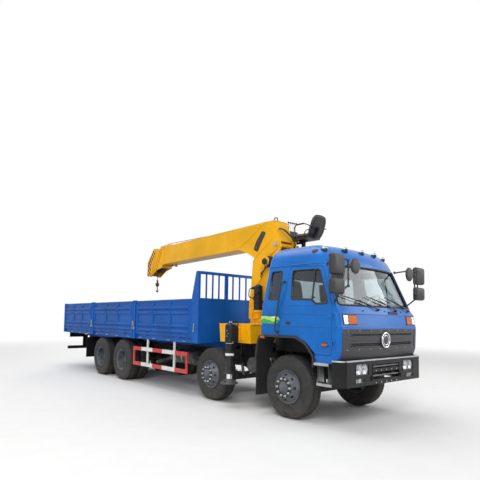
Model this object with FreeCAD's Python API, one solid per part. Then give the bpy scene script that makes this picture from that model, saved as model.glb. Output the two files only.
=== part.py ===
import FreeCAD, Part
import math
import os

# Mobile crane: a four-axle cab-over flatbed lorry with a slewing telescopic crane behind the cab.
# Millimetres. +X points forward, +Y to the lorry's left, +Z up. The origin is on the ground
# under the middle of the whole lorry.

V = FreeCAD.Vector

# Overall sizes
LENGTH = 11370
FRONT_OVERHANG = 1190                 # first axle to the bumper's face
AXLE1_X = LENGTH / 2 - FRONT_OVERHANG
AXLE_OFFSETS = [0, 2120, 5880, 7180]  # each axle behind the first
GAP = 6                               # running clearance round moving panels
FIT = 0.3                             # clearance of a pin in its hole

# Wheels
TYRE_RADIUS = 528
TYRE_HALF_WIDTH = 138
TYRE_SEAT = 255                       # radius of the tyre's bore
TYRE_SIDES = 30
RIM_SIDES = 16
FRONT_WHEEL_Y = 960                   # middle plane of a front tyre
REAR_WHEEL_Y = [1080, 760]            # middle planes of a twin's outer and inner tyre
HUB_Z = TYRE_RADIUS
SPINDLE_RADIUS = 40
KING_PIN_Y = 830
KING_PIN_RADIUS = 22

# Chassis frame
RAIL_OUT = 430                        # half the frame's width
RAIL_FLANGE = 80
RAIL_WALL = 10
RAIL_LOW = 720
RAIL_TOP = 1000
RAIL_FRONT = 1129.7
RAIL_REAR = -9950

# Cab
CAB_REAR = -590
CAB_HALF_WIDTH = 1180
CAB_WALL = 45
ARCH_TOP = 1380
FLOOR_THICK = 40
FOOTWELL_Z = 1120
GLASS_THICK = 8

# Load bed
BED_FRONT = -2400
BED_REAR = -10180
BED_HALF = 1190                       # half width of the floor
FLOOR_TOP = 1240
PANEL_TOP = 2070
PANEL_THICK = 35
POST_OUT = 1240
POST_WIDTH = 150
POSTS = [-5205, -7825]                # middle stations of the side posts
CORNER_POST = 240
HINGE_Z = 1222
HINGE_RADIUS = 10
HINGE_PIN = 5

# Crane
SLEW_X = -1530
BASE_FRONT = -1060
BASE_REAR = -1980
BASE_HALF = 1000
BASE_LOW = 1190
BASE_TOP = 1560
RING_RADIUS = 420
RING_TOP = 1600
COLUMN_EAR = 215                      # inner face of each ear plate
EAR_THICK = 40
PIVOT_X = -1130
PIVOT_Z = 3180
PIVOT_RADIUS = 45
BOOM_DROOP = 1.0                      # degrees, tip down, at rest
BOOM_HALF = 200
BOOM_LOW = 40                         # box underside above the pivot
BOOM_TOP = 530
BOOM_WALL = 10
BOOM_ROOT = -1290                     # where the box starts, behind the pivot
BOOM_END = -4480
CYL_FOOT_X = -1600
CYL_FOOT_Z = 1950
ROD_EYE_X = -1800
ROD_EYE_Z = 3058
ROD_PIN_RADIUS = 30
LEG_Y = 1200
BEAM_X = {"right": -1400, "left": -1220}
BEAM_HALF = 80
BEAM_LOW = 1270
BEAM_TOP = 1470
LEG_RADIUS = 78                       # outer tube of a jack leg
LEG_ROD_RADIUS = 55
FOOT_Z = 425

SIDES = {"right": -1, "left": 1}


def ahead(offset):
    """station in the part's frame of a point this far ahead of the first axle"""
    return AXLE1_X + offset


def box(x, y, z):
    return Part.makeBox(x[1] - x[0], y[1] - y[0], z[1] - z[0], V(x[0], y[0], z[0]))


def side_box(x, y, z, side):
    """a box given for the left side, put on the named side"""
    low, high = sorted((y[0] * side, y[1] * side))
    return box(x, (low, high), z)


def rod(start, end, radius):
    start, end = V(*start), V(*end)
    return Part.makeCylinder(radius, (end - start).Length, start, end - start)


def tube(start, end, radius, bore):
    return rod(start, end, radius).cut(rod(start, end, bore))


def fuse(shapes):
    whole = shapes[0]
    if len(shapes) > 1:
        whole = whole.fuse(shapes[1:])
    return whole.removeSplitter()


def mirrored(shape):
    return shape.mirror(V(0, 0, 0), V(0, 1, 0))


def outline(points, place):
    """closed wire through (u, v) or (u, v, corner radius), each placed by place(u, v)"""
    flat = [V(p[0], p[1], 0) for p in points]
    spans = []
    for i, point in enumerate(points):
        corner = flat[i]
        radius = point[2] if len(point) > 2 else 0
        if not radius:
            spans.append((corner, None, corner))
            continue
        before = (flat[i - 1] - corner).normalize()
        after = (flat[(i + 1) % len(flat)] - corner).normalize()
        half = before.getAngle(after) / 2
        reach = radius / math.tan(half)
        inward = (before + after).normalize()
        middle = corner + inward * (radius / math.sin(half) - radius)
        spans.append((corner + before * reach, middle, corner + after * reach))
    edges = []
    for i, (start, middle, end) in enumerate(spans):
        if middle is not None:
            edges.append(Part.Arc(*[place(p.x, p.y) for p in (start, middle, end)]).toShape())
        following = spans[(i + 1) % len(spans)][0]
        if (following - end).Length > 0.001:
            edges.append(Part.LineSegment(place(end.x, end.y), place(following.x, following.y)).toShape())
    return Part.Wire(edges)


def prism_y(points, low, high):
    """plate with its outline in X and Z"""
    return Part.Face(outline(points, lambda u, v: V(u, low, v))).extrude(V(0, high - low, 0))


def prism_x(points, low, high):
    """bar with its outline in Y and Z"""
    return Part.Face(outline(points, lambda u, v: V(low, u, v))).extrude(V(high - low, 0, 0))


def prism_z(points, low, high):
    """slab with its outline in X and Y"""
    return Part.Face(outline(points, lambda u, v: V(u, v, low))).extrude(V(0, 0, high - low))


def side_plate(points, y, side):
    low, high = sorted((y[0] * side, y[1] * side))
    return prism_y(points, low, high)


def ring(profile, sides, x, side, circumscribed):
    """turned piece about the wheel's axis, made of flats; profile rows are (y, radius)"""
    reach = 1 / math.cos(math.pi / sides) if circumscribed else 1.0
    angles = [2 * math.pi * (i + 0.5) / sides - math.pi / 2 for i in range(sides)]

    def spot(row, angle):
        y, radius = row
        return V(x + radius * reach * math.cos(angle), y * side, HUB_Z + radius * reach * math.sin(angle))

    faces = []
    for i, angle in enumerate(angles):
        following = angles[(i + 1) % sides]
        for row, after in zip(profile, profile[1:] + profile[:1]):
            corners = [spot(row, angle), spot(after, angle), spot(after, following), spot(row, following)]
            kept = [c for k, c in enumerate(corners) if (c - corners[k - 1]).Length > 0.001]
            if len(kept) > 2:
                faces.append(Part.Face(Part.makePolygon(kept + kept[:1])))
    shell = Part.Shell(faces)
    shell.sewShape()
    solid = Part.Solid(shell)
    if solid.Volume < 0:
        solid.reverse()
    return solid


# Chassis

def make_frame():
    """two channel rails with their cross members, cab mounts and rear towing jaw"""
    x = (ahead(RAIL_REAR), ahead(RAIL_FRONT))
    inner = RAIL_OUT - RAIL_FLANGE
    channel = [(RAIL_OUT, RAIL_LOW), (RAIL_OUT, RAIL_TOP), (inner, RAIL_TOP), (inner, RAIL_TOP - RAIL_WALL),
               (RAIL_OUT - RAIL_WALL, RAIL_TOP - RAIL_WALL), (RAIL_OUT - RAIL_WALL, RAIL_LOW + RAIL_WALL),
               (inner, RAIL_LOW + RAIL_WALL), (inner, RAIL_LOW)]
    rail = prism_x(channel, *x)
    rail = rail.cut(box((ahead(1030), ahead(1200)), (0, 500), (RAIL_TOP - 15, RAIL_TOP + 1)))
    pieces = [rail, mirrored(rail)]
    # columns: station, half length, low, high
    members = [(900, 60, 740, 980), (-1000, 50, 760, 960), (-2900, 50, 760, 960), (-4500, 50, 760, 960),
               (-6530, 110, 730, 990), (-8600, 50, 760, 960), (-9900, 50, 740, 980)]
    for station, half, low, high in members:
        reach = RAIL_OUT - RAIL_WALL
        pieces.append(box((ahead(station - half), ahead(station + half)), (-reach, reach), (low, high)))
    for side in SIDES.values():
        pieces.append(side_box((ahead(800), ahead(900)), (inner, RAIL_OUT), (RAIL_TOP, FOOTWELL_Z), side))
        pieces.append(side_box((ahead(-570), ahead(-470)), (inner, RAIL_OUT), (RAIL_TOP, ARCH_TOP), side))
    return pieces


def make_tow_jaw():
    """towing jaw on the rearmost cross member, with its upright pin hole"""
    pieces = [box((ahead(-9985), ahead(-9950)), (-80, 80), (845, 885))]
    for low, high in ((820, 845), (885, 910)):
        pieces.append(prism_z([(ahead(-9950), -90), (ahead(-9950), 90), (ahead(-10080), 60, 40),
                               (ahead(-10080), -60, 40)], low, high))
    return fuse(pieces).cut(rod((ahead(-10020), 0, 800), (ahead(-10020), 0, 930), 20))


def make_engine():
    """the engine and gearbox as one plain block"""
    return prism_y([(ahead(600), 620), (ahead(600), 1170), (ahead(-450), 1170), (ahead(-450), 900),
                    (ahead(-950), 860), (ahead(-950), 640), (ahead(-450), 620)], -320, 320)


def make_front_axle(x):
    """dropped beam with a king pin boss at each end"""
    profile = [(-790, 483), (-700, 483), (-600, 370), (600, 370), (700, 483), (790, 483),
               (790, 573), (690, 573), (590, 460), (-590, 460), (-690, 573), (-790, 573)]
    pieces = [prism_x(profile, x - 50, x + 50)]
    for side in SIDES.values():
        y = side * KING_PIN_Y
        pieces.append(rod((x, y, HUB_Z - 55), (x, y, HUB_Z + 55), 52))
    beam = fuse(pieces)
    for side in SIDES.values():
        y = side * KING_PIN_Y
        beam = beam.cut(rod((x, y, HUB_Z - 60), (x, y, HUB_Z + 60), KING_PIN_RADIUS + FIT))
    return beam


def make_front_spring(x, side):
    """leaf pack over the beam, hung from the rail at both ends"""
    place = lambda u, v: V(x + u, side * (RAIL_OUT - 5), v)
    top = Part.Arc(place(-700, 705), place(0, 540), place(700, 705)).toShape()
    under = Part.Arc(place(700, 675), place(0, 480), place(-700, 675)).toShape()
    ends = [Part.LineSegment(place(s * 700, 705), place(s * 700, 675)).toShape() for s in (1, -1)]
    pack = Part.Face(Part.Wire([top, ends[0], under, ends[1]])).extrude(V(0, -side * 70, 0))
    pieces = [pack]
    for u in (-670, 670):
        pieces.append(side_box((x + u - 30, x + u + 30), (355, 425), (670, RAIL_LOW), side))
    pieces.append(side_box((x - 80, x + 80), (355, 425), (460, 500), side))
    return fuse(pieces)


def make_rear_axle(x):
    """banjo housing with the hub spindles"""
    pieces = [rod((x, -600, HUB_Z), (x, 600, HUB_Z), 70), rod((x - 110, 0, HUB_Z), (x + 110, 0, HUB_Z), 215),
              rod((x, -1000, HUB_Z), (x, 1000, HUB_Z), SPINDLE_RADIUS + 5)]
    for side in SIDES.values():
        pieces.append(side_box((x - 60, x + 60), (350, 430), (HUB_Z, 599.7), side))
    return fuse(pieces)


def make_tandem_spring(side):
    """inverted leaf pack rocking on the trunnion between the rear axles"""
    x = ahead(-(AXLE_OFFSETS[2] + AXLE_OFFSETS[3]) / 2)
    place = lambda u, v: V(x + u, side * 430, v)
    top = Part.Arc(place(-700, 630), place(0, 710), place(700, 630)).toShape()
    under = Part.Arc(place(700, 600), place(0, 640), place(-700, 600)).toShape()
    ends = [Part.LineSegment(place(s * 700, 630), place(s * 700, 600)).toShape() for s in (1, -1)]
    pack = Part.Face(Part.Wire([top, ends[0], under, ends[1]])).extrude(V(0, -side * 80, 0))
    saddle = side_box((x - 90, x + 90), (350, 430), (500, 645), side)
    bracket = side_plate([(x - 120, 480, 40), (x + 120, 480, 40), (x + 160, 960), (x - 160, 960)], (430, 460), side)
    return fuse([pack, saddle, bracket])


def make_axles():
    pieces = [make_front_axle(ahead(-offset)) for offset in AXLE_OFFSETS[:2]]
    pieces += [make_rear_axle(ahead(-offset)) for offset in AXLE_OFFSETS[2:]]
    for side in SIDES.values():
        pieces += [make_front_spring(ahead(-offset), side) for offset in AXLE_OFFSETS[:2]]
        pieces.append(make_tandem_spring(side))
    return Part.makeCompound(pieces)


def make_knuckle(x, side):
    """fork round the beam's boss, with the king pin, the spindle and the steering arm"""
    y = side * KING_PIN_Y
    pieces = [rod((x, y, 440), (x, y, 616), KING_PIN_RADIUS),
              side_box((x - 45, x + 45), (785, 915), (585, 612), side),
              side_box((x - 45, x + 45), (785, 915), (444, 471), side),
              side_box((x - 60, x + 60), (890, 915), (440, 616), side),
              side_box((x - 250, x - 40), (800, 835), (444, 471), side),
              rod((x, side * 910, HUB_Z), (x, side * 1130, HUB_Z), SPINDLE_RADIUS)]
    return fuse(pieces)


# Wheels

def tyre_profile(middle):
    """rows of (y, radius) round one tyre's section"""
    half = TYRE_HALF_WIDTH
    return [(middle - half, 410), (middle - half + 34, TYRE_RADIUS), (middle + half - 34, TYRE_RADIUS),
            (middle + half, 410), (middle + half - 30, TYRE_SEAT), (middle - half + 30, TYRE_SEAT)]


def make_front_rim(x, side):
    """disc wheel dished outwards, with its hub"""
    seat = TYRE_SEAT - 0.5
    edge = FRONT_WHEEL_Y + TYRE_HALF_WIDTH - 27
    inner = FRONT_WHEEL_Y - TYRE_HALF_WIDTH + 27
    bore = SPINDLE_RADIUS + 1
    profile = [(920, bore), (1131, bore), (1131, 0), (1232, 0), (1228, 75), (1190, 90), (1190, 172),
               (1100, 230), (edge + 10, 276), (edge, seat), (inner, seat), (inner - 10, 276),
               (inner - 10, 242), (1035, 242), (1172, 158), (1172, 100), (920, 100)]
    return ring(profile, RIM_SIDES, x, side, False)


def make_rear_rim(x, side):
    """twin disc wheels dished inwards on one hub"""
    seat = TYRE_SEAT - 0.5
    edge = REAR_WHEEL_Y[0] + TYRE_HALF_WIDTH - 27
    inner = REAR_WHEEL_Y[1] - TYRE_HALF_WIDTH + 27
    bore = SPINDLE_RADIUS + 6
    profile = [(625, bore), (1001, bore), (1001, 0), (1110, 0), (1105, 75), (1062, 95), (957, 100), (957, 190),
               (990, 242), (edge + 10, 242), (edge + 10, 276), (edge, seat), (inner, seat),
               (inner - 10, 276), (inner - 10, 242), (870, 242), (905, 190), (905, 100), (625, 100)]
    return ring(profile, RIM_SIDES, x, side, False)


# Cab

# columns: height, rear wall, front wall at the corners, front wall in the middle, half width, corner radius
CAB_SECTIONS = [
    (990, -590, 1050, 1095, 1160, 60),
    (1180, -590, 1110, 1155, 1178, 70),
    (1530, -590, 1125, 1175, 1180, 80),
    (1760, -588, 1085, 1150, 1178, 90),
    (1870, -585, 1010, 1110, 1168, 100),
    (2600, -550, 730, 880, 1025, 110),
    (2760, -535, 640, 770, 970, 130),
    (2880, -490, 500, 600, 870, 140),
    (2945, -380, 280, 340, 660, 140),
]


def cab_section(row, inset):
    """closed outline of the cab at one height, brought in all round by inset"""
    z, rear, corner, middle, half, radius = row
    rear, corner, middle, half = rear + inset, corner - inset, middle - inset, half - inset
    bend = radius * 0.293
    rear_radius = 60
    spots = [
        ("line", (rear, -half + rear_radius), (rear, half - rear_radius)),
        ("arc", (rear, half - rear_radius), (rear + rear_radius * 0.293, half - rear_radius * 0.293),
         (rear + rear_radius, half)),
        ("line", (rear + rear_radius, half), (corner - radius, half)),
        ("arc", (corner - radius, half), (corner - bend, half - bend), (corner, half - radius)),
        ("arc", (corner, half - radius), (middle, 0), (corner, -half + radius)),
        ("arc", (corner, -half + radius), (corner - bend, -half + bend), (corner - radius, -half)),
        ("line", (corner - radius, -half), (rear + rear_radius, -half)),
        ("arc", (rear + rear_radius, -half), (rear + rear_radius * 0.293, -half + rear_radius * 0.293),
         (rear, -half + rear_radius)),
    ]
    edges = []
    for kind, *points in spots:
        places = [V(ahead(p[0]), p[1], z) for p in points]
        edges.append(Part.LineSegment(*places).toShape() if kind == "line" else Part.Arc(*places).toShape())
    return Part.Wire(edges)


def cab_body(inset):
    """the cab's outer form, brought in by inset on the sides and lowered by it at the roof"""
    rows = []
    for row in CAB_SECTIONS:
        drop = inset if row[0] > 2600 else 0
        rows.append((row[0] - drop,) + row[1:])
    return Part.makeLoft([cab_section(row, inset) for row in rows], True, True)


def below_arch():
    """the space over the front wheel that the cab stands clear of"""
    return box((ahead(-700), ahead(640)), (-1400, 1400), (900, ARCH_TOP))


def cab_void():
    """the cabin's inside: everything above the floor, and the footwell in front of the arch"""
    inner = cab_body(CAB_WALL)
    over_arch = inner.common(box((ahead(-700), ahead(1300)), (-1400, 1400), (ARCH_TOP + FLOOR_THICK, 3200)))
    footwell = inner.common(box((ahead(690), ahead(1300)), (-1400, 1400),
                                (FOOTWELL_Z + FLOOR_THICK, ARCH_TOP + FLOOR_THICK + 1)))
    under = inner.common(box((ahead(600), ahead(1300)), (-1400, 1400), (900, FOOTWELL_Z)))
    return [over_arch, footwell, under]


# door outline columns: station, height, corner radius
DOOR = [(0, 2560, 60), (-60, 1760, 400), (-160, 1390, 20), (250, 1390, 60), (480, 1290, 120),
        (660, 1120, 20), (970, 1120, 40), (970, 1850, 60), (700, 2520, 80)]
DOOR_WINDOW = [(55, 2490, 50), (110, 1990, 50), (560, 1980, 30), (640, 1905, 30), (890, 1915, 50), (640, 2480, 60)]
QUARTER_WINDOW = [(-440, 2500, 50), (-430, 2000, 50), (-185, 2000, 40), (-170, 2500, 50)]


def grown(points, extra):
    """outline moved outwards by extra on every side"""
    count = len(points)
    turned = []
    area = sum(points[i][0] * points[(i + 1) % count][1] - points[(i + 1) % count][0] * points[i][1]
               for i in range(count))
    sign = 1 if area > 0 else -1
    for i in range(count):
        corner = V(points[i][0], points[i][1], 0)
        before = (corner - V(points[i - 1][0], points[i - 1][1], 0)).normalize()
        after = (V(points[(i + 1) % count][0], points[(i + 1) % count][1], 0) - corner).normalize()
        out_before = V(before.y, -before.x, 0) * sign
        out_after = V(after.y, -after.x, 0) * sign
        middle = (out_before + out_after)
        shift = middle * (extra / (1 + out_before.dot(out_after)))
        radius = points[i][2] if len(points[i]) > 2 else 0
        turned.append((corner.x + shift.x, corner.y + shift.y, max(radius + extra, 0) if radius else 0))
    return turned


def moved(points):
    """stations measured from the first axle, turned into the part's frame"""
    return [(ahead(p[0]),) + tuple(p[1:]) for p in points]


def side_tool(points, side):
    """cutter through the cab's side wall"""
    return side_plate(moved(points), (700, 1400), side)


def screen_tool(extra):
    half_low, half_top = 1060 + extra, 930 + extra
    points = [(-half_low, 1895 - extra, 70), (half_low, 1895 - extra, 70), (half_top, 2545 + extra, 90),
              (-half_top, 2545 + extra, 90)]
    return prism_x(points, ahead(450), ahead(1400))


def rear_window_tool(extra):
    points = [(-620 - extra, 2000 - extra, 60), (620 + extra, 2000 - extra, 60),
              (600 + extra, 2420 + extra, 60), (-600 - extra, 2420 + extra, 60)]
    return prism_x(points, ahead(-800), ahead(-400))


def grille_tool(extra):
    return box((ahead(900), ahead(1400)), (-1065 - extra, 1065 + extra), (1190 - extra, 1520 + extra))


HINGE_HEIGHTS = [1300, 1720]          # door hinges, middle heights
DOOR_HINGE_X = 981
DOOR_HINGE_Y = 1186


def make_cab_shell(outer, skin_inner):
    """hollow cab with its windows and door openings cut, its floor and its hinge lugs"""
    shell = outer.cut([below_arch()] + cab_void())
    cuts = [screen_tool(0), rear_window_tool(0)]
    for side in SIDES.values():
        opening = side_tool(grown(DOOR, GAP), side).cut(skin_inner)
        cuts += [opening, side_tool(QUARTER_WINDOW, side)]
    shell = shell.cut(cuts)
    shell = shell.cut(outer.cut(cab_body(25)).common(grille_tool(0)))
    pockets = [side_box((ahead(960), ahead(DOOR_HINGE_X + 19)), (1167, 1210), (z - 31.8, z + 31.8), side)
               for side in SIDES.values() for z in HINGE_HEIGHTS]
    shell = shell.cut(pockets)
    lugs = []
    for side in SIDES.values():
        for z in HINGE_HEIGHTS:
            for low, high in ((z - 55, z - 32), (z + 32, z + 55)):
                lugs.append(rod((ahead(DOOR_HINGE_X), side * DOOR_HINGE_Y, low),
                                (ahead(DOOR_HINGE_X), side * DOOR_HINGE_Y, high), 12))
                lugs.append(side_box((ahead(DOOR_HINGE_X), ahead(1040)), (1160, 1190), (low, high), side))
            lugs.append(rod((ahead(DOOR_HINGE_X), side * DOOR_HINGE_Y, z - 55),
                            (ahead(DOOR_HINGE_X), side * DOOR_HINGE_Y, z + 55), 7))
    return fuse([shell] + lugs)


def make_door(outer, skin_inner, side):
    """door cut from the same skin, with its window opening and hinge knuckles"""
    skin = outer.cut(skin_inner)
    door = skin.common(side_tool(DOOR, side)).cut(side_tool(DOOR_WINDOW, side))
    pieces = [door]
    for z in HINGE_HEIGHTS:
        axis = ((ahead(DOOR_HINGE_X), side * DOOR_HINGE_Y, z - 30), (ahead(DOOR_HINGE_X), side * DOOR_HINGE_Y, z + 30))
        pieces.append(rod(*axis, 14))
        pieces.append(side_box((ahead(900), ahead(DOOR_HINGE_X)), (1172, 1190), (z - 30, z + 30), side))
    door = fuse(pieces)
    for z in HINGE_HEIGHTS:
        door = door.cut(rod((ahead(DOOR_HINGE_X), side * DOOR_HINGE_Y, z - 60),
                            (ahead(DOOR_HINGE_X), side * DOOR_HINGE_Y, z + 60), 7 + FIT))
    return door


def glass_band():
    """thin layer inside the cab's skin that the panes are cut from"""
    return cab_body(15).cut(cab_body(15 + GLASS_THICK))


def make_cab_glass(band):
    panes = [band.common(screen_tool(-FIT)), band.common(rear_window_tool(-FIT))]
    for side in SIDES.values():
        panes.append(band.common(side_tool(grown(QUARTER_WINDOW, -FIT), side)))
    return Part.makeCompound([solid for pane in panes for solid in pane.Solids])


def make_door_glass(band, side):
    """door pane"""
    return band.common(side_tool(grown(DOOR_WINDOW, -FIT), side))


def make_grille(outer):
    """dark grille panel let into the cab's front, with two slots and a bare round boss"""
    panel = outer.cut(cab_body(25)).common(grille_tool(-FIT))
    panel = panel.common(box((ahead(900), ahead(1400)), (-1064, 1064), (1000, 1700)))
    for low, high in ((1415, 1455), (1250, 1310)):
        for near, far in ((110, 900), (-900, -110)):
            panel = panel.cut(box((ahead(900), ahead(1400)), (near, far), (low, high)))
    boss = rod((ahead(1158), 0, 1345), (ahead(1184), 0, 1345), 85)
    return fuse([panel, boss])


def make_cab_interior():
    """dashboard with the steering wheel, and two seats on the cabin floor"""
    floor = ARCH_TOP + FLOOR_THICK
    dash = prism_y([(ahead(1040), 1420), (ahead(1040), 1760), (ahead(960), 1860, 60), (ahead(800), 1850, 60),
                    (ahead(760), 1640, 40), (ahead(860), 1420)], -1080, 1080)
    dash = dash.cut([cab_body(0).cut(cab_body(CAB_WALL + 0.2))] +
                    [side_box((ahead(700), ahead(985)), (1050, 1200), (1300, 1950), side) for side in SIDES.values()])
    stalk = rod((ahead(830), 520, 1700), (ahead(560), 520, 1960), 30)
    wheel = Part.makeTorus(210, 16, V(ahead(560), 520, 1960), V(-0.72, 0, 0.69))
    spoke = rod((ahead(560), 520 - 205, 1960), (ahead(560), 520 + 205, 1960), 14)
    pieces = [fuse([dash, stalk, wheel, spoke])]
    for y in (520, -520):
        base = box((ahead(-360), ahead(120)), (y - 220, y + 220), (floor, floor + 240))
        cushion = prism_y([(ahead(-420), floor + 240), (ahead(150), floor + 240), (ahead(170), floor + 380, 50),
                           (ahead(-380), floor + 360, 30)], y - 250, y + 250)
        back = prism_y([(ahead(-400), floor + 330), (ahead(-270), floor + 330), (ahead(-350), floor + 980, 40),
                        (ahead(-480), floor + 980, 40)], y - 240, y + 240)
        pieces.append(fuse([base, cushion, back]))
    return Part.makeCompound(pieces)


def make_fender(side):
    """arch over the front wheel with its rear guard and flap"""
    outer = [(-690, 960), (-650, 1240, 80), (-590, ARCH_TOP, 40), (255, ARCH_TOP, 60), (480, 1285, 120),
             (640, 1085, 60), (640, 920)]
    inner = [(612, 920), (612, 1078, 60), (462, 1258, 110), (248, 1352, 60), (-575, 1352, 40),
             (-622, 1235, 70), (-662, 960)]
    shell = side_plate(moved(outer + inner), (800, 1200), side)
    flap = side_box((ahead(-674), ahead(-664)), (850, 1190), (310, 975), side)
    stay = side_box((ahead(-640), ahead(-610)), (RAIL_OUT, 810), (1150, 1180), side)
    drop = side_box((ahead(-640), ahead(-610)), (RAIL_OUT, RAIL_OUT + 40), (930, 1180), side)
    return fuse([shell, flap, stay, drop])


def make_steps(side):
    """upper tread under the door and the lower tread hung below it"""
    upper = side_box((ahead(640.3), ahead(930)), (1000, 1195), (955, 989.7), side)
    lower = side_box((ahead(700), ahead(985)), (1020, 1190), (650, 680), side)
    hangers = [side_box((ahead(a), ahead(a + 16)), (1040, 1170), (650, 960), side) for a in (700, 905)]
    return fuse([upper, lower] + hangers)


def make_fenders():
    pieces = []
    for side in SIDES.values():
        pieces += [make_fender(side), make_steps(side)]
    return Part.makeCompound(pieces)


def make_bumper():
    """deep bumper with lamp pockets, a slotted centre and a top rail"""
    face, wrap, low, high = 1190, 1070, 647, 1035
    outer = [(1000, -1205), (wrap, -1205, 30), (face, -1110, 60), (face, 1110, 60), (wrap, 1205, 30), (1000, 1205)]
    inner = [(1000, 1175), (1058, 1175), (1130, 1090), (1130, -1090), (1058, -1175), (1000, -1175)]
    body = prism_z(moved(outer + inner), low, high)
    rail = prism_z(moved([(1000, -1205), (wrap, -1205, 30), (face, -1110, 60), (face, 1110, 60),
                          (wrap, 1205, 30), (1000, 1205), (1000, 1180), (1062, 1180), (1165, 1098),
                          (1165, -1098), (1062, -1180), (1000, -1180)]), high, high + 15)
    pockets = []
    for side in SIDES.values():
        pockets.append(side_box((ahead(1150), ahead(1200)), (520, 860), (810, 995), side))
        pockets.append(side_box((ahead(1150), ahead(1200)), (640, 870), (690, 775), side))
    pockets.append(box((ahead(1100), ahead(1200)), (-400, 400), (900, 960)))
    pockets.append(box((ahead(1100), ahead(1200)), (-400, 400), (730, 840)))
    return fuse([body.cut(pockets), rail])


def make_lamps(outer):
    """head and fog lamps in the bumper, corner lamps on the cab and markers on the roof"""
    lamps = []
    for side in SIDES.values():
        lamps.append(side_box((ahead(1150), ahead(1188)), (520.5, 859.5), (810.5, 994.5), side))
        lamps.append(side_box((ahead(1150), ahead(1188)), (640.5, 869.5), (690.5, 774.5), side))
        corner = cab_body(-16).cut(outer).common(side_box((ahead(900), ahead(1300)), (740, 1120), (1585, 1755), side))
        lamps += corner.Solids
        for x, y, low in ((590, 870, 2790), (680, 440, 2815)):
            dome = rod((ahead(x), side * y, low), (ahead(x), side * y, 2870), 45)
            lamps += dome.cut(outer).Solids
    dome = rod((ahead(705), 0, 2810), (ahead(705), 0, 2870), 45)
    lamps += dome.cut(outer).Solids
    return Part.makeCompound(lamps)


def make_mirror(side):
    """two housings on a tube frame, and the round kerb mirror"""
    upper = prism_z([(ahead(1085), side * 1195, 20), (ahead(1175), side * 1195, 40), (ahead(1175), side * 1410, 40),
                     (ahead(1085), side * 1410, 20)][::side], 2340, 2660)
    lower = prism_z([(ahead(1085), side * 1195, 20), (ahead(1175), side * 1195, 40), (ahead(1175), side * 1410, 40),
                     (ahead(1085), side * 1410, 20)][::side], 2050, 2290)
    kerb = rod((ahead(1150), side * 830, 2500), (ahead(1180), side * 830, 2500), 125)
    spots = [(950, 1080, 1928), (1130, 1180, 2100), (1160, 1016, 2180), (1160, 1016, 2570), (1130, 1180, 2620),
             (765, 1000, 2565)]
    pieces = [upper, lower, kerb]
    for start, end in zip(spots, spots[1:]):
        pieces.append(rod((ahead(start[0]), side * start[1], start[2]), (ahead(end[0]), side * end[1], end[2]), 14))
        pieces.append(Part.makeSphere(14, V(ahead(end[0]), side * end[1], end[2])))
    pieces.append(rod((ahead(1160), side * 1016, 2500), (ahead(1160), side * 900, 2500), 12))
    pieces.append(rod((ahead(1130), side * 1180, 2100), (ahead(1130), side * 1250, 2100), 14))
    pieces.append(rod((ahead(1130), side * 1180, 2620), (ahead(1130), side * 1250, 2620), 14))
    return fuse(pieces)


def make_mirrors(outer):
    return Part.makeCompound([make_mirror(side).cut(outer) for side in SIDES.values()])


def make_tanks():
    """fuel tank and battery box on the left, air tank and silencer on the right"""
    fuel = prism_x([(520, 520, 60), (1080, 520, 60), (1080, 980, 60), (520, 980, 60)], ahead(-4350), ahead(-3100))
    straps = [box((ahead(a - 30), ahead(a + 30)), (RAIL_OUT, 530), (760, 960)) for a in (-3400, -4050)]
    battery = box((ahead(-1060), ahead(-700)), (RAIL_OUT, 860), (700, 960))
    air = fuse([rod((ahead(-985), -1000, 800), (ahead(-985), -470, 800), 140),
                box((ahead(-1035), ahead(-935)), (-480, -RAIL_OUT), (760, 900))])
    silencer = fuse([rod((ahead(-3100), -700, 760), (ahead(-4000), -700, 760), 170),
                     box((ahead(-3600), ahead(-3500)), (-600, -RAIL_OUT), (740, 860))])
    return Part.makeCompound([fuse([fuel] + straps), battery, air, silencer])


def make_guards():
    """striped side guards on both sides, and the rear underrun bar with its lamp boxes"""
    pieces = []
    front, rear = ahead(-2830), ahead(-5260)
    for side in SIDES.values():
        rails = [side_box((rear, front), (1170, 1200), (830, 920), side),
                 side_box((rear, front), (1170, 1200), (455, 545), side),
                 side_box((front - 60, front), (1170, 1200), (455, 920), side),
                 side_box((rear, rear + 60), (1170, 1200), (455, 920), side)]
        hangers = [side_box((ahead(a - 25), ahead(a + 25)), (1140, 1171), (470, 1119.7), side) for a in (-3400, -4600)]
        pieces.append(fuse(rails + hangers))
    bar = box((ahead(-10150), ahead(-10070)), (-1100, 1100), (560, 660))
    pieces.append(bar)
    for side in SIDES.values():
        lampMount = fuse([
            side_plate(moved([(-9940, 760), (-9860, 760), (-10070, 560), (-10150, 560), (-10150, 660)]),
                       (RAIL_OUT, RAIL_OUT + 16), side),
            side_box((ahead(-10100), ahead(-10080)), (RAIL_OUT, 600), (660, 1040), side),
            side_box((ahead(-10100), ahead(-10040)), (560, 1050), (960, 1110), side)])
        pieces += lampMount.cut(bar).Solids
        pieces.append(side_box((ahead(-8270), ahead(-8262)), (620, 1210), (420, 1020), side))
        pieces.append(side_box((ahead(-8262), ahead(-8240)), (RAIL_OUT, 1150), (960, 1000), side))
    return Part.makeCompound(pieces)


# Load bed

def side_hinge_stations(start, end):
    """two hinge places along one drop side"""
    return [start + (end - start) * share for share in (0.2, 0.8)]


def panel_spans():
    """start and end station of each drop side, front to rear"""
    edges = [BED_FRONT - CORNER_POST - 8]
    for post in POSTS:
        edges += [post + POST_WIDTH / 2 + 8, post - POST_WIDTH / 2 - 8]
    edges.append(BED_REAR + 82 + 8)
    return [(ahead(edges[i]), ahead(edges[i + 1])) for i in range(0, len(edges), 2)]


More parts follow.
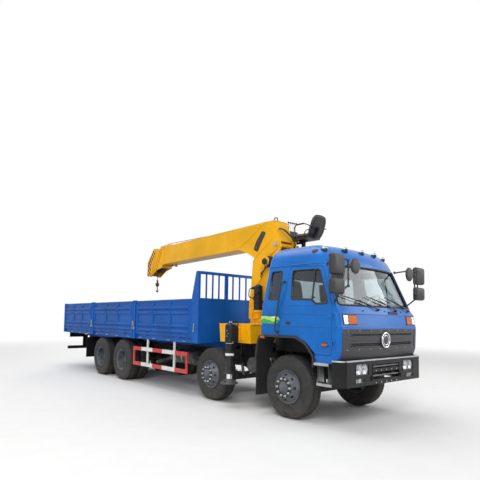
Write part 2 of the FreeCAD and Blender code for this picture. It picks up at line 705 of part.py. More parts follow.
def make_bed_floor():
    """deck on its bearers, with side rails, posts and the hinge lugs of the drop sides"""
    front, rear = ahead(BED_FRONT - 30), ahead(BED_REAR + 52)
    pieces = [box((rear, front), (-BED_HALF + 5, BED_HALF - 5), (FLOOR_TOP - 30, FLOOR_TOP))]
    for side in SIDES.values():
        pieces.append(side_box((rear, front), (BED_HALF - 65, BED_HALF - 5), (1120, FLOOR_TOP - 30), side))
        pieces.append(side_box((rear, front), (RAIL_OUT - 80, RAIL_OUT), (RAIL_TOP, 1120), side))
    count = 13
    for i in range(count):
        x = front - 60 - (front - rear - 120) * i / (count - 1)
        pieces.append(box((x - 30, x + 30), (-BED_HALF + 65, BED_HALF - 65), (1120, FLOOR_TOP - 30)))
    for side in SIDES.values():
        for post in POSTS:
            x = ahead(post)
            pieces.append(side_box((x - POST_WIDTH / 2, x + POST_WIDTH / 2), (BED_HALF - 10, POST_OUT),
                                   (1130, PANEL_TOP + 8), side))
        pieces.append(side_box((ahead(BED_REAR), ahead(BED_REAR + 82)), (BED_HALF - 10, POST_OUT),
                               (1130, PANEL_TOP + 8), side))
        y = side * (BED_HALF + PANEL_THICK)
        for start, end in panel_spans():
            for x in side_hinge_stations(start, end):
                for low, high in ((x - 62, x - 32), (x + 32, x + 62)):
                    pieces.append(rod((low, y, HINGE_Z), (high, y, HINGE_Z), HINGE_RADIUS))
                    pieces.append(side_box((low, high), (BED_HALF - 6, BED_HALF + PANEL_THICK - 6),
                                           (HINGE_Z - 10, HINGE_Z + 6), side))
                pieces.append(rod((x - 62, y, HINGE_Z), (x + 62, y, HINGE_Z), HINGE_PIN))
    x = ahead(BED_REAR + 12)
    for y in (-700, 700):
        for low, high in ((y - 62, y - 32), (y + 32, y + 62)):
            pieces.append(rod((x, low, HINGE_Z), (x, high, HINGE_Z), HINGE_RADIUS))
            pieces.append(box((x + 6, ahead(BED_REAR + 58)), (low, high), (HINGE_Z - 10, HINGE_Z + 6)))
        pieces.append(rod((x, y - 62, HINGE_Z), (x, y + 62, HINGE_Z), HINGE_PIN))
    return fuse(pieces)


RIB_BANDS = [(1330, 1400), (1450, 1520), (1740, 1810), (1860, 1930)]


def make_drop_side(start, end, side):
    """pressed panel: a frame, three columns of ribs, and the hinge knuckles"""
    inner, outer = BED_HALF, BED_HALF + PANEL_THICK
    low, high = HINGE_Z + 14, PANEL_TOP
    pieces = [side_box((end, start), (inner, outer), (low, high), side)]
    columns = 3
    width = (start - end - 160) / columns
    recess = []
    for i in range(columns):
        left = end + 80 + width * i + 25
        right = left + width - 50
        recess.append(side_box((left, right), (outer - 12, outer + 1), (low + 60, high - 60), side))
    body = pieces[0].cut(recess)
    ribs = []
    for i in range(columns):
        left = end + 80 + width * i + 25
        right = left + width - 50
        for bottom, top in RIB_BANDS:
            profile = [(outer - 13, bottom), (outer - 1, bottom + 16), (outer - 1, top - 16), (outer - 13, top)]
            points = [(side * y, z) for y, z in profile]
            ribs.append(prism_x(points, left, right))
    knuckles = []
    y = side * outer
    for x in side_hinge_stations(start, end):
        knuckles.append(rod((x - 30, y, HINGE_Z), (x + 30, y, HINGE_Z), HINGE_RADIUS))
        knuckles.append(side_box((x - 30, x + 30), (outer - 14, outer), (HINGE_Z, low + 2), side))
    panel = fuse([body] + ribs + knuckles)
    holes = [rod((x - 40, y, HINGE_Z), (x + 40, y, HINGE_Z), HINGE_PIN + FIT) for x in side_hinge_stations(start, end)]
    return panel.cut(holes)


def make_tailgate():
    """rear panel with its ribs and hinge knuckles"""
    outer = ahead(BED_REAR + 12)
    low, high = HINGE_Z + 14, PANEL_TOP
    half = BED_HALF - 16
    body = box((outer, outer + PANEL_THICK), (-half, half), (low, high))
    columns = 3
    width = (2 * half - 160) / columns
    recess, ribs = [], []
    for i in range(columns):
        left = -half + 80 + width * i + 25
        right = left + width - 50
        recess.append(box((outer - 1, outer + 12), (left, right), (low + 60, high - 60)))
        for bottom, top in RIB_BANDS:
            ribs.append(prism_y([(outer + 13, bottom), (outer + 1, bottom + 16), (outer + 1, top - 16),
                                 (outer + 13, top)], left, right))
    knuckles = []
    for y in (-700, 700):
        knuckles.append(rod((outer, y - 30, HINGE_Z), (outer, y + 30, HINGE_Z), HINGE_RADIUS))
        knuckles.append(box((outer, outer + 14), (y - 30, y + 30), (HINGE_Z, low + 2)))
    gate = fuse([body.cut(recess)] + ribs + knuckles)
    return gate.cut([rod((outer, y - 40, HINGE_Z), (outer, y + 40, HINGE_Z), HINGE_PIN + FIT) for y in (-700, 700)])


def make_headboard():
    """front wall: flat panel, wide corner posts, two inner posts and bars under a top rail"""
    back, front = ahead(BED_FRONT - 30), ahead(BED_FRONT)
    top = 2650
    pieces = [box((back, front), (-BED_HALF, BED_HALF), (1130, PANEL_TOP + 10)),
              box((back - 20, front), (-BED_HALF, BED_HALF), (top - 60, top))]
    for side in SIDES.values():
        pieces.append(side_plate(moved([(BED_FRONT, 1130), (BED_FRONT, top, 20), (BED_FRONT - 90, top, 20),
                                        (BED_FRONT - CORNER_POST, PANEL_TOP), (BED_FRONT - CORNER_POST, 1130)]),
                                 (BED_HALF, POST_OUT), side))
        pieces.append(side_box((back, front), (450, 525), (PANEL_TOP, top - 50), side))
        for y in (97, 292, 690, 860, 1030):
            pieces.append(side_box((back + 3, back + 23), (y - 16, y + 16), (PANEL_TOP, top - 50), side))
    return fuse(pieces)


# Crane

def make_crane_base():
    """cross box with the two beam tunnels, its seats on the frame, and the lower bearing ring"""
    body = prism_x([(-BASE_HALF, BASE_TOP), (BASE_HALF, BASE_TOP), (BASE_HALF - 30, BASE_LOW),
                    (-BASE_HALF + 30, BASE_LOW)], ahead(BASE_REAR), ahead(BASE_FRONT))
    pieces = [body, rod((ahead(SLEW_X), 0, BASE_TOP - 5), (ahead(SLEW_X), 0, RING_TOP), RING_RADIUS)]
    for side in SIDES.values():
        pieces.append(side_box((ahead(BASE_REAR + 40), ahead(BASE_FRONT - 40)), (RAIL_OUT - 80, RAIL_OUT),
                               (RAIL_TOP, BASE_LOW + 1), side))
    base = fuse(pieces)
    tunnels = []
    for name, side in SIDES.items():
        x = ahead(BEAM_X[name])
        tunnels.append(side_box((x - BEAM_HALF - 5, x + BEAM_HALF + 5), (-BASE_HALF + 40, BASE_HALF + 10),
                                (BEAM_LOW - FIT, BEAM_TOP + 5), side))
    return base.cut(tunnels)


def make_beam(name):
    """outrigger beam with its clamp head and the jack leg's outer tube"""
    side = SIDES[name]
    x, y = ahead(BEAM_X[name]), side * LEG_Y
    beam = side_box((x - BEAM_HALF, x + BEAM_HALF), (-BASE_HALF + 60, LEG_Y - 40), (BEAM_LOW, BEAM_TOP), side)
    head = side_box((x - 105, x + 105), (LEG_Y - 130, LEG_Y + 95), (1190, BASE_TOP - 15), side)
    tube_whole = rod((x, y, 610), (x, y, BASE_TOP + 10), LEG_RADIUS)
    collar = rod((x, y, 610), (x, y, 650), LEG_RADIUS + 12)
    bore = rod((x, y, 600), (x, y, BASE_TOP - 30), LEG_ROD_RADIUS + FIT)
    return fuse([beam, head, tube_whole, collar]).cut(bore)


def make_leg(name):
    """jack leg's rod with its round foot"""
    side = SIDES[name]
    x, y = ahead(BEAM_X[name]), side * LEG_Y
    foot = rod((x, y, FOOT_Z), (x, y, FOOT_Z + 35), 165)
    cup = Part.makeCone(95, 62, 60, V(x, y, FOOT_Z + 30))
    return fuse([rod((x, y, FOOT_Z + 10), (x, y, BASE_TOP - 45), LEG_ROD_RADIUS), foot, cup])


COLUMN_SIDE = [(-1900, 1660), (-1900, 2000, 80), (-1838, 2380, 200), (-1800, 2880, 60), (-1690, 3000, 50),
               (-1240, 3300, 60), (-1030, 3290, 60), (-1000, 3120, 60), (-1160, 2560, 300), (-1160, 1660)]


def make_column():
    """slewing column: turntable, two ear plates, front plate, cylinder lugs and both drives"""
    x = ahead(SLEW_X)
    pieces = [rod((x, 0, RING_TOP + FIT), (x, 0, 1665), RING_RADIUS - 10)]
    ear = (COLUMN_EAR, COLUMN_EAR + EAR_THICK)
    for side in SIDES.values():
        pieces.append(side_plate(moved(COLUMN_SIDE), ear, side))
        pieces.append(side_plate(moved([(CYL_FOOT_X - 90, 1660), (CYL_FOOT_X - 90, CYL_FOOT_Z + 60, 60),
                                        (CYL_FOOT_X + 90, CYL_FOOT_Z + 60, 60), (CYL_FOOT_X + 90, 1660)]),
                                 (62, 102), side))
    pieces.append(box((ahead(-1200), ahead(-1160)), (-COLUMN_EAR - 1, COLUMN_EAR + 1), (1660, 2500)))
    pieces.append(box((ahead(-1900), ahead(-1870)), (-COLUMN_EAR - 1, COLUMN_EAR + 1), (1660, 1900)))
    pieces.append(box((ahead(-1900), ahead(-1160)), (-COLUMN_EAR - 1, COLUMN_EAR + 1), (1660, 1700)))
    winch = (ahead(-1285), 2830)
    pieces.append(rod((winch[0], -COLUMN_EAR - 5, winch[1]), (winch[0], COLUMN_EAR + 5, winch[1]), 80))
    pieces.append(rod((winch[0], -COLUMN_EAR - EAR_THICK - 170, winch[1]), (winch[0], -COLUMN_EAR - 20, winch[1]), 110))
    drive = (ahead(-1510), -370)
    pieces.append(rod((drive[0], drive[1], 1850), (drive[0], drive[1], 2340), 85))
    pieces.append(box((drive[0] - 60, drive[0] + 60), (-370, -COLUMN_EAR - 20), (1900, 2020)))
    column = fuse(pieces)
    pin = rod((ahead(PIVOT_X), -400, PIVOT_Z), (ahead(PIVOT_X), 400, PIVOT_Z), PIVOT_RADIUS + FIT)
    foot = rod((ahead(CYL_FOOT_X), -110, CYL_FOOT_Z), (ahead(CYL_FOOT_X), 110, CYL_FOOT_Z), 30 + FIT)
    return column.cut([pin, foot])


def make_operator_seat():
    """seat on its bracket at the column's left ear, facing rearwards, with the control stand"""
    y = 500
    arm = box((ahead(-1080), ahead(-1010)), (COLUMN_EAR + EAR_THICK, y + 60), (3090, 3160))
    post = box((ahead(-1100), ahead(-990)), (y - 50, y + 60), (3150, 3330))
    cushion = prism_y([(ahead(-1245), 3330, 30), (ahead(-640), 3330), (ahead(-640), 3450, 40),
                       (ahead(-1245), 3460, 50)], y - 210, y + 210)
    back = prism_y([(ahead(-740), 3350), (ahead(-600), 3350), (ahead(-420), 3820, 60), (ahead(-580), 3830, 60)],
                   y - 200, y + 200)
    stand = box((ahead(-1420), ahead(-1330)), (y - 160, y + 160), (3330, 3580))
    foot = box((ahead(-1420), ahead(-1100)), (y - 30, y + 30), (3270, 3330))
    levers = [rod((ahead(-1375), y + k * 55, 3570), (ahead(-1375), y + k * 55, 3740), 10) for k in (-2, -1, 0, 1, 2)]
    return fuse([arm, post, cushion, back, stand, foot] + levers)


def place_boom(shape):
    """from the boom's own frame, level and measured from its pivot, into place at rest"""
    turned = shape.copy()
    turned.rotate(V(0, 0, 0), V(0, 1, 0), -BOOM_DROOP)
    turned.translate(V(ahead(PIVOT_X), 0, PIVOT_Z))
    return turned


BOOM_ROOT_SIDE = [(60, 70, 40), (-110, BOOM_TOP, 30), (-1350, BOOM_TOP), (-1350, BOOM_LOW), (-1180, BOOM_LOW, 160),
                  (-860, -90, 160), (-700, -200, 40), (-600, -200, 60), (-60, -120, 60), (70, -100, 70)]


def make_boom_base():
    """root cheeks between the column's ears, running into the outer box section"""
    half, wall = BOOM_HALF, BOOM_WALL
    box_out = box((BOOM_END, BOOM_ROOT), (-half, half), (BOOM_LOW, BOOM_TOP))
    box_in = box((BOOM_END - 1, BOOM_ROOT + 1), (-half + wall, half - wall), (BOOM_LOW + wall, BOOM_TOP - wall))
    pieces = [box_out.cut(box_in)]
    for side in SIDES.values():
        pieces.append(side_plate(BOOM_ROOT_SIDE, (half - 25, half), side))
    pieces.append(box((-1340, -105), (-half + 5, half - 5), (BOOM_TOP - 12, BOOM_TOP)))
    pieces.append(prism_y([(58, 70), (-112, BOOM_TOP - 5), (-125, BOOM_TOP - 5), (42, 66)], -half + 5, half - 5))
    pieces.append(box((BOOM_ROOT - 5, BOOM_ROOT + 12), (-half + 5, half - 5), (BOOM_LOW + 2, BOOM_TOP - 5)))
    collar = box((BOOM_END, BOOM_END + 90), (-half - 12, half + 12), (BOOM_LOW - 12, BOOM_TOP + 12))
    pieces.append(collar.cut(box((BOOM_END - 1, BOOM_END + 91), (-half + 2, half - 2), (BOOM_LOW + 2, BOOM_TOP - 2))))
    pieces.append(rod((0, -COLUMN_EAR - EAR_THICK - 15, 0), (0, COLUMN_EAR + EAR_THICK + 15, 0), PIVOT_RADIUS))
    whole = fuse(pieces)
    slot = prism_y([(-380, 290, 30), (-440, 320, 30), (-600, 130, 90), (-690, -10, 30), (-610, -40, 30),
                    (-530, 100, 90)], -half - 5, half + 5)
    return place_boom(whole.cut(slot))


def inner_section(half, low, top, start, end):
    """one telescoping box, open at both ends"""
    outer = box((end, start), (-half, half), (low, top))
    return outer.cut(box((end - 1, start + 1), (-half + BOOM_WALL, half - BOOM_WALL), (low + BOOM_WALL, top - BOOM_WALL)))


SECTION_2 = {"half": 182, "low": BOOM_LOW + BOOM_WALL + FIT, "top": 510, "start": -1400, "end": -4525}
SECTION_3 = {"half": 164, "low": BOOM_LOW + 2 * BOOM_WALL + 2 * FIT, "top": 490, "start": -1450, "end": -4600}
HEAD_SIDE = [(-4560, 500), (-5030, 555, 40), (-5365, 180, 60), (-5380, -220, 50), (-5180, -255, 40),
             (-4860, -90, 60), (-4560, -30)]
SHEAVE = (-4930, 0)
SHEAVE_AXLE = 30
SHEAVE_RADIUS = 140
ROPE_RADIUS = 9


def make_boom_middle():
    """second box section of the boom"""
    return place_boom(inner_section(**SECTION_2))


def make_boom_tip():
    """third box section with the boom head, its stiffeners and the sheave's axle"""
    half = SECTION_3["half"]
    pieces = [inner_section(**SECTION_3)]
    for side in SIDES.values():
        pieces.append(side_plate(HEAD_SIDE, (half - 22, half), side))
    pieces.append(prism_y([(-4560, 498), (-5030, 553), (-5363, 180), (-5350, 174), (-5024, 538), (-4560, 484)],
                          -half + 5, half - 5))
    pieces.append(box((-5380, -5366), (-half + 5, half - 5), (-200, 182)))
    pieces.append(box((-4700, -4560), (-half + 5, half - 5), (-36, -20)))
    pieces.append(box((-4640, -4570), (-half - 14, half + 14), (480, 570)))
    pieces.append(box((-4580, -4565), (-half + 5, half - 5), (-30, 70)))
    x, z = SHEAVE
    pieces.append(rod((x, -half + 5, z), (x, half - 5, z), SHEAVE_AXLE))
    return place_boom(fuse(pieces))


def sheave_centre():
    """the head sheave's centre at rest, in the part's frame"""
    angle = math.radians(BOOM_DROOP)
    u, v = SHEAVE
    return V(ahead(PIVOT_X) + u * math.cos(angle) - v * math.sin(angle), 0,
             PIVOT_Z + u * math.sin(angle) + v * math.cos(angle))


def rope_x():
    return sheave_centre().x - SHEAVE_RADIUS


HOOK_TOP = 2760
HOOK_LOW = 2390


def make_rope():
    """hoist rope from the head sheave down to the hook's socket"""
    centre = sheave_centre()
    return rod((rope_x(), 0, HOOK_TOP), (rope_x(), 0, centre.z), ROPE_RADIUS)


def make_sheave():
    """head sheave, free on the boom head's axle"""
    centre = sheave_centre()
    disc = rod((centre.x, -26, centre.z), (centre.x, 26, centre.z), SHEAVE_RADIUS - ROPE_RADIUS - FIT)
    return disc.cut(rod((centre.x, -30, centre.z), (centre.x, 30, centre.z), SHEAVE_AXLE + FIT))


HOOK_SIDE = [(14, 150), (14, 118), (46, 100), (62, 66), (58, 30), (34, 6), (0, 0), (-34, 8), (-58, 34),
             (-66, 74), (-48, 80), (-36, 48), (-18, 30), (2, 26), (24, 34), (34, 56), (28, 78), (4, 92),
             (-14, 104), (-14, 150)]


def make_hook():
    """weight, socket and hook"""
    x = rope_x()
    socket = rod((x, 0, HOOK_TOP - 100), (x, 0, HOOK_TOP), 26)
    weight = rod((x, 0, HOOK_TOP - 190), (x, 0, HOOK_TOP - 90), 48)
    shank = rod((x, 0, HOOK_LOW + 110), (x, 0, HOOK_TOP - 180), 14)
    bend = prism_y([(x + u, HOOK_LOW + v) for u, v in HOOK_SIDE], -14, 14)
    return fuse([socket, weight, shank, bend])


def cylinder_axis():
    """foot and rod eye of the lift cylinder, and the unit vector between them"""
    foot = V(ahead(CYL_FOOT_X), 0, CYL_FOOT_Z)
    eye = V(ahead(ROD_EYE_X), 0, ROD_EYE_Z)
    return foot, eye, (eye - foot).normalize()


def make_lift_barrel():
    """lift cylinder's barrel on its foot pin"""
    foot, eye, along = cylinder_axis()
    start, end = foot + along * 105, foot + along * 930
    pieces = [rod((foot.x, -56, foot.z), (foot.x, 56, foot.z), 62),
              rod((foot.x, -108, foot.z), (foot.x, 108, foot.z), ROD_PIN_RADIUS),
              rod(tuple(foot + along * 20), tuple(foot + along * 120), 50),
              rod(tuple(start), tuple(end), 80)]
    barrel = fuse(pieces)
    return barrel.cut(rod(tuple(foot + along * 135), tuple(foot + along * 940), 45 + FIT))


def make_lift_rod():
    """piston rod with its eye and the pin that spans the boom's cheeks"""
    foot, eye, along = cylinder_axis()
    return fuse([rod(tuple(foot + along * 145), tuple(eye - along * 30), 45),
                 rod((eye.x, -50, eye.z), (eye.x, 50, eye.z), 62),
                 rod((eye.x, -165, eye.z), (eye.x, 165, eye.z), ROD_PIN_RADIUS)])


def build():
    os.makedirs("parts", exist_ok=True)
    outer = cab_body(0)
    skin_inner = cab_body(CAB_WALL)
    band = glass_band()
    parts = {
        "frame": Part.makeCompound(make_frame() + [make_tow_jaw(), make_engine()]), "axles": make_axles(),
        "cab_shell": make_cab_shell(outer, skin_inner), "cab_glass": make_cab_glass(band),
        "cab_interior": make_cab_interior(), "grille": make_grille(outer), "bumper": make_bumper(),
        "lamps": make_lamps(outer), "mirrors": make_mirrors(outer), "fenders_steps": make_fenders(),
        "tanks": make_tanks(), "guards": make_guards(), "bed_floor": make_bed_floor(),
        "headboard": make_headboard(), "tailgate": make_tailgate(), "crane_base": make_crane_base(),
        "column": make_column(), "operator_seat": make_operator_seat(), "boom_base": make_boom_base(),
        "boom_middle": make_boom_middle(), "boom_tip": make_boom_tip(), "hoist_rope": make_rope(),
        "hook": make_hook(), "head_sheave": make_sheave(), "lift_barrel": make_lift_barrel(), "lift_rod": make_lift_rod(),
    }
    for name, side in SIDES.items():
        parts["door_" + name] = make_door(outer, skin_inner, side)
        parts["door_glass_" + name] = make_door_glass(band, side)
        parts["outrigger_beam_" + name] = make_beam(name)
        parts["jack_leg_" + name] = make_leg(name)
        for i, (start, end) in enumerate(panel_spans()):
            parts["drop_side_%s_%d" % (name, i + 1)] = make_drop_side(start, end, side)
        for i, offset in enumerate(AXLE_OFFSETS):
            x = ahead(-offset)
            label = "%d_%s" % (i + 1, name)
            if i < 2:
                parts["knuckle_" + label] = make_knuckle(x, side)
                parts["rim_" + label] = make_front_rim(x, side)
                parts["tyre_" + label] = ring(tyre_profile(FRONT_WHEEL_Y), TYRE_SIDES, x, side, True)
            else:
                parts["rim_" + label] = make_rear_rim(x, side)
                parts["tyre_" + label] = Part.makeCompound(
                    [ring(tyre_profile(y), TYRE_SIDES, x, side, True) for y in REAR_WHEEL_Y])
    for name, shape in parts.items():
        shape.exportStep("parts/%s.step" % name)
        print(name, len(shape.Solids), "solids", "valid" if shape.isValid() else "NOT VALID",
              "%.4f m3" % (shape.Volume / 1e9))


build()
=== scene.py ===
import bpy
import bmesh
import math
from mathutils import Matrix, Vector
from mathutils.bvhtree import BVHTree


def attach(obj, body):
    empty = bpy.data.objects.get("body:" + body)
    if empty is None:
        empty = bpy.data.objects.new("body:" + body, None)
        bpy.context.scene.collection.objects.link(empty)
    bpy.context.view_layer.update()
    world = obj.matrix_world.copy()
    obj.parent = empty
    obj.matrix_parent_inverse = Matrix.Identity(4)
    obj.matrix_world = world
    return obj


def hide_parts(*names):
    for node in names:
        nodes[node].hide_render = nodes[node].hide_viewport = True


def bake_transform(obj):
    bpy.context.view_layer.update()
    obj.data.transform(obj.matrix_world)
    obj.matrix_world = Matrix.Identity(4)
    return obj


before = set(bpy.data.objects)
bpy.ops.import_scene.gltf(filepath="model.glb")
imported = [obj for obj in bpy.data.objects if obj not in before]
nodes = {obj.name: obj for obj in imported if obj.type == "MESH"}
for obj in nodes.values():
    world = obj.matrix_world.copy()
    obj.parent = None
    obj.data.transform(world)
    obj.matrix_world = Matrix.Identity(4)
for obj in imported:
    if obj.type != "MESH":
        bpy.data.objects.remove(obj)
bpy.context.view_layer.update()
print("frame loaded:", len(nodes), "nodes")

axleOne = 4.495                          # station of the first axle
wheelHubs = {"1": 0.0, "2": -2.12, "3": -5.88, "4": -7.18}
sides = {"right": -1, "left": 1}
ropeRadius = 0.0088


def ahead(metres):
    # x of a station, given in metres ahead of the first axle
    return axleOne + metres


def at(station, y, z):
    return Vector((ahead(station), y, z))


def moved(x, y, z):
    return Matrix.Translation((x, y, z))


def stood(station, y, z):
    return Matrix.Translation(at(station, y, z))


def outwards(side):
    # turns local Z to the left (1) or right (-1)
    return Matrix.Rotation(-side * math.pi / 2, 4, "X")


turnX, turnY = Matrix.Rotation(math.pi / 2, 4, "Y"), outwards(1)   # local Z to +X, to +Y
axisX, axisY, axisZ = Vector((1, 0, 0)), Vector((0, 1, 0)), Vector((0, 0, 1))


def newObject(name, data):
    # a linked object
    made = bpy.data.objects.new(name, data)
    bpy.context.scene.collection.objects.link(made)
    return made


def asMesh(name, bm):
    # plain mesh of a bmesh, its faces turned outwards
    bmesh.ops.recalc_face_normals(bm, faces=bm.faces)
    mesh = bpy.data.meshes.new(name)
    bm.to_mesh(mesh)
    bm.free()
    return mesh


def meshOf(item):
    # plain mesh of an object with its modifiers applied
    bpy.context.view_layer.update()
    return bpy.data.meshes.new_from_object(item.evaluated_get(bpy.context.evaluated_depsgraph_get()))


# camera and lights
view = {"place": (9.6336, -6.6512, 1.6531), "yaw": 2.4258, "pitch": 0.0623, "roll": 0.0163, "lens": 33.21,
        "shift": 0.107}


def makeCamera():
    data = bpy.data.cameras.new("camera")
    data.lens = view["lens"]
    data.sensor_width = 36
    data.shift_y = view["shift"]
    data.clip_end = 200
    camera = newObject("camera", data)
    camera.location = view["place"]
    yaw, pitch = view["yaw"], view["pitch"]
    look = Vector((math.cos(yaw) * math.cos(pitch), math.sin(yaw) * math.cos(pitch), math.sin(pitch)))
    turn = look.to_track_quat("-Z", "Y").to_matrix().to_4x4() @ Matrix.Rotation(view["roll"], 4, "Z")
    camera.rotation_euler = turn.to_euler()
    bpy.context.scene.camera = camera


def makeLight(name, place, aim, size, power):
    data = bpy.data.lights.new(name, "AREA")
    data.shape = "DISK"
    data.size = size
    data.energy = power
    lamp = newObject(name, data)
    lamp.location = place
    lamp.rotation_euler = (Vector(aim) - Vector(place)).to_track_quat("-Z", "Y").to_euler()


makeCamera()

# a wide soft key from the camera's side, a fill from the other and a broad top light
makeLight("key", (15, -13, 12), (0, 0, 1.4), 9.0, 2000)
makeLight("fill", (13, 10, 7), (2, 0, 1.4), 9.0, 600)
makeLight("top", (-2, -2, 16), (-1, 0, 1), 14.0, 1500)
makeLight("back", (-16, 8, 9), (-2, 0, 1.5), 8.0, 700)


# shader and material helpers
class Sock:
    # a shader socket that takes part in sums
    def __init__(self, finish, out):
        self.finish, self.out = finish, out

    def calc(self, operation, *others, first=None):
        values = ([first] if first is not None else []) + [self] + list(others)
        return self.finish.node("ShaderNodeMath", {"operation": operation}, dict(enumerate(values)))

    def __add__(self, other): return self.calc("ADD", other)
    def __radd__(self, other): return self.calc("ADD", other)
    def __mul__(self, other): return self.calc("MULTIPLY", other)
    def __rmul__(self, other): return self.calc("MULTIPLY", other)
    def __sub__(self, other): return self.calc("SUBTRACT", other)
    def __rsub__(self, other): return self.calc("SUBTRACT", first=other)
    def __gt__(self, other): return self.calc("GREATER_THAN", other)
    def __lt__(self, other): return self.calc("LESS_THAN", other)
    def wave(self): return self.calc("SINE")
    def part(self): return self.calc("FRACT")

    def spread(self, low, high, start=0.0, end=1.0):
        return self.finish.node("ShaderNodeMapRange", {"interpolation_type": "SMOOTHSTEP"},
                                {0: self, 1: low, 2: high, 3: start, 4: end})


class Finish:
    # one procedural material, built up node by node
    def __init__(self, name, slotName, **shaderValues):
        self.material = bpy.data.materials.new(name)
        self.material.use_nodes = True
        self.slotName = slotName
        self.tree = self.material.node_tree
        self.tree.nodes.clear()
        end = self.tree.nodes.new("ShaderNodeOutputMaterial")
        self.shader = self.tree.nodes.new("ShaderNodeBsdfPrincipled")
        self.tree.links.new(self.shader.outputs[0], end.inputs[0])
        self.set(**shaderValues)
        self.where = self.node("ShaderNodeTexCoord", output="Object")

    def set(self, **values):
        for name, value in values.items():
            self.put(self.shader.inputs[name.replace("_", " ")], value)

    def put(self, socket, value):
        if isinstance(value, Sock):
            self.tree.links.new(value.out, socket)
        elif isinstance(value, tuple) and len(value) == 3 and socket.type == "RGBA":
            socket.default_value = value + (1.0,)
        else:
            socket.default_value = value

    def node(self, kind, settings=None, inputs=None, output=0):
        made = self.tree.nodes.new(kind)
        for name, value in (settings or {}).items():
            setattr(made, name, value)
        for name, value in (inputs or {}).items():
            self.put(made.inputs[name], value)
        return Sock(self, made.outputs[output])

    def noise(self, scale, detail=3.0, rough=0.5, stretch=None, distort=0.0):
        place = self.where
        if stretch:
            place = self.node("ShaderNodeMapping", inputs={"Vector": place, "Scale": stretch})
        return self.node("ShaderNodeTexNoise", None,
                         {"Vector": place, "Scale": scale, "Detail": detail, "Roughness": rough, "Distortion": distort})

    def colour(self):
        # the base colour made so far
        return Sock(self, self.shader.inputs["Base Color"].links[0].from_socket)

    def axis(self, index):
        return self.node("ShaderNodeSeparateXYZ", inputs={0: self.where}, output=index)

    def blend(self, amount, first, second):
        return self.node("ShaderNodeMix", {"data_type": "RGBA"}, {0: amount, 6: first, 7: second}, output=2)

    def edge(self, radius, keen=9.0):
        # mask of worn edges, from how far a rounded normal leaves the true one
        soft = self.node("ShaderNodeBevel", {"samples": 4}, {"Radius": radius})
        true = self.node("ShaderNodeNewGeometry", output="True Normal")
        apart = self.node("ShaderNodeVectorMath", {"operation": "DOT_PRODUCT"}, {0: soft, 1: true}, output=1)
        return (1.0 - apart).spread(0.02, 1.0 / keen)

    def bump(self, height, strength, distance, rounded=0.0):
        inputs = {"Height": height, "Strength": strength, "Distance": distance}
        if rounded:
            inputs["Normal"] = self.node("ShaderNodeBevel", {"samples": 4}, {"Radius": rounded})
        self.set(Normal=self.node("ShaderNodeBump", None, inputs))


def paintFinish(name, slotName, colour, rough, dust, chip, rounded=0.005, coat=0.4):
    # sprayed paint: faint orange peel, cloudy tone, road dust low down and worn edges
    made = Finish(name, slotName, Coat_Weight=coat, Coat_Roughness=0.12, Specular_IOR_Level=0.22)
    cloud = made.noise(1.3, 4.0, 0.6)
    deep = tuple(c * 0.86 for c in colour)
    light = tuple(min(1.0, c * 1.08 + 0.006) for c in colour)
    base = made.blend(cloud.spread(0.3, 0.7), deep, light)
    low = made.axis(2).spread(0.3, 1.9, 1.0, 0.12)
    film = (made.noise(5.0, 6.0, 0.7) * low).spread(0.25, 0.75) * dust
    base = made.blend(film, base, (0.36, 0.33, 0.29))
    worn = made.edge(rounded * 1.2) * made.noise(38.0, 3.0, 0.7).spread(0.56, 0.66) * chip
    base = made.blend(worn, base, (0.2, 0.17, 0.15))
    made.set(Base_Color=base, Roughness=rough + film * 0.45 + cloud * 0.06)
    made.bump(made.noise(160.0, 2.0), 0.05, 0.001, rounded)
    return made


def plainFinish(name, slotName, colour, rough, grain, metal=0.0, rounded=0.003, depth=0.25, tint=0.14, coat=0.0):
    # moulded, cast or plated stuff: grain in the bump and a little tone and sheen change
    made = Finish(name, slotName, Metallic=metal, Coat_Weight=coat)
    cloud = made.noise(grain * 0.06, 4.0, 0.65)
    dark = tuple(c * (1 - tint) for c in colour)
    light = tuple(min(1.0, c * (1 + tint) + 0.004) for c in colour)
    made.set(Base_Color=made.blend(cloud.spread(0.3, 0.7), dark, light),
             Roughness=rough + (cloud - 0.5) * 0.18)
    made.bump(made.noise(grain, 3.0, 0.6), depth, 0.0006, rounded)
    return made


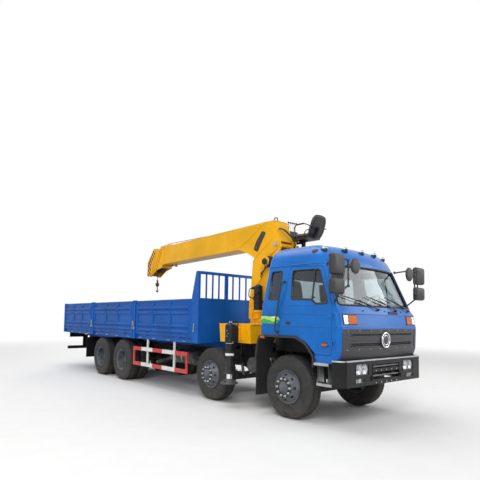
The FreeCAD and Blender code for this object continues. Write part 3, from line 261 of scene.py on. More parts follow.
finishes = {
    "cab": paintFinish("cabBlueEnamel", "cab_blue", (0.0005, 0.135, 0.5), 0.26, 0.05, 0.5, 0.006, 0.12),
    "bed": paintFinish("bedBlueEnamel", "bed_blue", (0.0005, 0.098, 0.42), 0.4, 0.05, 0.8, 0.004, 0.0),
    "crane": paintFinish("craneYellowEnamel", "crane_yellow", (0.92, 0.46, 0.0005), 0.32, 0.04, 0.7, 0.006, 0.08),
    "charcoal": paintFinish("legCharcoalPaint", "chassis_black", (0.012, 0.013, 0.015), 0.42, 0.2, 0.6, 0.005, 0.05),
    "chassis": paintFinish("chassisBlackPaint", "chassis_black", (0.009, 0.009, 0.01), 0.5, 0.22, 0.6, 0.004, 0.0),
    "bumper": paintFinish("bumperBlackPaint", "bumper_black", (0.003, 0.003, 0.0035), 0.34, 0.04, 0.4, 0.008, 0.05),
    "white": paintFinish("whiteBandPaint", "guard_red", (0.8, 0.8, 0.78), 0.36, 0.3, 0.5, 0.003, 0.2),
    "grille": plainFinish("grilleDarkMoulding", "grille_black", (0.032, 0.032, 0.036), 0.46, 420.0, rounded=0.008),
    "plastic": plainFinish("blackGrainedPlastic", "black_plastic", (0.02, 0.02, 0.022), 0.52, 520.0),
    "rubber": plainFinish("blackSealRubber", "black_plastic", (0.012, 0.012, 0.012), 0.66, 260.0),
    "trim": plainFinish("greyCabTrim", "grey_trim", (0.15, 0.155, 0.165), 0.6, 480.0),
    "steel": plainFinish("galvanisedSteel", "rope_steel", (0.46, 0.47, 0.48), 0.38, 90.0, 1.0, depth=0.1),
    "cast": plainFinish("greyCasting", "cast_steel", (0.1, 0.1, 0.105), 0.55, 180.0, 0.4, depth=0.5),
    "chrome": plainFinish("polishedChrome", "chromed_rod", (0.8, 0.81, 0.83), 0.09, 60.0, 1.0, depth=0.02, tint=0.03),
    "nut": plainFinish("brightWheelNut", "wheel_grey", (0.55, 0.56, 0.57), 0.4, 120.0, 0.9, depth=0.1),
    "hookRed": paintFinish("wornRedEnamel", "hook_red", (0.14, 0.012, 0.01), 0.4, 0.3, 0.9, 0.003, 0.2),
    "cover": paintFinish("slotCoverGrey", "chassis_black", (0.06, 0.046, 0.036), 0.5, 0.3, 0.6, 0.003, 0.0),
    "tank": paintFinish("tankGreyPaint", "tank_grey", (0.03, 0.032, 0.036), 0.4, 0.55, 0.5, 0.006, 0.1),
}


def glassFinish(name, slotName, tint, rough, ribs=0.0):
    # clear pane or lens; ribs gives a moulded lens its flutes
    made = Finish(name, slotName, Transmission_Weight=1.0, IOR=1.45)
    film = made.noise(2.2, 4.0, 0.6).spread(0.35, 0.8)
    made.set(Base_Color=made.blend(film * 0.25, tint, tuple(c * 0.8 for c in tint)), Roughness=rough + film * 0.05)
    if ribs:
        flutes = (made.axis(1) * ribs).wave() + (made.axis(2) * ribs * 0.5).wave() * 0.5
        made.bump(flutes, 0.5, 0.002)
    else:
        made.bump(made.noise(1.2, 0.0), 0.012, 0.001)
    return made


def stripeFinish():
    # red guard rails with white bands at fixed stations
    made = paintFinish("redWhiteBandPaint", "guard_red", (0.62, 0.016, 0.014), 0.34, 0.25, 0.5, 0.003, 0.3)
    along, up, hangers = made.axis(0), made.axis(2), 0.93
    first, second = [(along > ahead(low)) * (along < ahead(high)) for low, high in ((-3.86, -3.32), (-4.84, -4.3))]
    bands = (first + second) * (up < hangers)
    white = made.blend(made.noise(6.0, 5.0).spread(0.4, 0.8), (0.82, 0.82, 0.8), (0.62, 0.6, 0.56))
    front = made.blend(up > hangers, made.blend(bands, made.colour(), white), white)
    # the rear bar and flaps are black
    made.set(Base_Color=made.blend(along < ahead(-8.0), front, (0.01, 0.01, 0.011)))
    return made


def hazardFinish():
    # slanted black bands on yellow at the boom's nose
    made = paintFinish("hazardBandPaint", "crane_yellow", (0.92, 0.42, 0.0005), 0.32, 0.04, 0.6, 0.004, 0.08)
    slant = ((made.axis(2) + made.axis(1) * 0.9 + made.axis(0) * 1.2) * 7.0).part()
    made.set(Base_Color=made.blend(slant > 0.55, made.colour(), (0.012, 0.012, 0.012)))
    return made


def tyreFinish():
    # rubber: dusty tread, rings moulded in the wall, fine pitting
    made = Finish("treadRubber", "tyre_rubber")
    cloud = made.noise(9.0, 6.0, 0.7)
    dusty = made.blend(cloud.spread(0.35, 0.75) * 0.5, (0.017, 0.017, 0.018), (0.075, 0.066, 0.056))
    low = made.axis(2).spread(0.0, 0.5, 0.45, 0.0)
    made.set(Base_Color=made.blend(low * made.noise(14.0, 5.0).spread(0.3, 0.7), dusty, (0.12, 0.105, 0.088)),
             Roughness=0.74 + (cloud - 0.5) * 0.3)
    made.bump(made.noise(240.0, 3.0, 0.7), 0.35, 0.0015)
    return made


def vinylFinish():
    # padded vinyl: fine pores, broad creases and rubbed high spots
    made = Finish("seatVinyl", "seat_black", Sheen_Weight=0.15, Sheen_Roughness=0.4)
    cloud = made.noise(7.0, 5.0, 0.6)
    made.set(Base_Color=made.blend(cloud.spread(0.35, 0.7), (0.014, 0.014, 0.015), (0.042, 0.041, 0.042)),
             Roughness=0.42 + cloud * 0.22)
    pores = made.node("ShaderNodeTexVoronoi", None, {"Vector": made.where, "Scale": 420.0})
    made.bump(pores * 0.5 + made.noise(14.0, 4.0) * 1.5, 0.35, 0.0012)
    return made


def ropeFinish():
    # greased wire strands wound round the line
    made = Finish("greasedWireRope", "rope_steel", Metallic=0.85)
    lay = ((made.axis(2) * 420.0 + made.axis(1) * 300.0) + made.axis(0) * 300.0).wave()
    made.set(Base_Color=made.blend(lay.spread(-0.6, 0.8), (0.05, 0.048, 0.045), (0.3, 0.29, 0.27)),
             Roughness=0.5 + lay * 0.1)
    made.bump(lay, 0.6, 0.003)
    return made


def leafFinish():
    # made-up green swoosh on a lime ground, like a sticker of grass
    made = Finish("greenSwooshDecal", "cab_blue", Coat_Weight=0.3)
    along, up = made.axis(0), made.axis(2)
    hill = (along * 16.0).wave() * 0.022 + (along * 41.0 + 1.0).wave() * 0.007
    grass = (up - 1.645 - hill) < 0.0
    base = made.blend(grass, (0.42, 0.72, 0.1), (0.03, 0.36, 0.07))
    base = made.blend(((up - 1.7 - hill * 0.8) > 0.0), base, (0.78, 0.86, 0.35))
    made.set(Base_Color=made.blend(made.noise(30.0, 4.0).spread(0.45, 0.8) * 0.3, base, (0.3, 0.4, 0.25)),
             Roughness=0.35)
    return made


finishes.update({"glass": glassFinish("tintedPane", "tinted_glass", (0.5, 0.58, 0.6), 0.02),
                 "lens": glassFinish("flutedLens", "lamp_lens", (0.93, 0.94, 0.95), 0.08, 260.0),
                 "guard": stripeFinish(), "hazard": hazardFinish(), "tyre": tyreFinish(), "vinyl": vinylFinish(),
                 "rope": ropeFinish(), "decal": leafFinish(), "amber": plainFinish("amberLens", "lamp_lens",
        (0.5, 0.095, 0.001), 0.5, 200.0, depth=0.4), "redLens": plainFinish("redLens", "lamp_lens",
        (0.45, 0.012, 0.01), 0.16, 200.0, depth=0.5, coat=0.6), "mirrorFace": plainFinish("silveredMirror",
        "chromed_rod", (0.86, 0.87, 0.88), 0.03, 40.0, 1.0, depth=0.0, tint=0.01),
                 "wheel": paintFinish("wheelGreyPaint", "wheel_grey", (0.05, 0.066, 0.095), 0.4, 0.45, 0.7, 0.004,
                                      0.1),})
print("finishes made:", len(finishes))


# floor and surroundings
setting = {"floorSize": 60.0, "floorTone": 0.8, "worldLevel": 0.36, "fadeStart": 8.5, "fadeEnd": 24.0}


def makeFloor():
    made = Finish("paleFloor", "tyre_rubber")
    distance = made.node("ShaderNodeVectorMath", {"operation": "LENGTH"}, {0: made.where}, output=1)
    grain = made.noise(3.0, 5.0).spread(0.2, 0.8)
    tone = setting["floorTone"]
    made.set(Base_Color=made.blend(grain, (tone, tone, tone), (tone * 1.03, tone * 1.03, tone * 1.02)), Roughness=0.8)
    glow = made.node("ShaderNodeEmission", inputs={"Color": (1, 1, 1), "Strength": 1.0})
    seen = made.node("ShaderNodeLightPath", output="Is Camera Ray")
    far = distance.spread(setting["fadeStart"], setting["fadeEnd"]) * seen
    mixed = made.node("ShaderNodeMixShader", inputs={0: far, 1: Sock(made, made.shader.outputs[0]), 2: glow})
    end = [n for n in made.tree.nodes if n.type == "OUTPUT_MATERIAL"][0]
    made.tree.links.new(mixed.out, end.inputs[0])
    bm = bmesh.new()
    bmesh.ops.create_circle(bm, cap_ends=True, segments=64, radius=setting["floorSize"])
    mesh = bpy.data.meshes.new("floor")
    bm.to_mesh(mesh)
    bm.free()
    mesh.materials.append(made.material)
    newObject("floor", mesh)


def makeWorld():
    world = bpy.data.worlds.new("studio")
    bpy.context.scene.world = world
    world.use_nodes = True
    tree = world.node_tree
    tree.nodes.clear()
    end, mix = tree.nodes.new("ShaderNodeOutputWorld"), tree.nodes.new("ShaderNodeMixShader")
    light, white = tree.nodes.new("ShaderNodeBackground"), tree.nodes.new("ShaderNodeBackground")
    light.inputs["Strength"].default_value = setting["worldLevel"]
    light.inputs["Color"].default_value = (1, 1, 1, 1)
    white.inputs["Color"].default_value = (1, 1, 1, 1)
    path = tree.nodes.new("ShaderNodeLightPath")
    shown = path.outputs["Is Camera Ray"]
    for name in ("Is Glossy Ray", "Is Transmission Ray"):
        either = tree.nodes.new("ShaderNodeMath")
        either.operation = "MAXIMUM"
        tree.links.new(shown, either.inputs[0])
        tree.links.new(path.outputs[name], either.inputs[1])
        shown = either.outputs[0]
    tree.links.new(shown, mix.inputs[0])
    tree.links.new(light.outputs[0], mix.inputs[1])
    tree.links.new(white.outputs[0], mix.inputs[2])
    tree.links.new(mix.outputs[0], end.inputs[0])


makeFloor()
makeWorld()
bpy.context.scene.view_settings.view_transform = "Standard"
print("stage set")


# mesh helpers
def addBox(bm, x, y, z, side=1):
    # box between pairs of limits; side -1 mirrors it to the right
    corners = [bm.verts.new((px, py * side, pz)) for px in x for py in y for pz in z]
    for order in ((0, 1, 3, 2), (4, 6, 7, 5), (0, 4, 5, 1), (2, 3, 7, 6), (0, 2, 6, 4), (1, 5, 7, 3)):
        bm.faces.new([corners[i] for i in order])


def addBlock(bm, stations, y, z, side=1):
    # box whose length runs between two stations
    addBox(bm, [ahead(station) for station in stations], y, z, side)


def skin(bm, rings, caps=True):
    # closes a row of rings of equal count into a tube, with both ends when caps is set
    for low, high in zip(rings, rings[1:]):
        for i in range(len(low)):
            bm.faces.new((low[i - 1], low[i], high[i], high[i - 1]))
    if caps:
        bm.faces.new(rings[0][::-1])
        bm.faces.new(rings[-1])


def addBar(bm, start, end, wide, high, up=axisZ):
    # square bar between two points
    start, end = Vector(start), Vector(end)
    along = (end - start).normalized()
    across = along.cross(up).normalized()
    over = across.cross(along)
    skin(bm, [[bm.verts.new(spot + across * s * wide / 2 + over * t * high / 2)
               for s, t in ((-1, -1), (1, -1), (1, 1), (-1, 1))] for spot in (start, end)])


def addStrip(bm, path, wide, high):
    # flat strip laid along a path
    for start, end in zip(path, path[1:]):
        addBar(bm, start, end, wide, high)


def addLathe(bm, profile, steps, turn, closed=True):
    # turned shape: profile of (axial, radius) about the local Z axis
    rings = []
    for axial, radius in profile:
        if radius < 1e-5:
            rings.append([bm.verts.new(turn @ Vector((0, 0, axial)))])
            continue
        rings.append([bm.verts.new(turn @ Vector((radius * math.cos(math.tau * i / steps),
                                                  radius * math.sin(math.tau * i / steps), axial)))
                      for i in range(steps)])
    pairs = list(zip(rings, rings[1:] + rings[:1])) if closed else list(zip(rings, rings[1:]))
    for low, high in pairs:
        if len(low) == 1 and len(high) == 1:
            continue
        for i in range(steps):
            j = (i + 1) % steps
            corners = [low[0 if len(low) == 1 else i], low[0 if len(low) == 1 else j],
                       high[0 if len(high) == 1 else j], high[0 if len(high) == 1 else i]]
            kept = [c for k, c in enumerate(corners) if c != corners[k - 1]]
            if len(set(kept)) > 2:
                bm.faces.new(kept)


def addRod(bm, start, end, radius, steps=16, endRadius=None):
    start, end = Vector(start), Vector(end)
    turn = Matrix.Translation(start) @ (end - start).to_track_quat("Z", "Y").to_matrix().to_4x4()
    length = (end - start).length
    tip = radius if endRadius is None else endRadius
    addLathe(bm, [(0, 0), (0, radius), (length, tip), (length, 0)], steps, turn)


def addTube(bm, points, radius, sides=10, closed=False):
    # round bar swept along points
    points = [Vector(p) for p in points]
    count = len(points)
    rings, across = [], None
    for i, spot in enumerate(points):
        before = points[i - 1] if i or closed else spot
        after = points[(i + 1) % count] if i < count - 1 or closed else spot
        along = (after - before).normalized()
        if across is None:
            across = along.orthogonal().normalized()
        across = (across - along * across.dot(along)).normalized()
        over = along.cross(across)
        rings.append([bm.verts.new(spot + (across * math.cos(math.tau * k / sides)
                                           + over * math.sin(math.tau * k / sides)) * radius) for k in range(sides)])
    last = count if closed else count - 1
    for i in range(last):
        low, high = rings[i], rings[(i + 1) % count]
        shift = 0
        if closed and i == count - 1:
            shift = min(range(sides), key=lambda s: (low[0].co - high[s].co).length)
        for k in range(sides):
            bm.faces.new((low[k], low[(k + 1) % sides], high[(k + 1 + shift) % sides], high[(k + shift) % sides]))
    if not closed:
        bm.faces.new(rings[0][::-1])
        bm.faces.new(rings[-1])


def bent(points, radius, closed=False, steps=5):
    # points with their corners turned into arcs, for formed tube and pressed outlines
    points = [Vector(p) for p in points]
    count, made = len(points), []
    for i, corner in enumerate(points):
        if not closed and i in (0, count - 1):
            made.append(corner)
            continue
        before, after = points[i - 1], points[(i + 1) % count]
        reach = min(radius, (before - corner).length * 0.45, (after - corner).length * 0.45)
        start, end = corner + (before - corner).normalized() * reach, corner + (after - corner).normalized() * reach
        for k in range(steps + 1):
            t = k / steps
            made.append(start * (1 - t) ** 2 + corner * 2 * t * (1 - t) + end * t * t)
    return made


def addPlate(bm, outline, low, high, place):
    # flat plate: outline of (u, v) between two depths, put in space by place(u, v, depth)
    skin(bm, [[bm.verts.new(place(u, v, depth)) for u, v in outline] for depth in (low, high)])


def upright(side=1):
    # for plates standing lengthwise: outline of (x, z), depth to the side
    return lambda u, v, d: Vector((u, side * d, v))


def crosswise(side=1):
    # for plates standing across: outline of (y, z), depth along x
    return lambda u, v, d: Vector((d, side * u, v))


def oblong(u, v):
    return [(u[0], v[0]), (u[1], v[0]), (u[1], v[1]), (u[0], v[1])]


def makePiece(name, body, finish, shape, replaces=(), bevel=0.0, segments=2, angle=32, subdivide=0):
    # turns a bmesh or a mesh into a finished piece that rides on a body
    if isinstance(shape, bmesh.types.BMesh):
        mesh = asMesh(name, shape)
    else:
        mesh = shape
        mesh.name = name
    mesh.materials.clear()
    mesh.materials.append(finishes[finish].material)
    mesh.shade_smooth()
    mesh.set_sharp_from_angle(angle=math.radians(angle))
    piece = newObject(name, mesh)
    if bevel:
        edges = piece.modifiers.new("edges", "BEVEL")
        edges.width, edges.segments, edges.limit_method = bevel, segments, "ANGLE"
        edges.angle_limit = math.radians(35)
        edges.harden_normals = True
    if subdivide:
        fine = piece.modifiers.new("fine", "SUBSURF")
        fine.levels = fine.render_levels = subdivide
    if body:
        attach(piece, body)
    if replaces:
        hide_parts(*replaces)
    return piece


def repeatTree(name, turning):
    # geometry nodes: copies of the object's own mesh, turned about Z or stepped along a vector
    tree = bpy.data.node_groups.new(name, "GeometryNodeTree")
    for socket, way, kind in (("Geometry", "INPUT", "Geometry"), ("Count", "INPUT", "Int"), ("Step", "INPUT", "Vector"),
                              ("Finish", "INPUT", "Material"), ("Geometry", "OUTPUT", "Geometry")):
        tree.interface.new_socket(name=socket, in_out=way, socket_type="NodeSocket" + kind)
    start, end = tree.nodes.new("NodeGroupInput"), tree.nodes.new("NodeGroupOutput")
    line = tree.nodes.new("GeometryNodeMeshLine")
    line.mode = "OFFSET"
    copies = tree.nodes.new("GeometryNodeInstanceOnPoints")
    real = tree.nodes.new("GeometryNodeRealizeInstances")
    coat = tree.nodes.new("GeometryNodeSetMaterial")
    link = tree.links.new
    link(start.outputs["Count"], line.inputs["Count"])
    if turning:
        order = tree.nodes.new("GeometryNodeInputIndex")
        scale = tree.nodes.new("ShaderNodeVectorMath")
        scale.operation = "SCALE"
        line.inputs["Offset"].default_value = (0, 0, 0)
        link(start.outputs["Step"], scale.inputs[0])
        link(order.outputs[0], scale.inputs["Scale"])
        link(scale.outputs[0], copies.inputs["Rotation"])
    else:
        link(start.outputs["Step"], line.inputs["Offset"])
    link(line.outputs[0], copies.inputs["Points"])
    link(start.outputs["Geometry"], copies.inputs["Instance"])
    link(copies.outputs[0], real.inputs[0])
    link(real.outputs[0], coat.inputs["Geometry"])
    link(start.outputs["Finish"], coat.inputs["Material"])
    link(coat.outputs[0], end.inputs[0])
    return tree


repeatTrees = {"around": repeatTree("repeatAround", True), "along": repeatTree("repeatAlong", False)}


def repeated(kind, shape, count, step, finish, place=None):
    # runs one of the repeat trees on a bmesh and gives back a plain mesh
    holder = newObject("element", asMesh("element", shape))
    modifier = holder.modifiers.new("repeat", "NODES")
    modifier.node_group = repeatTrees[kind]
    given = {"Count": count, "Step": step, "Finish": finishes[finish].material}
    for item in repeatTrees[kind].interface.items_tree:
        if item.in_out == "INPUT" and item.name in given:
            modifier[item.identifier] = given[item.name]
    holder.update_tag()
    made = meshOf(holder)
    bpy.data.objects.remove(holder)
    if place is not None:
        made.transform(place)
    return made


def addMesh(bm, mesh):
    # takes a plain mesh's faces into a bmesh
    bm.from_mesh(mesh)
    bpy.data.meshes.remove(mesh)


def dress(node, finish):
    # gives a carried-over node its finish
    nodes[node].data.materials.clear()
    nodes[node].data.materials.append(finishes[finish].material)


# carried-over nodes
cadFinishes = {
    "frame": "chassis", "axles": "chassis", "cab_shell": "cab", "cab_glass": "glass", "cab_interior": "trim",
    "grille": "grille", "bumper": "bumper", "lamps": "lens", "mirrors": "plastic", "fenders_steps": "plastic",
    "tanks": "tank", "guards": "guard", "bed_floor": "bed", "headboard": "bed", "tailgate": "bed",
    "crane_base": "crane", "column": "crane", "operator_seat": "vinyl", "boom_base": "crane",
    "boom_middle": "crane", "boom_tip": "crane", "hoist_rope": "rope", "head_sheave": "cast", "hook": "hookRed",
    "lift_barrel": "crane", "lift_rod": "chrome",
}
for node in nodes:
    start = node.split("_")[0]
    byKind = {"door": "cab", "drop": "bed", "outrigger": "crane", "jack": "chrome", "knuckle": "cast", "rim": "wheel",
              "tyre": "tyre"}
    finish = cadFinishes.get(node) or ("glass" if node.startswith("door_glass") else byKind[start])
    dress(node, finish)
print("nodes dressed")


# wheels
tyre = {"axis": 0.528, "steps": 96, "lugs": 58, "shoulder": 0.505, "treadProud": 0.0042, "wallProud": 0.003,
        "middles": {"front": [0.96], "rear": [1.08, 0.76]}}
rimHoles = {"count": 8, "front": (0.2025, 1.16), "rear": (0.2085, 0.93)}
wheelNuts = {"count": 10, "circle": 0.1429, "frontPlane": 1.19, "rearPlane": 0.957}


def wheelTurn(station, side):
    # local Z is the wheel's axis, pointing outwards
    return Matrix(((1, 0, 0, station), (0, 0, side, 0), (0, -side, 0, tyre["axis"]), (0, 0, 0, 1)))


def tyreSection(middle):
    # half section from the bead over the tread, mirrored to the other wall
    half = [(0.098, 0.2525), (0.11, 0.262), (0.1215, 0.285), (0.13, 0.312), (0.1325, 0.33), (0.1345, 0.334),
            (0.135, 0.345), (0.1375, 0.38), (0.1382, 0.408), (0.136, 0.44), (0.1352, 0.455), (0.1335, 0.459),
            (0.13, 0.476), (0.1225, 0.498), (0.112, 0.513), (0.102, 0.52), (0.079, 0.5242), (0.078, 0.512),
            (0.069, 0.512), (0.068, 0.5262), (0.034, 0.5274), (0.033, 0.514), (0.025, 0.514), (0.024, 0.5278)]
    return [(middle + w, r) for w, r in half] + [(middle - w, r) for w, r in reversed(half)]


def makeTyre(label, tag, station, side, middles):
    turn = wheelTurn(station, side)
    shape = bmesh.new()
    for middle in middles:
        addLathe(shape, tyreSection(middle), tyre["steps"], turn)
        for shoulder in (-1, 1):
            lug = bmesh.new()
            face = [(0.082, 0.5235), (0.1035, 0.5222), (0.1165, 0.511), (0.1215, 0.497), (0.119, 0.494), (0.1, 0.512)]
            skin(lug, [[lug.verts.new((r, t, middle + shoulder * w)) for w, r in face] for t in (-0.0165, 0.0165)])
            for corner in lug.verts:
                corner.co.x += tyre["treadProud"] if corner.co.x > tyre["shoulder"] else tyre["wallProud"]
            addMesh(shape, repeated("around", lug, tyre["lugs"], (0, 0, math.tau / tyre["lugs"]), "tyre", turn))
    makePiece("tyre" + tag, "wheel_" + label, "tyre", shape, ["tyre_" + label], angle=38)


rimSections = {"front": [(1.232, 0), (1.232, 0.03), (1.226, 0.062), (1.214, 0.078), (1.196, 0.084), (1.1905, 0.096),
                         (1.1905, 0.168), (1.182, 0.178), (1.15, 0.196), (1.112, 0.222), (1.088, 0.238),
                         (1.078, 0.2435), (1.086, 0.2455), (1.092, 0.262), (1.099, 0.276), (1.097, 0.2825),
                         (1.09, 0.2825), (1.083, 0.264), (1.07, 0.2515), (0.85, 0.2515), (0.838, 0.264),
                         (0.83, 0.2825), (0.823, 0.2825), (0.821, 0.276), (0.829, 0.259), (0.846, 0.2435),
                         (1.02, 0.24), (1.1, 0.214), (1.168, 0.166), (1.172, 0.15), (0.99, 0.205), (0.93, 0.205),
                         (0.921, 0.19), (0.921, 0)], "rear": [(1.112, 0), (1.112, 0.046), (1.104, 0.068),
                                                              (1.086, 0.082), (1.02, 0.092), (0.962, 0.098),
                                                              (0.957, 0.104), (0.957, 0.184), (0.966, 0.196),
                                                              (0.992, 0.226), (1.02, 0.238), (1.15, 0.24),
                                                              (1.19, 0.244), (1.206, 0.247), (1.212, 0.262),
                                                              (1.219, 0.276), (1.217, 0.2825), (1.21, 0.2825),
                                                              (1.203, 0.264), (1.19, 0.2515), (0.97, 0.2515),
                                                              (0.95, 0.258), (0.92, 0.262), (0.89, 0.258),
                                                              (0.87, 0.2515), (0.65, 0.2515), (0.638, 0.264),
                                                              (0.63, 0.2825), (0.623, 0.2825), (0.621, 0.276),
                                                              (0.629, 0.259), (0.646, 0.2435), (0.86, 0.24),
                                                              (0.905, 0.19), (0.905, 0.15), (0.64, 0.205),
                                                              (0.626, 0.19), (0.626, 0)],}


def makeRim(label, tag, station, side, kind):
    # disc wheel with hand holes, and its hub, nuts and studs
    turn = wheelTurn(station, side)
    shape = bmesh.new()
    addLathe(shape, rimSections[kind], 72, Matrix.Identity(4), closed=False)
    blank = newObject("rimBlank", asMesh("rimBlank", shape))
    hole = bmesh.new()
    out, deep = rimHoles[kind]
    addLathe(hole, oblong((-0.07, 0.05), (0, 0.019)), 14, moved(out, 0, deep) @ Matrix.Diagonal((0.8, 1.5, 1, 1)))
    around = (0, 0, math.tau / rimHoles["count"])
    cutter = newObject("rimCutter", repeated("around", hole, rimHoles["count"], around, "wheel"))
    holes = blank.modifiers.new("holes", "BOOLEAN")
    holes.operation, holes.object, holes.solver = "DIFFERENCE", cutter, "EXACT"
    made = meshOf(blank)
    for spare in (blank, cutter):
        bpy.data.objects.remove(spare)
    made.transform(turn)
    makePiece("rim" + tag, "wheel_" + label, "wheel", made, ["rim_" + label], angle=35)
    plane = wheelNuts[kind + "Plane"]
    nut = bmesh.new()
    place = moved(wheelNuts["circle"], 0, plane)
    addLathe(nut, [(0, 0), (0, 0.0215), (0.004, 0.0205), (0.005, 0)], 12, place)
    addLathe(nut, [(0.003, 0), (0.003, 0.0155), (0.02, 0.0155), (0.024, 0.0125), (0.024, 0)], 6, place)
    addLathe(nut, [(0.023, 0), (0.023, 0.0085), (0.035, 0.0085), (0.037, 0.006), (0.037, 0)], 8, place)
    nuts = repeated("around", nut, wheelNuts["count"], (0, 0, math.tau / wheelNuts["count"]), "nut", turn)
    makePiece("nuts" + tag, "wheel_" + label, "nut", nuts, angle=25)
    shape = bmesh.new()
    inner, outer = wheelNuts["circle"] - 0.04, wheelNuts["circle"] + 0.03
    addLathe(shape, [(plane - 0.003, inner), (plane + 0.0025, inner + 0.002), (plane + 0.0025, outer - 0.002),
                     (plane - 0.003, outer)], 64, turn)
    makePiece("nutRing" + tag, "wheel_" + label, "rubber", shape)


for sideName, side in sides.items():
    for number, offset in wheelHubs.items():
        kind = "front" if number in "12" else "rear"
        label, tag = number + "_" + sideName, number + sideName.title()
        makeTyre(label, tag, ahead(offset), side, tyre["middles"][kind])
        makeRim(label, tag, ahead(offset), side, kind)
print("wheels made")


# cab skin, worked out from the same rows as the source
# columns: height, rear wall, front at the corners, front in the middle, half width, corner radius
cabRows = [(0.99, -0.59, 1.05, 1.095, 1.16, 0.06), (1.18, -0.59, 1.11, 1.155, 1.178, 0.07),
           (1.53, -0.59, 1.125, 1.175, 1.18, 0.08), (1.76, -0.588, 1.085, 1.15, 1.178, 0.09),
           (1.87, -0.585, 1.01, 1.11, 1.168, 0.1), (2.6, -0.55, 0.73, 0.88, 1.025, 0.11),
           (2.76, -0.535, 0.64, 0.77, 0.97, 0.13), (2.88, -0.49, 0.5, 0.6, 0.87, 0.14),
           (2.945, -0.38, 0.28, 0.34, 0.66, 0.14)]
doorEdge = [(0, 2.56), (-0.06, 1.76), (-0.16, 1.39), (0.25, 1.39), (0.48, 1.29), (0.66, 1.12), (0.97, 1.12),
            (0.97, 1.85), (0.7, 2.52)]
doorWindow = [(0.055, 2.49), (0.11, 1.99), (0.56, 1.98), (0.64, 1.905), (0.89, 1.915), (0.64, 2.48)]
quarterWindow = [(-0.44, 2.5), (-0.43, 2.0), (-0.185, 2.0), (-0.17, 2.5)]
screenEdge = [(-1.06, 1.895), (1.06, 1.895), (0.93, 2.545), (-0.93, 2.545)]
rearWindow = [(-0.62, 2.0), (0.62, 2.0), (0.6, 2.42), (-0.6, 2.42)]


def cabRow(height):
    for low, high in zip(cabRows, cabRows[1:]):
        if height <= high[0]:
            share = max(0.0, (height - low[0]) / (high[0] - low[0]))
            return [a + (b - a) * share for a, b in zip(low, high)]
    return list(cabRows[-1])


def frontSkin(y, height, out=0.0):
    # point on the cab's front, moved outwards by out
    corner, middle, half, radius = cabRow(height)[2:]
    chord, rise = half - radius, middle - corner
    bow = (chord ** 2 + rise ** 2) / (2 * rise)
    if abs(y) <= chord:
        spot, normal = Vector((middle - bow + math.sqrt(bow ** 2 - y ** 2), y,
                               0)), Vector((math.sqrt(bow ** 2 - y ** 2), y, 0))
    else:
        aside = min(abs(y) - chord, radius)
        deep = math.sqrt(max(radius ** 2 - aside ** 2, 0))
        spot, normal = Vector((corner - radius + deep, y, 0)), Vector((deep, math.copysign(aside, y), 0))
    spot += normal.normalized() * out
    return at(spot.x, spot.y, height)


def sideSkin(station, height, side, out=0.0):
    # point on the cab's side at a station ahead of the first axle
    corner, middle, half, radius = cabRow(height)[2:]
    into = station - (corner - radius)
    width = half if into <= 0 else half - radius + math.sqrt(max(radius ** 2 - into ** 2, 0))
    return at(station, side * (width + out), height)


def dense(points, step, closed=False):
    made, count = [], len(points)
    for i in range(count if closed else count - 1):
        start, end = Vector(points[i]), Vector(points[(i + 1) % count])
        parts = max(1, int((end - start).length / step))
        made += [start.lerp(end, k / parts) for k in range(parts)]
    return made if closed else made + [Vector(points[-1])]


def rounded(edge, corner, step):
    # closed outline with rounded corners, in short steps
    return dense(bent(edge, corner, closed=True), step, closed=True)


def acrossFront(span, height, out, steps=8):
    # points on the cab's front between two distances from its middle
    return [frontSkin(span[0] + (span[1] - span[0]) * k / steps, height, out) for k in range(steps + 1)]


# window rubbers, drip rails and creases
cabTrim = {"rubber": 0.011, "screenRubber": 0.016, "crease": 0.0085, "drip": 0.01}


def makeSeal(name, body, edge, corner, radius, mapper):
    shape = bmesh.new()
    addTube(shape, [mapper(p.x, p.y) for p in rounded(edge, corner, 0.09)], radius, 8, closed=True)
    makePiece(name, body, "rubber", shape)


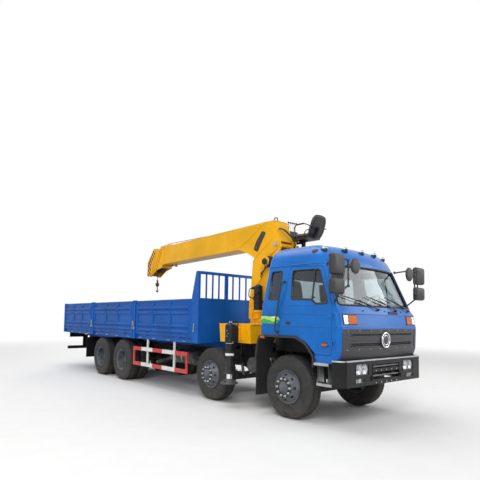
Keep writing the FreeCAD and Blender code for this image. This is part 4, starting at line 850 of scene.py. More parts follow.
makeSeal("screenRubber", "chassis", screenEdge, 0.08, cabTrim["screenRubber"], lambda y, z: frontSkin(y, z, -0.002))
makeSeal("rearWindowRubber", "chassis", rearWindow, 0.06, cabTrim["rubber"],
         lambda y, z: at(cabRow(z)[1] + 0.002, y, z))
for sideName, side in sides.items():
    title = sideName.title()
    for name, body, edge in (("quarterRubber", "chassis", quarterWindow), ("doorRubber", "door_" + sideName,
            doorWindow)):
        makeSeal(name + title, body, edge, 0.05, cabTrim["rubber"], lambda a, z: sideSkin(a, z, side, -0.002))
    # divider and frame of the small front vent window, with its catch
    shape = bmesh.new()
    for outline in ([(0.56, 1.985), (0.545, 2.485)], [(0.565, 1.96), (0.645, 1.915), (0.88, 1.925), (0.648, 2.462),
                                                      (0.552, 2.47)]):
        addTube(shape, [sideSkin(p.x, p.y, side, -0.009) for p in dense(outline, 0.08)], 0.014, 8)
    addRod(shape, sideSkin(0.585, 2.02, side, -0.02), sideSkin(0.585, 2.02, side, 0.012), 0.012, 12)
    addBlock(shape, (0.58, 0.62), (1.142, 1.152), (2.012, 2.026), side)
    makePiece("ventFrame" + title, "door_" + sideName, "rubber", shape)
    # strip under the window, and the door handle in its recess
    shape = bmesh.new()
    addTube(shape, [sideSkin(0.115, 2.006, side, -0.006), sideSkin(0.548, 1.996, side, -0.006)], 0.009, 6)
    addBlock(shape, (0.03, 0.13), (1.1775, 1.1835), (1.577, 1.623), side)
    addBar(shape, at(0.045, side * 1.19, 1.61), at(0.122, side * 1.19, 1.61), 0.016, 0.016)
    addRod(shape, at(0.115, side * 1.176, 1.592), at(0.115, side * 1.189, 1.592), 0.009, 12)
    makePiece("doorHandle" + title, "door_" + sideName, "plastic", shape, bevel=0.003)
    # gutter over the door and down the screen pillar
    shape = bmesh.new()
    gutter = bent([(-0.545, 2.585), (0.7, 2.585), (0.742, 2.54), (1.004, 1.872)], 0.06)
    path = [sideSkin(p.x, p.y, side, 0.003) for p in dense(gutter, 0.08)]
    addTube(shape, path, cabTrim["drip"], 8)
    makePiece("roofGutter" + title, "chassis", "cab", shape)
    # pressed creases on the side, split where the door is
    for place, spans in (("chassis", [(-0.575, -0.09, 1.757), (-0.575, -0.15, 1.551)]),
                         ("door_" + sideName, [(-0.035, 0.962, 1.757), (-0.095, 0.962, 1.551), (0.085, 0.6, 1.9)])):
        shape = bmesh.new()
        for start, end, height in spans:
            path = [sideSkin(start + (end - start) * i / 8, height, side, -0.001) for i in range(9)]
            addTube(shape, path, cabTrim["crease"], 8)
        makePiece("crease" + place.split("_")[0].title() + title, place, "cab", shape)
    # weather strip between door and body, sunk in the gap
    shape = bmesh.new()
    addTube(shape, [sideSkin(p.x, p.y, side, -0.026) for p in rounded(doorEdge, 0.05, 0.1)], 0.006, 6, closed=True)
    makePiece("doorStrip" + title, "chassis", "rubber", shape)
    # long grab tube behind the door
    shape = bmesh.new()
    path = bent([sideSkin(-0.085, 2.3, side, -0.004), sideSkin(-0.085, 2.3, side, 0.07),
                 sideSkin(-0.115, 2.16, side, 0.062), sideSkin(-0.185, 1.52, side, 0.05),
                 sideSkin(-0.18, 1.455, side, 0.045), sideSkin(-0.15, 1.44, side, -0.004)], 0.05)
    addTube(shape, path, 0.0125, 12)
    for station, height in ((-0.085, 2.3), (-0.15, 1.44)):
        start = sideSkin(station, height, side)
        addRod(shape, start, start + Vector((0, side * 0.008, 0)), 0.026, 16)
    makePiece("grabTube" + title, "chassis", "plastic", shape)
    # printed swoosh behind the door, a made-up one
    shape = bmesh.new()
    columns = 14
    for i in range(columns):
        for row in range(3):
            corners = []
            for di, dr in ((0, 0), (1, 0), (1, 1), (0, 1)):
                along, up = (i + di) / columns, (row + dr) / 3
                spread = 1.0 if along < 0.8 else math.sqrt(max(0.04, 1 - ((along - 0.8) / 0.2) ** 2))
                height = 1.645 + (up - 0.5) * 0.124 * spread + math.sin(along * 9) * 0.006
                corners.append(shape.verts.new(sideSkin(-0.565 + 0.45 * along, height, side, 0.0022)))
            shape.faces.new(corners)
    bmesh.ops.remove_doubles(shape, verts=shape.verts, dist=0.0003)
    back = bmesh.ops.duplicate(shape, geom=shape.verts[:] + shape.edges[:] + shape.faces[:])["geom"]
    bmesh.ops.translate(shape, verts=[g for g in back if isinstance(g, bmesh.types.BMVert)], vec=(0, -side * 0.0012, 0))
    makePiece("swooshDecal" + title, "chassis", "decal", shape)
    # amber lamps low on the door and on the wheel arch
    for lampName, body, station, height, width in (("doorLamp", "door_" + sideName, 0.85, 1.276, 1.1795),
                                                   ("archLamp", "chassis", -0.5, 1.345, 1.2)):
        shape = bmesh.new()
        addBlock(shape, (station - 0.062, station + 0.062), (width - 0.012, width + 0.008),
                 (height - 0.03, height + 0.03), side)
        makePiece(lampName + "Base" + title, body, "plastic", shape, bevel=0.006)
        shape = bmesh.new()
        addBlock(shape, (station - 0.052, station + 0.052), (width + 0.004, width + 0.024),
                 (height - 0.021, height + 0.021), side)
        makePiece(lampName + "Lens" + title, body, "amber", shape, bevel=0.009, segments=3)

# creases that run round the front
shape = bmesh.new()
for height in (1.757, 1.551):
    row = cabRow(height)
    reach = row[4] - row[5]
    turnIn = [sideSkin(row[2] - row[5] * share, height, -1, -0.001) for share in (1.5, 1.0, 0.85)]
    front = [frontSkin(-reach - row[5] * math.cos(t * math.pi / 10), height, -0.001) for t in range(5)]
    other = [Vector((p.x, -p.y, p.z)) for p in reversed(turnIn + front)]
    addTube(shape, turnIn + front + acrossFront((-reach, reach), height, -0.001, 24) + other, cabTrim["crease"], 8)
makePiece("frontCreases", "chassis", "cab", shape)
print("cab trim made")


# screen furniture: wipers, washer jets, intake under the screen
wiper = {"pivots": [-0.15, 0.42, 0.95], "height": 1.835, "blade": 0.7, "lean": 0.17}
arms, blades = bmesh.new(), bmesh.new()
for y in wiper["pivots"]:
    base = frontSkin(y, wiper["height"])
    addRod(arms, base - Vector((0.01, 0, 0)), base + Vector((0.035, 0, 0.01)), 0.02, 14)
    addRod(arms, base + Vector((0.02, 0, 0.006)), base + Vector((0.042, 0, 0.012)), 0.013, 14)
    near = frontSkin(y - 0.03, wiper["height"] + 0.012, 0.034)
    far = frontSkin(y - 0.46, wiper["height"] + 0.155, 0.03)
    addBar(arms, near, near.lerp(far, 0.45), 0.02, 0.01, axisX)
    addBar(arms, near.lerp(far, 0.43), far, 0.011, 0.007, axisX)
    tips = [frontSkin(y - 0.1 - wiper["blade"] * i / 8, wiper["height"] + 0.048 + wiper["lean"] * i / 8, 0.014)
            for i in range(9)]
    addTube(blades, tips, 0.0065, 6)
    spine = [frontSkin(y - 0.17 - wiper["blade"] * 0.8 * i / 8, wiper["height"] + 0.068 + wiper["lean"] * 0.8 * i / 8,
                       0.024 + 0.01 * math.sin(math.pi * i / 8)) for i in range(9)]
    addTube(blades, spine, 0.0045, 6)
makePiece("wiperArms", "chassis", "plastic", arms, bevel=0.002)
makePiece("wiperBlades", "chassis", "rubber", blades)
shape = bmesh.new()
for i in range(5):
    height = 1.776 + i * 0.0085
    addTube(shape, acrossFront((0.16, 0.46), height, 0.004 if i in (0, 4) else 0.008, 6), 0.0045, 6)
addStrip(shape, acrossFront((0.15, 0.47), 1.793, 0.0, 6), 0.01, 0.05)
makePiece("screenIntake", "chassis", "plastic", shape)
shape = bmesh.new()
for y in (-0.55, 0.05, 0.62):
    base = frontSkin(y, 1.815)
    addRod(shape, base - Vector((0.004, 0, 0)), base + Vector((0.016, 0, 0.005)), 0.011, 12, 0.007)
makePiece("washerJets", "chassis", "plastic", shape)

# roof markers: steel domes on dark bases, with a lens in front
roofMarkers = [(0.59, -0.87, 2.79), (0.68, -0.44, 2.815), (0.705, 0.0, 2.81), (0.68, 0.44, 2.815), (0.59, 0.87, 2.79)]
shells, lenses = bmesh.new(), bmesh.new()
for station, y, low in roofMarkers:
    dome = [(0.0, 0.0), (0.0, 0.043), (0.035, 0.045), (0.058, 0.04), (0.072, 0.028), (0.079, 0.012), (0.08, 0.0)]
    addLathe(shells, dome, 24, stood(station - 0.004, y, low), closed=False)
    addLathe(lenses, [(0.0, 0), (0.0, 0.03), (0.012, 0.027), (0.017, 0.014), (0.018, 0)], 18,
             stood(station + 0.032, y, low + 0.046) @ turnX)
makePiece("roofMarkerShells", "chassis", "steel", shells)
shape = bmesh.new()
for station, y, low in roofMarkers:
    addLathe(shape, [(0.0, 0), (0.0, 0.056), (0.03, 0.058), (0.042, 0.05), (0.044, 0.0)], 28,
             stood(station - 0.004, y, low))
makePiece("roofMarkerBases", "chassis", "plastic", shape)
makePiece("roofMarkerLenses", "chassis", "lens", lenses)
print("screen and roof furniture made")


def barSection(radius, bar, tall=1.0, lift=0.0):
    # round section of a ring, tall being how much it is stretched outwards
    return [(lift + bar * math.sin(math.tau * i / 12), radius + bar * tall * math.cos(math.tau * i / 12))
            for i in range(12)]


def skinPatch(shape, y, z, outs, counts):
    # sheet between two depths over the cab's front
    rims = []
    for out in outs:
        heights = [z[0] + (z[1] - z[0]) * k / counts[1] for k in range(counts[1] + 1)]
        rows = [[shape.verts.new(point) for point in acrossFront(y, height, out, counts[0])] for height in heights]
        for low, high in zip(rows, rows[1:]):
            for i in range(counts[0]):
                shape.faces.new((low[i], low[i + 1], high[i + 1], high[i]))
        rims.append(rows[0] + [r[-1] for r in rows[1:]] + rows[-1][-2::-1] + [r[0] for r in rows[-2:0:-1]])
    skin(shape, rims, caps=False)


# corner lamps: clear outer part, amber inner part, in a dark frame; shares run outwards over the lamp's width
cornerLamp = {"inner": 0.745, "width": 0.355}
for sideName, side in sides.items():
    title = sideName.title()
    for lampName, finish, share0, share1, low, high, inner, outer in (
            ("cornerFrame", "plastic", 0.0, 0.93, 1.59, 1.75, -0.004, 0.009),
            ("cornerAmber", "amber", 0.04, 0.6, 1.603, 1.737, 0.002, 0.0165),
            ("cornerClear", "mirrorFace", 0.64, 0.89, 1.603, 1.737, 0.002, 0.012),
            ("cornerGlass", "lens", 0.63, 0.9, 1.6, 1.74, 0.0125, 0.0165)):
        shape = bmesh.new()
        span = [side * (cornerLamp["inner"] + cornerLamp["width"] * share) for share in (share0, share1)]
        skinPatch(shape, span, (low, high), (outer, inner), (8, 2))
        makePiece(lampName + title, "chassis", finish, shape, bevel=0.003)

    # head and fog lamps in their pockets: bowl, bulb, lens and frame
    shape, glass, frameShape, cap = [bmesh.new() for k in range(4)]
    for y0, y1, z0, z1, bowls in ((0.524, 0.856, 0.814, 0.991, [0.612, 0.768]), (0.644, 0.866, 0.694, 0.771, [0.755])):
        face = ahead(1.188)
        for y, z in (((y0, y0 + 0.01), (z0, z1)), ((y1 - 0.01, y1), (z0, z1)),
                     ((y0 + 0.008, y1 - 0.008), (z0, z0 + 0.01)), ((y0 + 0.008, y1 - 0.008), (z1 - 0.01, z1))):
            addBox(frameShape, (face - 0.03, face), y, z, side)
        addBox(shape, (face - 0.037, face - 0.033), (y0, y1), (z0, z1), side)
        for y in bowls:
            wide = (z1 - z0) / 2 - 0.012
            turn = moved(face - 0.032, side * y, (z0 + z1) / 2) @ turnX
            bowl = [(0.0, 0.012), (0.004, wide * 0.55), (0.012, wide * 0.8), (0.024, wide), (0.024, wide - 0.004),
                    (0.01, wide * 0.7), (0.001, 0.012)]
            addLathe(shape, bowl, 28, turn)
            addRod(cap, (face - 0.033, side * y, (z0 + z1) / 2), (face - 0.016, side * y, (z0 + z1) / 2), 0.014, 16,
                   0.01)
        addBox(glass, (face - 0.007, face - 0.002), (y0 + 0.009, y1 - 0.009), (z0 + 0.009, z1 - 0.009), side)
    makePiece("headLampBowls" + title, "chassis", "chrome", shape, ["lamps"] if side > 0 else [])
    makePiece("headLampCaps" + title, "chassis", "trim", cap)
    makePiece("headLampFrames" + title, "chassis", "plastic", frameShape, bevel=0.003)
    makePiece("headLampGlass" + title, "chassis", "lens", glass, bevel=0.0015)

# grille: frames round the slots, slats behind, studs, a dark apron and the bare ring; the apron's strip just above the
# bumper is painted shade
grille = {"slots": [(1.25, 1.31), (1.415, 1.455)], "near": 0.11, "far": 0.9, "ringRadius": 0.118, "ringBar": 0.0095}
near, far = grille["near"], grille["far"]
shape, slats = bmesh.new(), bmesh.new()
for side in sides.values():
    for low, high in grille["slots"]:
        flat = rounded(oblong((near + 0.004, far), (low, high)), 0.018, 0.09)
        addTube(shape, [frontSkin(side * p.x, p.y, 0.001) for p in flat], 0.008, 8, closed=True)
        for i in range(14):
            y = side * (near + 0.03 + (far - near - 0.06) * i / 13)
            spot = frontSkin(y, (low + high) / 2, -0.014)
            addBox(slats, (spot.x - 0.005, spot.x + 0.005), (spot.y - 0.0025, spot.y + 0.0025),
                   (low - 0.003, high + 0.003))
        middle = (low + high) / 2
        addTube(slats, acrossFront((side * near, side * far), middle, -0.01), 0.005, 6)
        addStrip(slats, acrossFront((side * (near - 0.01), side * (far + 0.01)), middle, -0.0215), 0.003,
                 high - low + 0.01)
for height in (1.355, 1.375, 1.335):
    for side in sides.values():
        addTube(shape, acrossFront((side * 0.15, side * 1.02), height, -0.0005), 0.0035, 6)
# dark apron under and beside the grille; below about 1.11 m it is painted shade over the bumper
skinPatch(shape, (-1.098, 1.098), (1.03, 1.203), (-0.003, 0.004), (36, 4))
for side in sides.values():
    skinPatch(shape, (side * 1.04, side * 1.098), (1.198, 1.515), (-0.003, 0.004), (4, 8))
outer = rounded(oblong((-1.1, 1.1), (1.03, 1.517)), 0.02, 0.09)
addTube(shape, [frontSkin(p.x, p.y, 0.0005) for p in outer], 0.0065, 8, closed=True)
makePiece("grilleFrames", "chassis", "grille", shape)
makePiece("grilleSlats", "chassis", "plastic", slats)
shape = bmesh.new()
turn = stood(1.184, 0, 1.345) @ turnX
addLathe(shape, barSection(grille["ringRadius"], grille["ringBar"], 1.2, 0.002), 64, turn)
addLathe(shape, [(0.0, 0.07), (0.004, 0.074), (0.006, 0.078), (0.004, 0.082), (0.0, 0.084)], 56, turn)
makePiece("badgeRing", "chassis", "chrome", shape)
shape = bmesh.new()
addLathe(shape, [(-0.008, 0), (-0.008, 0.115), (0.0, 0.113), (0.002, 0.09), (0.0015, 0.084), (0.003, 0.06),
                 (0.0065, 0.03), (0.0075, 0)], 48, turn)
makePiece("badgePlate", "chassis", "grille", shape)
screw = bmesh.new()
addLathe(screw, [(0, 0), (0, 0.009), (0.003, 0.0085), (0.005, 0.005), (0.005, 0)], 8, turnX)
shape = bmesh.new()
screwMesh = asMesh("screw", screw)
for height in (1.5, 1.207):
    for y in (-0.98, -0.7, -0.4, -0.13, 0.13, 0.4, 0.7, 0.98):
        copy = screwMesh.copy()
        copy.transform(Matrix.Translation(frontSkin(y, height)))
        addMesh(shape, copy)
bpy.data.meshes.remove(screwMesh)
makePiece("grilleScrews", "chassis", "steel", shape)
print("lamps and grille made")


# bumper: bright top strip, bars in the centre opening, bolts, towing eyes and folded edges
bumperPlan = [(1.0, -1.2055), (1.07, -1.2055), (1.1905, -1.1105), (1.1905, 1.1105), (1.07, 1.2055), (1.0, 1.2055)]
shape = bmesh.new()
outline = bent(bumperPlan, 0.05)
for low, high, deep in ((1.036, 1.0515, 0.03), (1.0285, 1.0375, 0.004)):
    rings = []
    for i, spot in enumerate(outline):
        before, after = outline[max(i - 1, 0)], outline[min(i + 1, len(outline) - 1)]
        along = (after - before).normalized()
        outward = Vector((along.y, -along.x))
        far, near = spot + outward * 0.0035, spot - outward * deep
        rings.append([shape.verts.new(at(p.x, p.y, z)) for p, z in ((far, low), (far, high), (near, high),
                                                                    (near, low))])
    skin(shape, rings)
makePiece("bumperTopStrip", "chassis", "steel", shape, bevel=0.002)
shape = bmesh.new()
for height in (0.93, 0.785):
    addTube(shape, [at(1.172, -0.395 + 0.79 * i / 8, height) for i in range(9)], 0.012, 10)
    for y in (-0.28, 0.0, 0.28):
        addBlock(shape, (1.12, 1.17), (y - 0.006, y + 0.006), (height - 0.022, height + 0.022))
makePiece("bumperBars", "chassis", "trim", shape, bevel=0.002)
shape = bmesh.new()
mesh = bmesh.new()
addLathe(mesh, [(0, 0), (0, 0.013), (0.006, 0.013), (0.009, 0.009), (0.009, 0)], 6, turnX)
boltRow = repeated("along", mesh, 5, (0, 0.155, 0), "steel")
for height in (0.865, 0.675):
    copy = boltRow.copy()
    copy.transform(stood(1.19, -0.31, height))
    addMesh(shape, copy)
bpy.data.meshes.remove(boltRow)
makePiece("bumperBolts", "chassis", "steel", shape)
shape = bmesh.new()
for side in sides.values():
    path = bent([at(1.185, side * 0.435, 0.72), at(1.199, side * 0.435, 0.72), at(1.199, side * 0.435, 0.785),
                 at(1.185, side * 0.435, 0.785)], 0.02)
    addTube(shape, path, 0.009, 8)
# folded edges round the lamp pockets and the centre opening
for y, z, radius in (((0.52, 0.86), (0.81, 0.995), 0.012), ((0.64, 0.87), (0.69, 0.775), 0.012),
                     ((-0.52, -0.86), (0.81, 0.995), 0.012), ((-0.64, -0.87), (0.69, 0.775), 0.012),
                     ((-0.4, 0.4), (0.715, 0.975), 0.03)):
    addTube(shape, [at(1.1905, p.x, p.y) for p in bent(oblong(y, z), radius, closed=True)], 0.006, 8, closed=True)
makePiece("bumperEdges", "chassis", "bumper", shape)
print("bumper dressed")


# mirrors: rounded housings, glasses to the rear, ribs and arm clamps
mirror = {"housings": [(2.34, 2.66), (2.05, 2.29)], "near": 1.09, "far": 1.408, "front": 1.174, "rear": 1.088}
near, far = mirror["near"], mirror["far"]
for sideName, side in sides.items():
    title = sideName.title()
    shape, face = bmesh.new(), bmesh.new()
    for low, high in mirror["housings"]:
        rings = []
        for station, inset in ((mirror["rear"], 0.004), (mirror["rear"] + 0.012, 0.0), (mirror["front"] - 0.045, 0.0),
                               (mirror["front"] - 0.014, 0.014), (mirror["front"], 0.045)):
            flat = bent(oblong((side * (near + inset), side * (far - inset)), (low + inset, high - inset)), 0.045,
                        closed=True)
            rings.append([shape.verts.new(at(station, p.x, p.y)) for p in flat])
        skin(shape, rings)
        flat = bent(oblong((side * (near + 0.014), side * (far - 0.014)), (low + 0.014, high - 0.014)), 0.035,
                    closed=True)
        addPlate(face, flat, mirror["rear"] - 0.002, mirror["rear"] + 0.004, lambda u, v, d: at(d, u, v))
        for k in range(3):
            y = side * (near + 0.055 + 0.05 * k)
            addBar(shape, at(mirror["front"] - 0.002, y, low + 0.06), at(mirror["front"] - 0.002, y, high - 0.06),
                   0.008, 0.008, axisX)
        addBlock(shape, (1.105, 1.155), (1.165, 1.2), ((low + high) / 2 - 0.03, (low + high) / 2 + 0.03), side)
    # round kerb mirror, domed towards the front, glass facing back and down
    turn = stood(1.15, side * 0.83, 2.5) @ turnX
    addLathe(shape, [(0.004, 0), (0.004, 0.116), (0.0, 0.12), (0.0, 0.1245), (0.012, 0.125), (0.024, 0.11),
                     (0.029, 0.07), (0.03, 0)], 40, turn)
    addLathe(face, [(0.003, 0), (0.0005, 0.06), (0.003, 0.114), (0.005, 0.114), (0.005, 0)], 36, turn)
    spots = bent([at(0.944, side * 1.078, 1.922), at(1.13, side * 1.18, 2.1), at(1.16, side * 1.016, 2.18),
                  at(1.16, side * 1.016, 2.57), at(1.13, side * 1.18, 2.62), at(0.757, side * 0.99, 2.563)], 0.045)
    addTube(shape, spots, 0.0135, 12)
    addTube(shape, [at(1.13, side * 1.18, 2.08), at(1.13, side * 1.183, 2.34), at(1.13, side * 1.18, 2.64)], 0.0125, 12)
    addTube(shape, [at(1.16, side * 1.016, 2.5), at(1.163, side * 0.94, 2.505), at(1.165, side * 0.84, 2.5)], 0.011, 10)
    for place in (at(0.955, side * 1.083, 1.932), at(0.77, side * 1.0, 2.566)):
        addRod(shape, place - Vector((0.012, side * 0.008, 0)), place + Vector((0.02, side * 0.012, 0.01)), 0.027, 14,
               0.02)
    for height in (2.18, 2.5, 2.57):
        addRod(shape, at(1.16, side * 1.016, height - 0.02), at(1.16, side * 1.016, height + 0.02), 0.021, 14)
    makePiece("mirrorHousings" + title, "chassis", "plastic", shape, ["mirrors"] if side > 0 else [], bevel=0.002)
    makePiece("mirrorFaces" + title, "chassis", "mirrorFace", face)
print("mirrors made")


def placed(bm, place):
    # moves a part built in its own frame into place
    bmesh.ops.transform(bm, matrix=place, verts=bm.verts)
    return bm


def boltHead(size, height, out=0.0):
    # washer and hexagon head along the local Z axis, out from the centre
    head, place = bmesh.new(), moved(out, 0, 0)
    washer = size * 1.25
    addLathe(head, oblong((0, size * 0.2), (0, washer)), 10, place)
    addLathe(head, [(size * 0.1, 0), (size * 0.1, size), (height * 0.85, size), (height, size * 0.8), (height, 0)], 6,
             place)
    return head


def addBolts(bm, count, circle, size, height, place, finish="steel"):
    # ring of bolt heads about the local Z axis
    addMesh(bm, repeated("around", boltHead(size, height, circle), count, (0, 0, math.tau / count), finish, place))


# outriggers: yellow arm, dark head and leg tube with pale bands, chromed rod on a steel foot
outrigger = {"beams": {"right": -1.4, "left": -1.22}, "leg": 1.2, "low": 1.27, "top": 1.47, "half": 0.08,
             "bands": [(1.185, 1.238), (0.952, 1.0)], "foot": 0.425}
for sideName, side in sides.items():
    title, body = sideName.title(), "outrigger_beam_" + sideName
    x, y = ahead(outrigger["beams"][sideName]), side * outrigger["leg"]
    half, low, top = outrigger["half"], outrigger["low"], outrigger["top"]
    shape = bmesh.new()
    addBox(shape, (x - half, x + half), (-0.94, 1.078), (low, top), side)
    addBox(shape, (x - 0.112, x + 0.112), (1.05, 1.072), (1.225, 1.52), side)
    for s in (-1, 1):
        addPlate(shape, [(1.01, 1.476), (1.052, 1.476), (1.052, 1.515)], x + s * 0.05 - 0.005, x + s * 0.05 + 0.005,
                 crosswise(side))
    makePiece("beamArm" + title, body, "crane", shape, [body], bevel=0.006)
    # head casting with ribs, gussets and a cap
    shape = bmesh.new()
    outline = bent([(-0.105, 1.19), (0.105, 1.19), (0.105, 1.5), (0.06, 1.545), (-0.06, 1.545), (-0.105, 1.5)], 0.022,
                   closed=True)
    addPlate(shape, outline, 1.074, 1.205, lambda u, v, d: Vector((x + u, side * d, v)))
    addLathe(shape, [(1.192, 0.0), (1.192, 0.088), (1.2, 0.096), (1.515, 0.096), (1.54, 0.09), (1.552, 0.078),
                     (1.56, 0.06), (1.578, 0.056), (1.582, 0.046), (1.582, 0.0)], 40, moved(x, y, 0))
    for height in (1.235, 1.33, 1.425):
        addLathe(shape, oblong((height, height + 0.012), (0.09, 0.101)), 40, moved(x, y, 0))
    for s in (-1, 1):
        addPlate(shape, [(1.076, 1.196), (1.19, 1.196), (1.19, 1.03), (1.15, 1.075), (1.076, 1.13)],
                 x + s * 0.055 - 0.006, x + s * 0.055 + 0.006, crosswise(side))
        addBar(shape, (x + s * 0.096, side * 1.09, 1.47), (x + s * 0.1, side * 1.09, 1.26), 0.014, 0.03, axisY)
    makePiece("jackHead" + title, body, "charcoal", shape, bevel=0.004)
    shape = bmesh.new()
    addBolts(shape, 8, 0.074, 0.0085, 0.012, moved(x, y, 1.5535))
    addBolts(shape, 6, 0.06, 0.008, 0.01, moved(x, side * 1.296, 1.375) @ outwards(side))
    makePiece("jackHeadBolts" + title, body, "steel", shape)
    # leg tube in one turned section, with its lower collars
    shape = bmesh.new()
    addLathe(shape, [(1.2, 0.0552), (1.2, 0.0785), (0.806, 0.0785), (0.802, 0.084), (0.788, 0.084), (0.784, 0.0785),
                     (0.7, 0.0785), (0.696, 0.083), (0.688, 0.083), (0.684, 0.0785), (0.655, 0.0785), (0.652, 0.09),
                     (0.614, 0.09), (0.61, 0.087), (0.61, 0.0552)], 48, moved(x, y, 0))
    addBox(shape, (x - 0.016, x + 0.016), (1.116, 1.126), (0.82, 1.16), side)
    makePiece("jackTube" + title, body, "charcoal", shape, bevel=0.0015)
    shape = bmesh.new()
    for start, end in outrigger["bands"]:
        addLathe(shape, [(start, 0.077), (start, 0.0835), (start + 0.004, 0.0855), (end - 0.004, 0.0855),
                         (end, 0.0835), (end, 0.077)], 48, moved(x, y, 0))
        addBox(shape, (x + 0.07, x + 0.1), (y - 0.01, y + 0.01), (start + 0.008, end - 0.008))
    makePiece("jackBands" + title, body, "white", shape, bevel=0.002)
    # supply hoses from the cap, down the back of the head and into the arm's flange
    shape = bmesh.new()
    for s in (-0.03, 0.03):
        path = bent([(x + s, y - side * 0.01, 1.578), (x + s, y - side * 0.01, 1.604),
                     (x + s * 1.2, side * 1.105, 1.606), (x + s * 1.4, side * 1.04, 1.575),
                     (x + s * 1.5, side * 1.032, 1.5), (x + s * 1.5, side * 1.032, 1.474)], 0.05)
        addTube(shape, path, 0.0095, 10)
    makePiece("jackHoses" + title, body, "rubber", shape)
    shape = bmesh.new()
    for s in (-0.03, 0.03):
        addLathe(shape, [(0, 0), (0, 0.017), (0.012, 0.017), (0.012, 0.013), (0.03, 0.013), (0.03, 0)], 6,
                 moved(x + s, y - side * 0.01, 1.578))
        addLathe(shape, oblong((0, 0.02), (0, 0.016)), 6, moved(x + s * 1.5, side * 1.032, 1.47))
    addRod(shape, (x - 0.09, side * 1.01, 1.49), (x + 0.04, side * 1.01, 1.49), 0.008, 12)
    makePiece("jackFittings" + title, body, "steel", shape, bevel=0.001)
    # rod, cup and foot plate
    leg = "jack_leg_" + sideName
    shape = bmesh.new()
    addLathe(shape, [(0.47, 0), (0.47, 0.0548), (1.505, 0.0548), (1.51, 0.05), (1.51, 0)], 40, moved(x, y, 0))
    makePiece("jackRod" + title, leg, "chrome", shape, [leg])
    shape = bmesh.new()
    low = outrigger["foot"]
    addLathe(shape, [(low, 0), (low, 0.155), (low + 0.003, 0.163), (low + 0.012, 0.165), (low + 0.024, 0.163),
                     (low + 0.03, 0.15), (low + 0.031, 0.1), (low + 0.04, 0.094), (low + 0.075, 0.08),
                     (low + 0.092, 0.068), (low + 0.096, 0.06), (low + 0.096, 0.0)], 56, moved(x, y, 0))
    rib = bmesh.new()
    addPlate(rib, [(0.07, low + 0.03), (0.15, low + 0.03), (0.14, low + 0.04), (0.074, low + 0.086)], -0.004, 0.004,
             upright())
    addMesh(shape, repeated("around", rib, 8, (0, 0, math.pi / 4), "steel", moved(x, y, 0)))
    makePiece("jackFoot" + title, leg, "cast", shape, angle=30)
print("outriggers made")


# crane base: tunnel mouths, gussets, clamp bolts to the frame, ring bolts, valve block and its levers
base = {"rear": -1.98, "front": -1.06, "half": 1.0, "low": 1.19, "top": 1.56}
slewAxis = ahead(-1.53)
shape = bmesh.new()
for sideName, side in sides.items():
    x = ahead(outrigger["beams"][sideName])
    for x0, x1, z0, z1 in ((x - 0.118, x - 0.086, 1.235, 1.505), (x + 0.086, x + 0.118, 1.235, 1.505),
                           (x - 0.09, x + 0.09, 1.477, 1.505), (x - 0.09, x + 0.09, 1.235, 1.267)):
        addBox(shape, (x0, x1), (0.985, 1.012), (z0, z1), side)
    for station in (base["rear"] + 0.1, base["front"] - 0.1):
        addPlate(shape, [(0.985, 1.545), (1.03, 1.545), (1.03, 1.52), (0.97, 1.215), (0.955, 1.215)],
                 ahead(station) - 0.006, ahead(station) + 0.006, crosswise(side))
for face, out in ((base["front"], 1), (base["rear"], -1)):
    for y in (-0.72, -0.5, 0.5, 0.72):
        addPlate(shape, oblong((y - 0.006, y + 0.006), (base["low"] + 0.004, base["top"] - 0.004)),
                 ahead(face) - (0.004 if out > 0 else 0.016), ahead(face) + (0.016 if out > 0 else 0.004),
                 crosswise())
    addBar(shape, at(face + out * 0.006, -0.985, base["top"] - 0.012),
           at(face + out * 0.006, 0.985, base["top"] - 0.012), 0.02, 0.022)
    addBar(shape, at(face + out * 0.006, -0.965, base["low"] + 0.014),
           at(face + out * 0.006, 0.965, base["low"] + 0.014), 0.02, 0.022)
addLathe(shape, [(1.556, 0.425), (1.556, 0.447), (1.566, 0.441), (1.578, 0.425)], 64, moved(slewAxis, 0, 0))
makePiece("baseStiffeners", "chassis", "crane", shape, bevel=0.0025)
shape = bmesh.new()
addBolts(shape, 24, 0.4305, 0.0115, 0.016, moved(slewAxis, 0, 1.5685))
for side in sides.values():
    for station in (base["rear"] + 0.055, base["front"] - 0.055):
        for k in (-1, 1):
            bx, by = ahead(station), side * (0.39 + k * 0.058)
            addRod(shape, (bx, by, 0.705), (bx, by, 1.235), 0.0115, 12)
            for height in (0.705, 1.215):
                addLathe(shape, oblong((height, height + 0.018), (0, 0.019)), 6, moved(bx, by, 0))
        addBlock(shape, (station - 0.03, station + 0.03), (0.305, 0.475), (1.196, 1.214), side)
        addBlock(shape, (station - 0.03, station + 0.03), (0.305, 0.475), (0.7, 0.7185), side)
makePiece("baseClamps", "chassis", "cast", shape, bevel=0.0015)
# lever bank low on the left end of the base, with a valve block and pipes
levers = {"count": 4, "gap": 0.052, "station": -1.03}
knobs, shape, pipes = bmesh.new(), bmesh.new(), bmesh.new()
x = ahead(levers["station"])
for k in range(levers["count"]):
    y, low = 0.78 + levers["gap"] * k, 1.262 - 0.012 * k
    addBox(shape, (x - 0.03, x + 0.014), (y - 0.02, y + 0.02), (1.33, 1.42))
    addRod(shape, (x + 0.002, y, 1.415), (x + 0.01, y, 1.545), 0.0055, 10, 0.0045)
    addLathe(knobs, [(-0.018, 0), (-0.016, 0.008), (-0.006, 0.0135), (0.006, 0.0135), (0.014, 0.009), (0.018, 0)], 14,
             moved(x + 0.0105, y, 1.552))
    path = bent([(x - 0.008, y, 1.332), (x - 0.006, y, 1.285), (x - 0.006, 0.62 + 0.03 * k, low),
                 (x - 0.006, 0.3, low), (x - 0.036, 0.24, low)], 0.03)
    addTube(pipes, path, 0.0065, 8)
addBox(shape, (x - 0.036, x - 0.026), (0.745, 0.97), (1.3, 1.44))
makePiece("leverValves", "chassis", "cast", shape, bevel=0.002)
makePiece("leverKnobs", "chassis", "plastic", knobs)
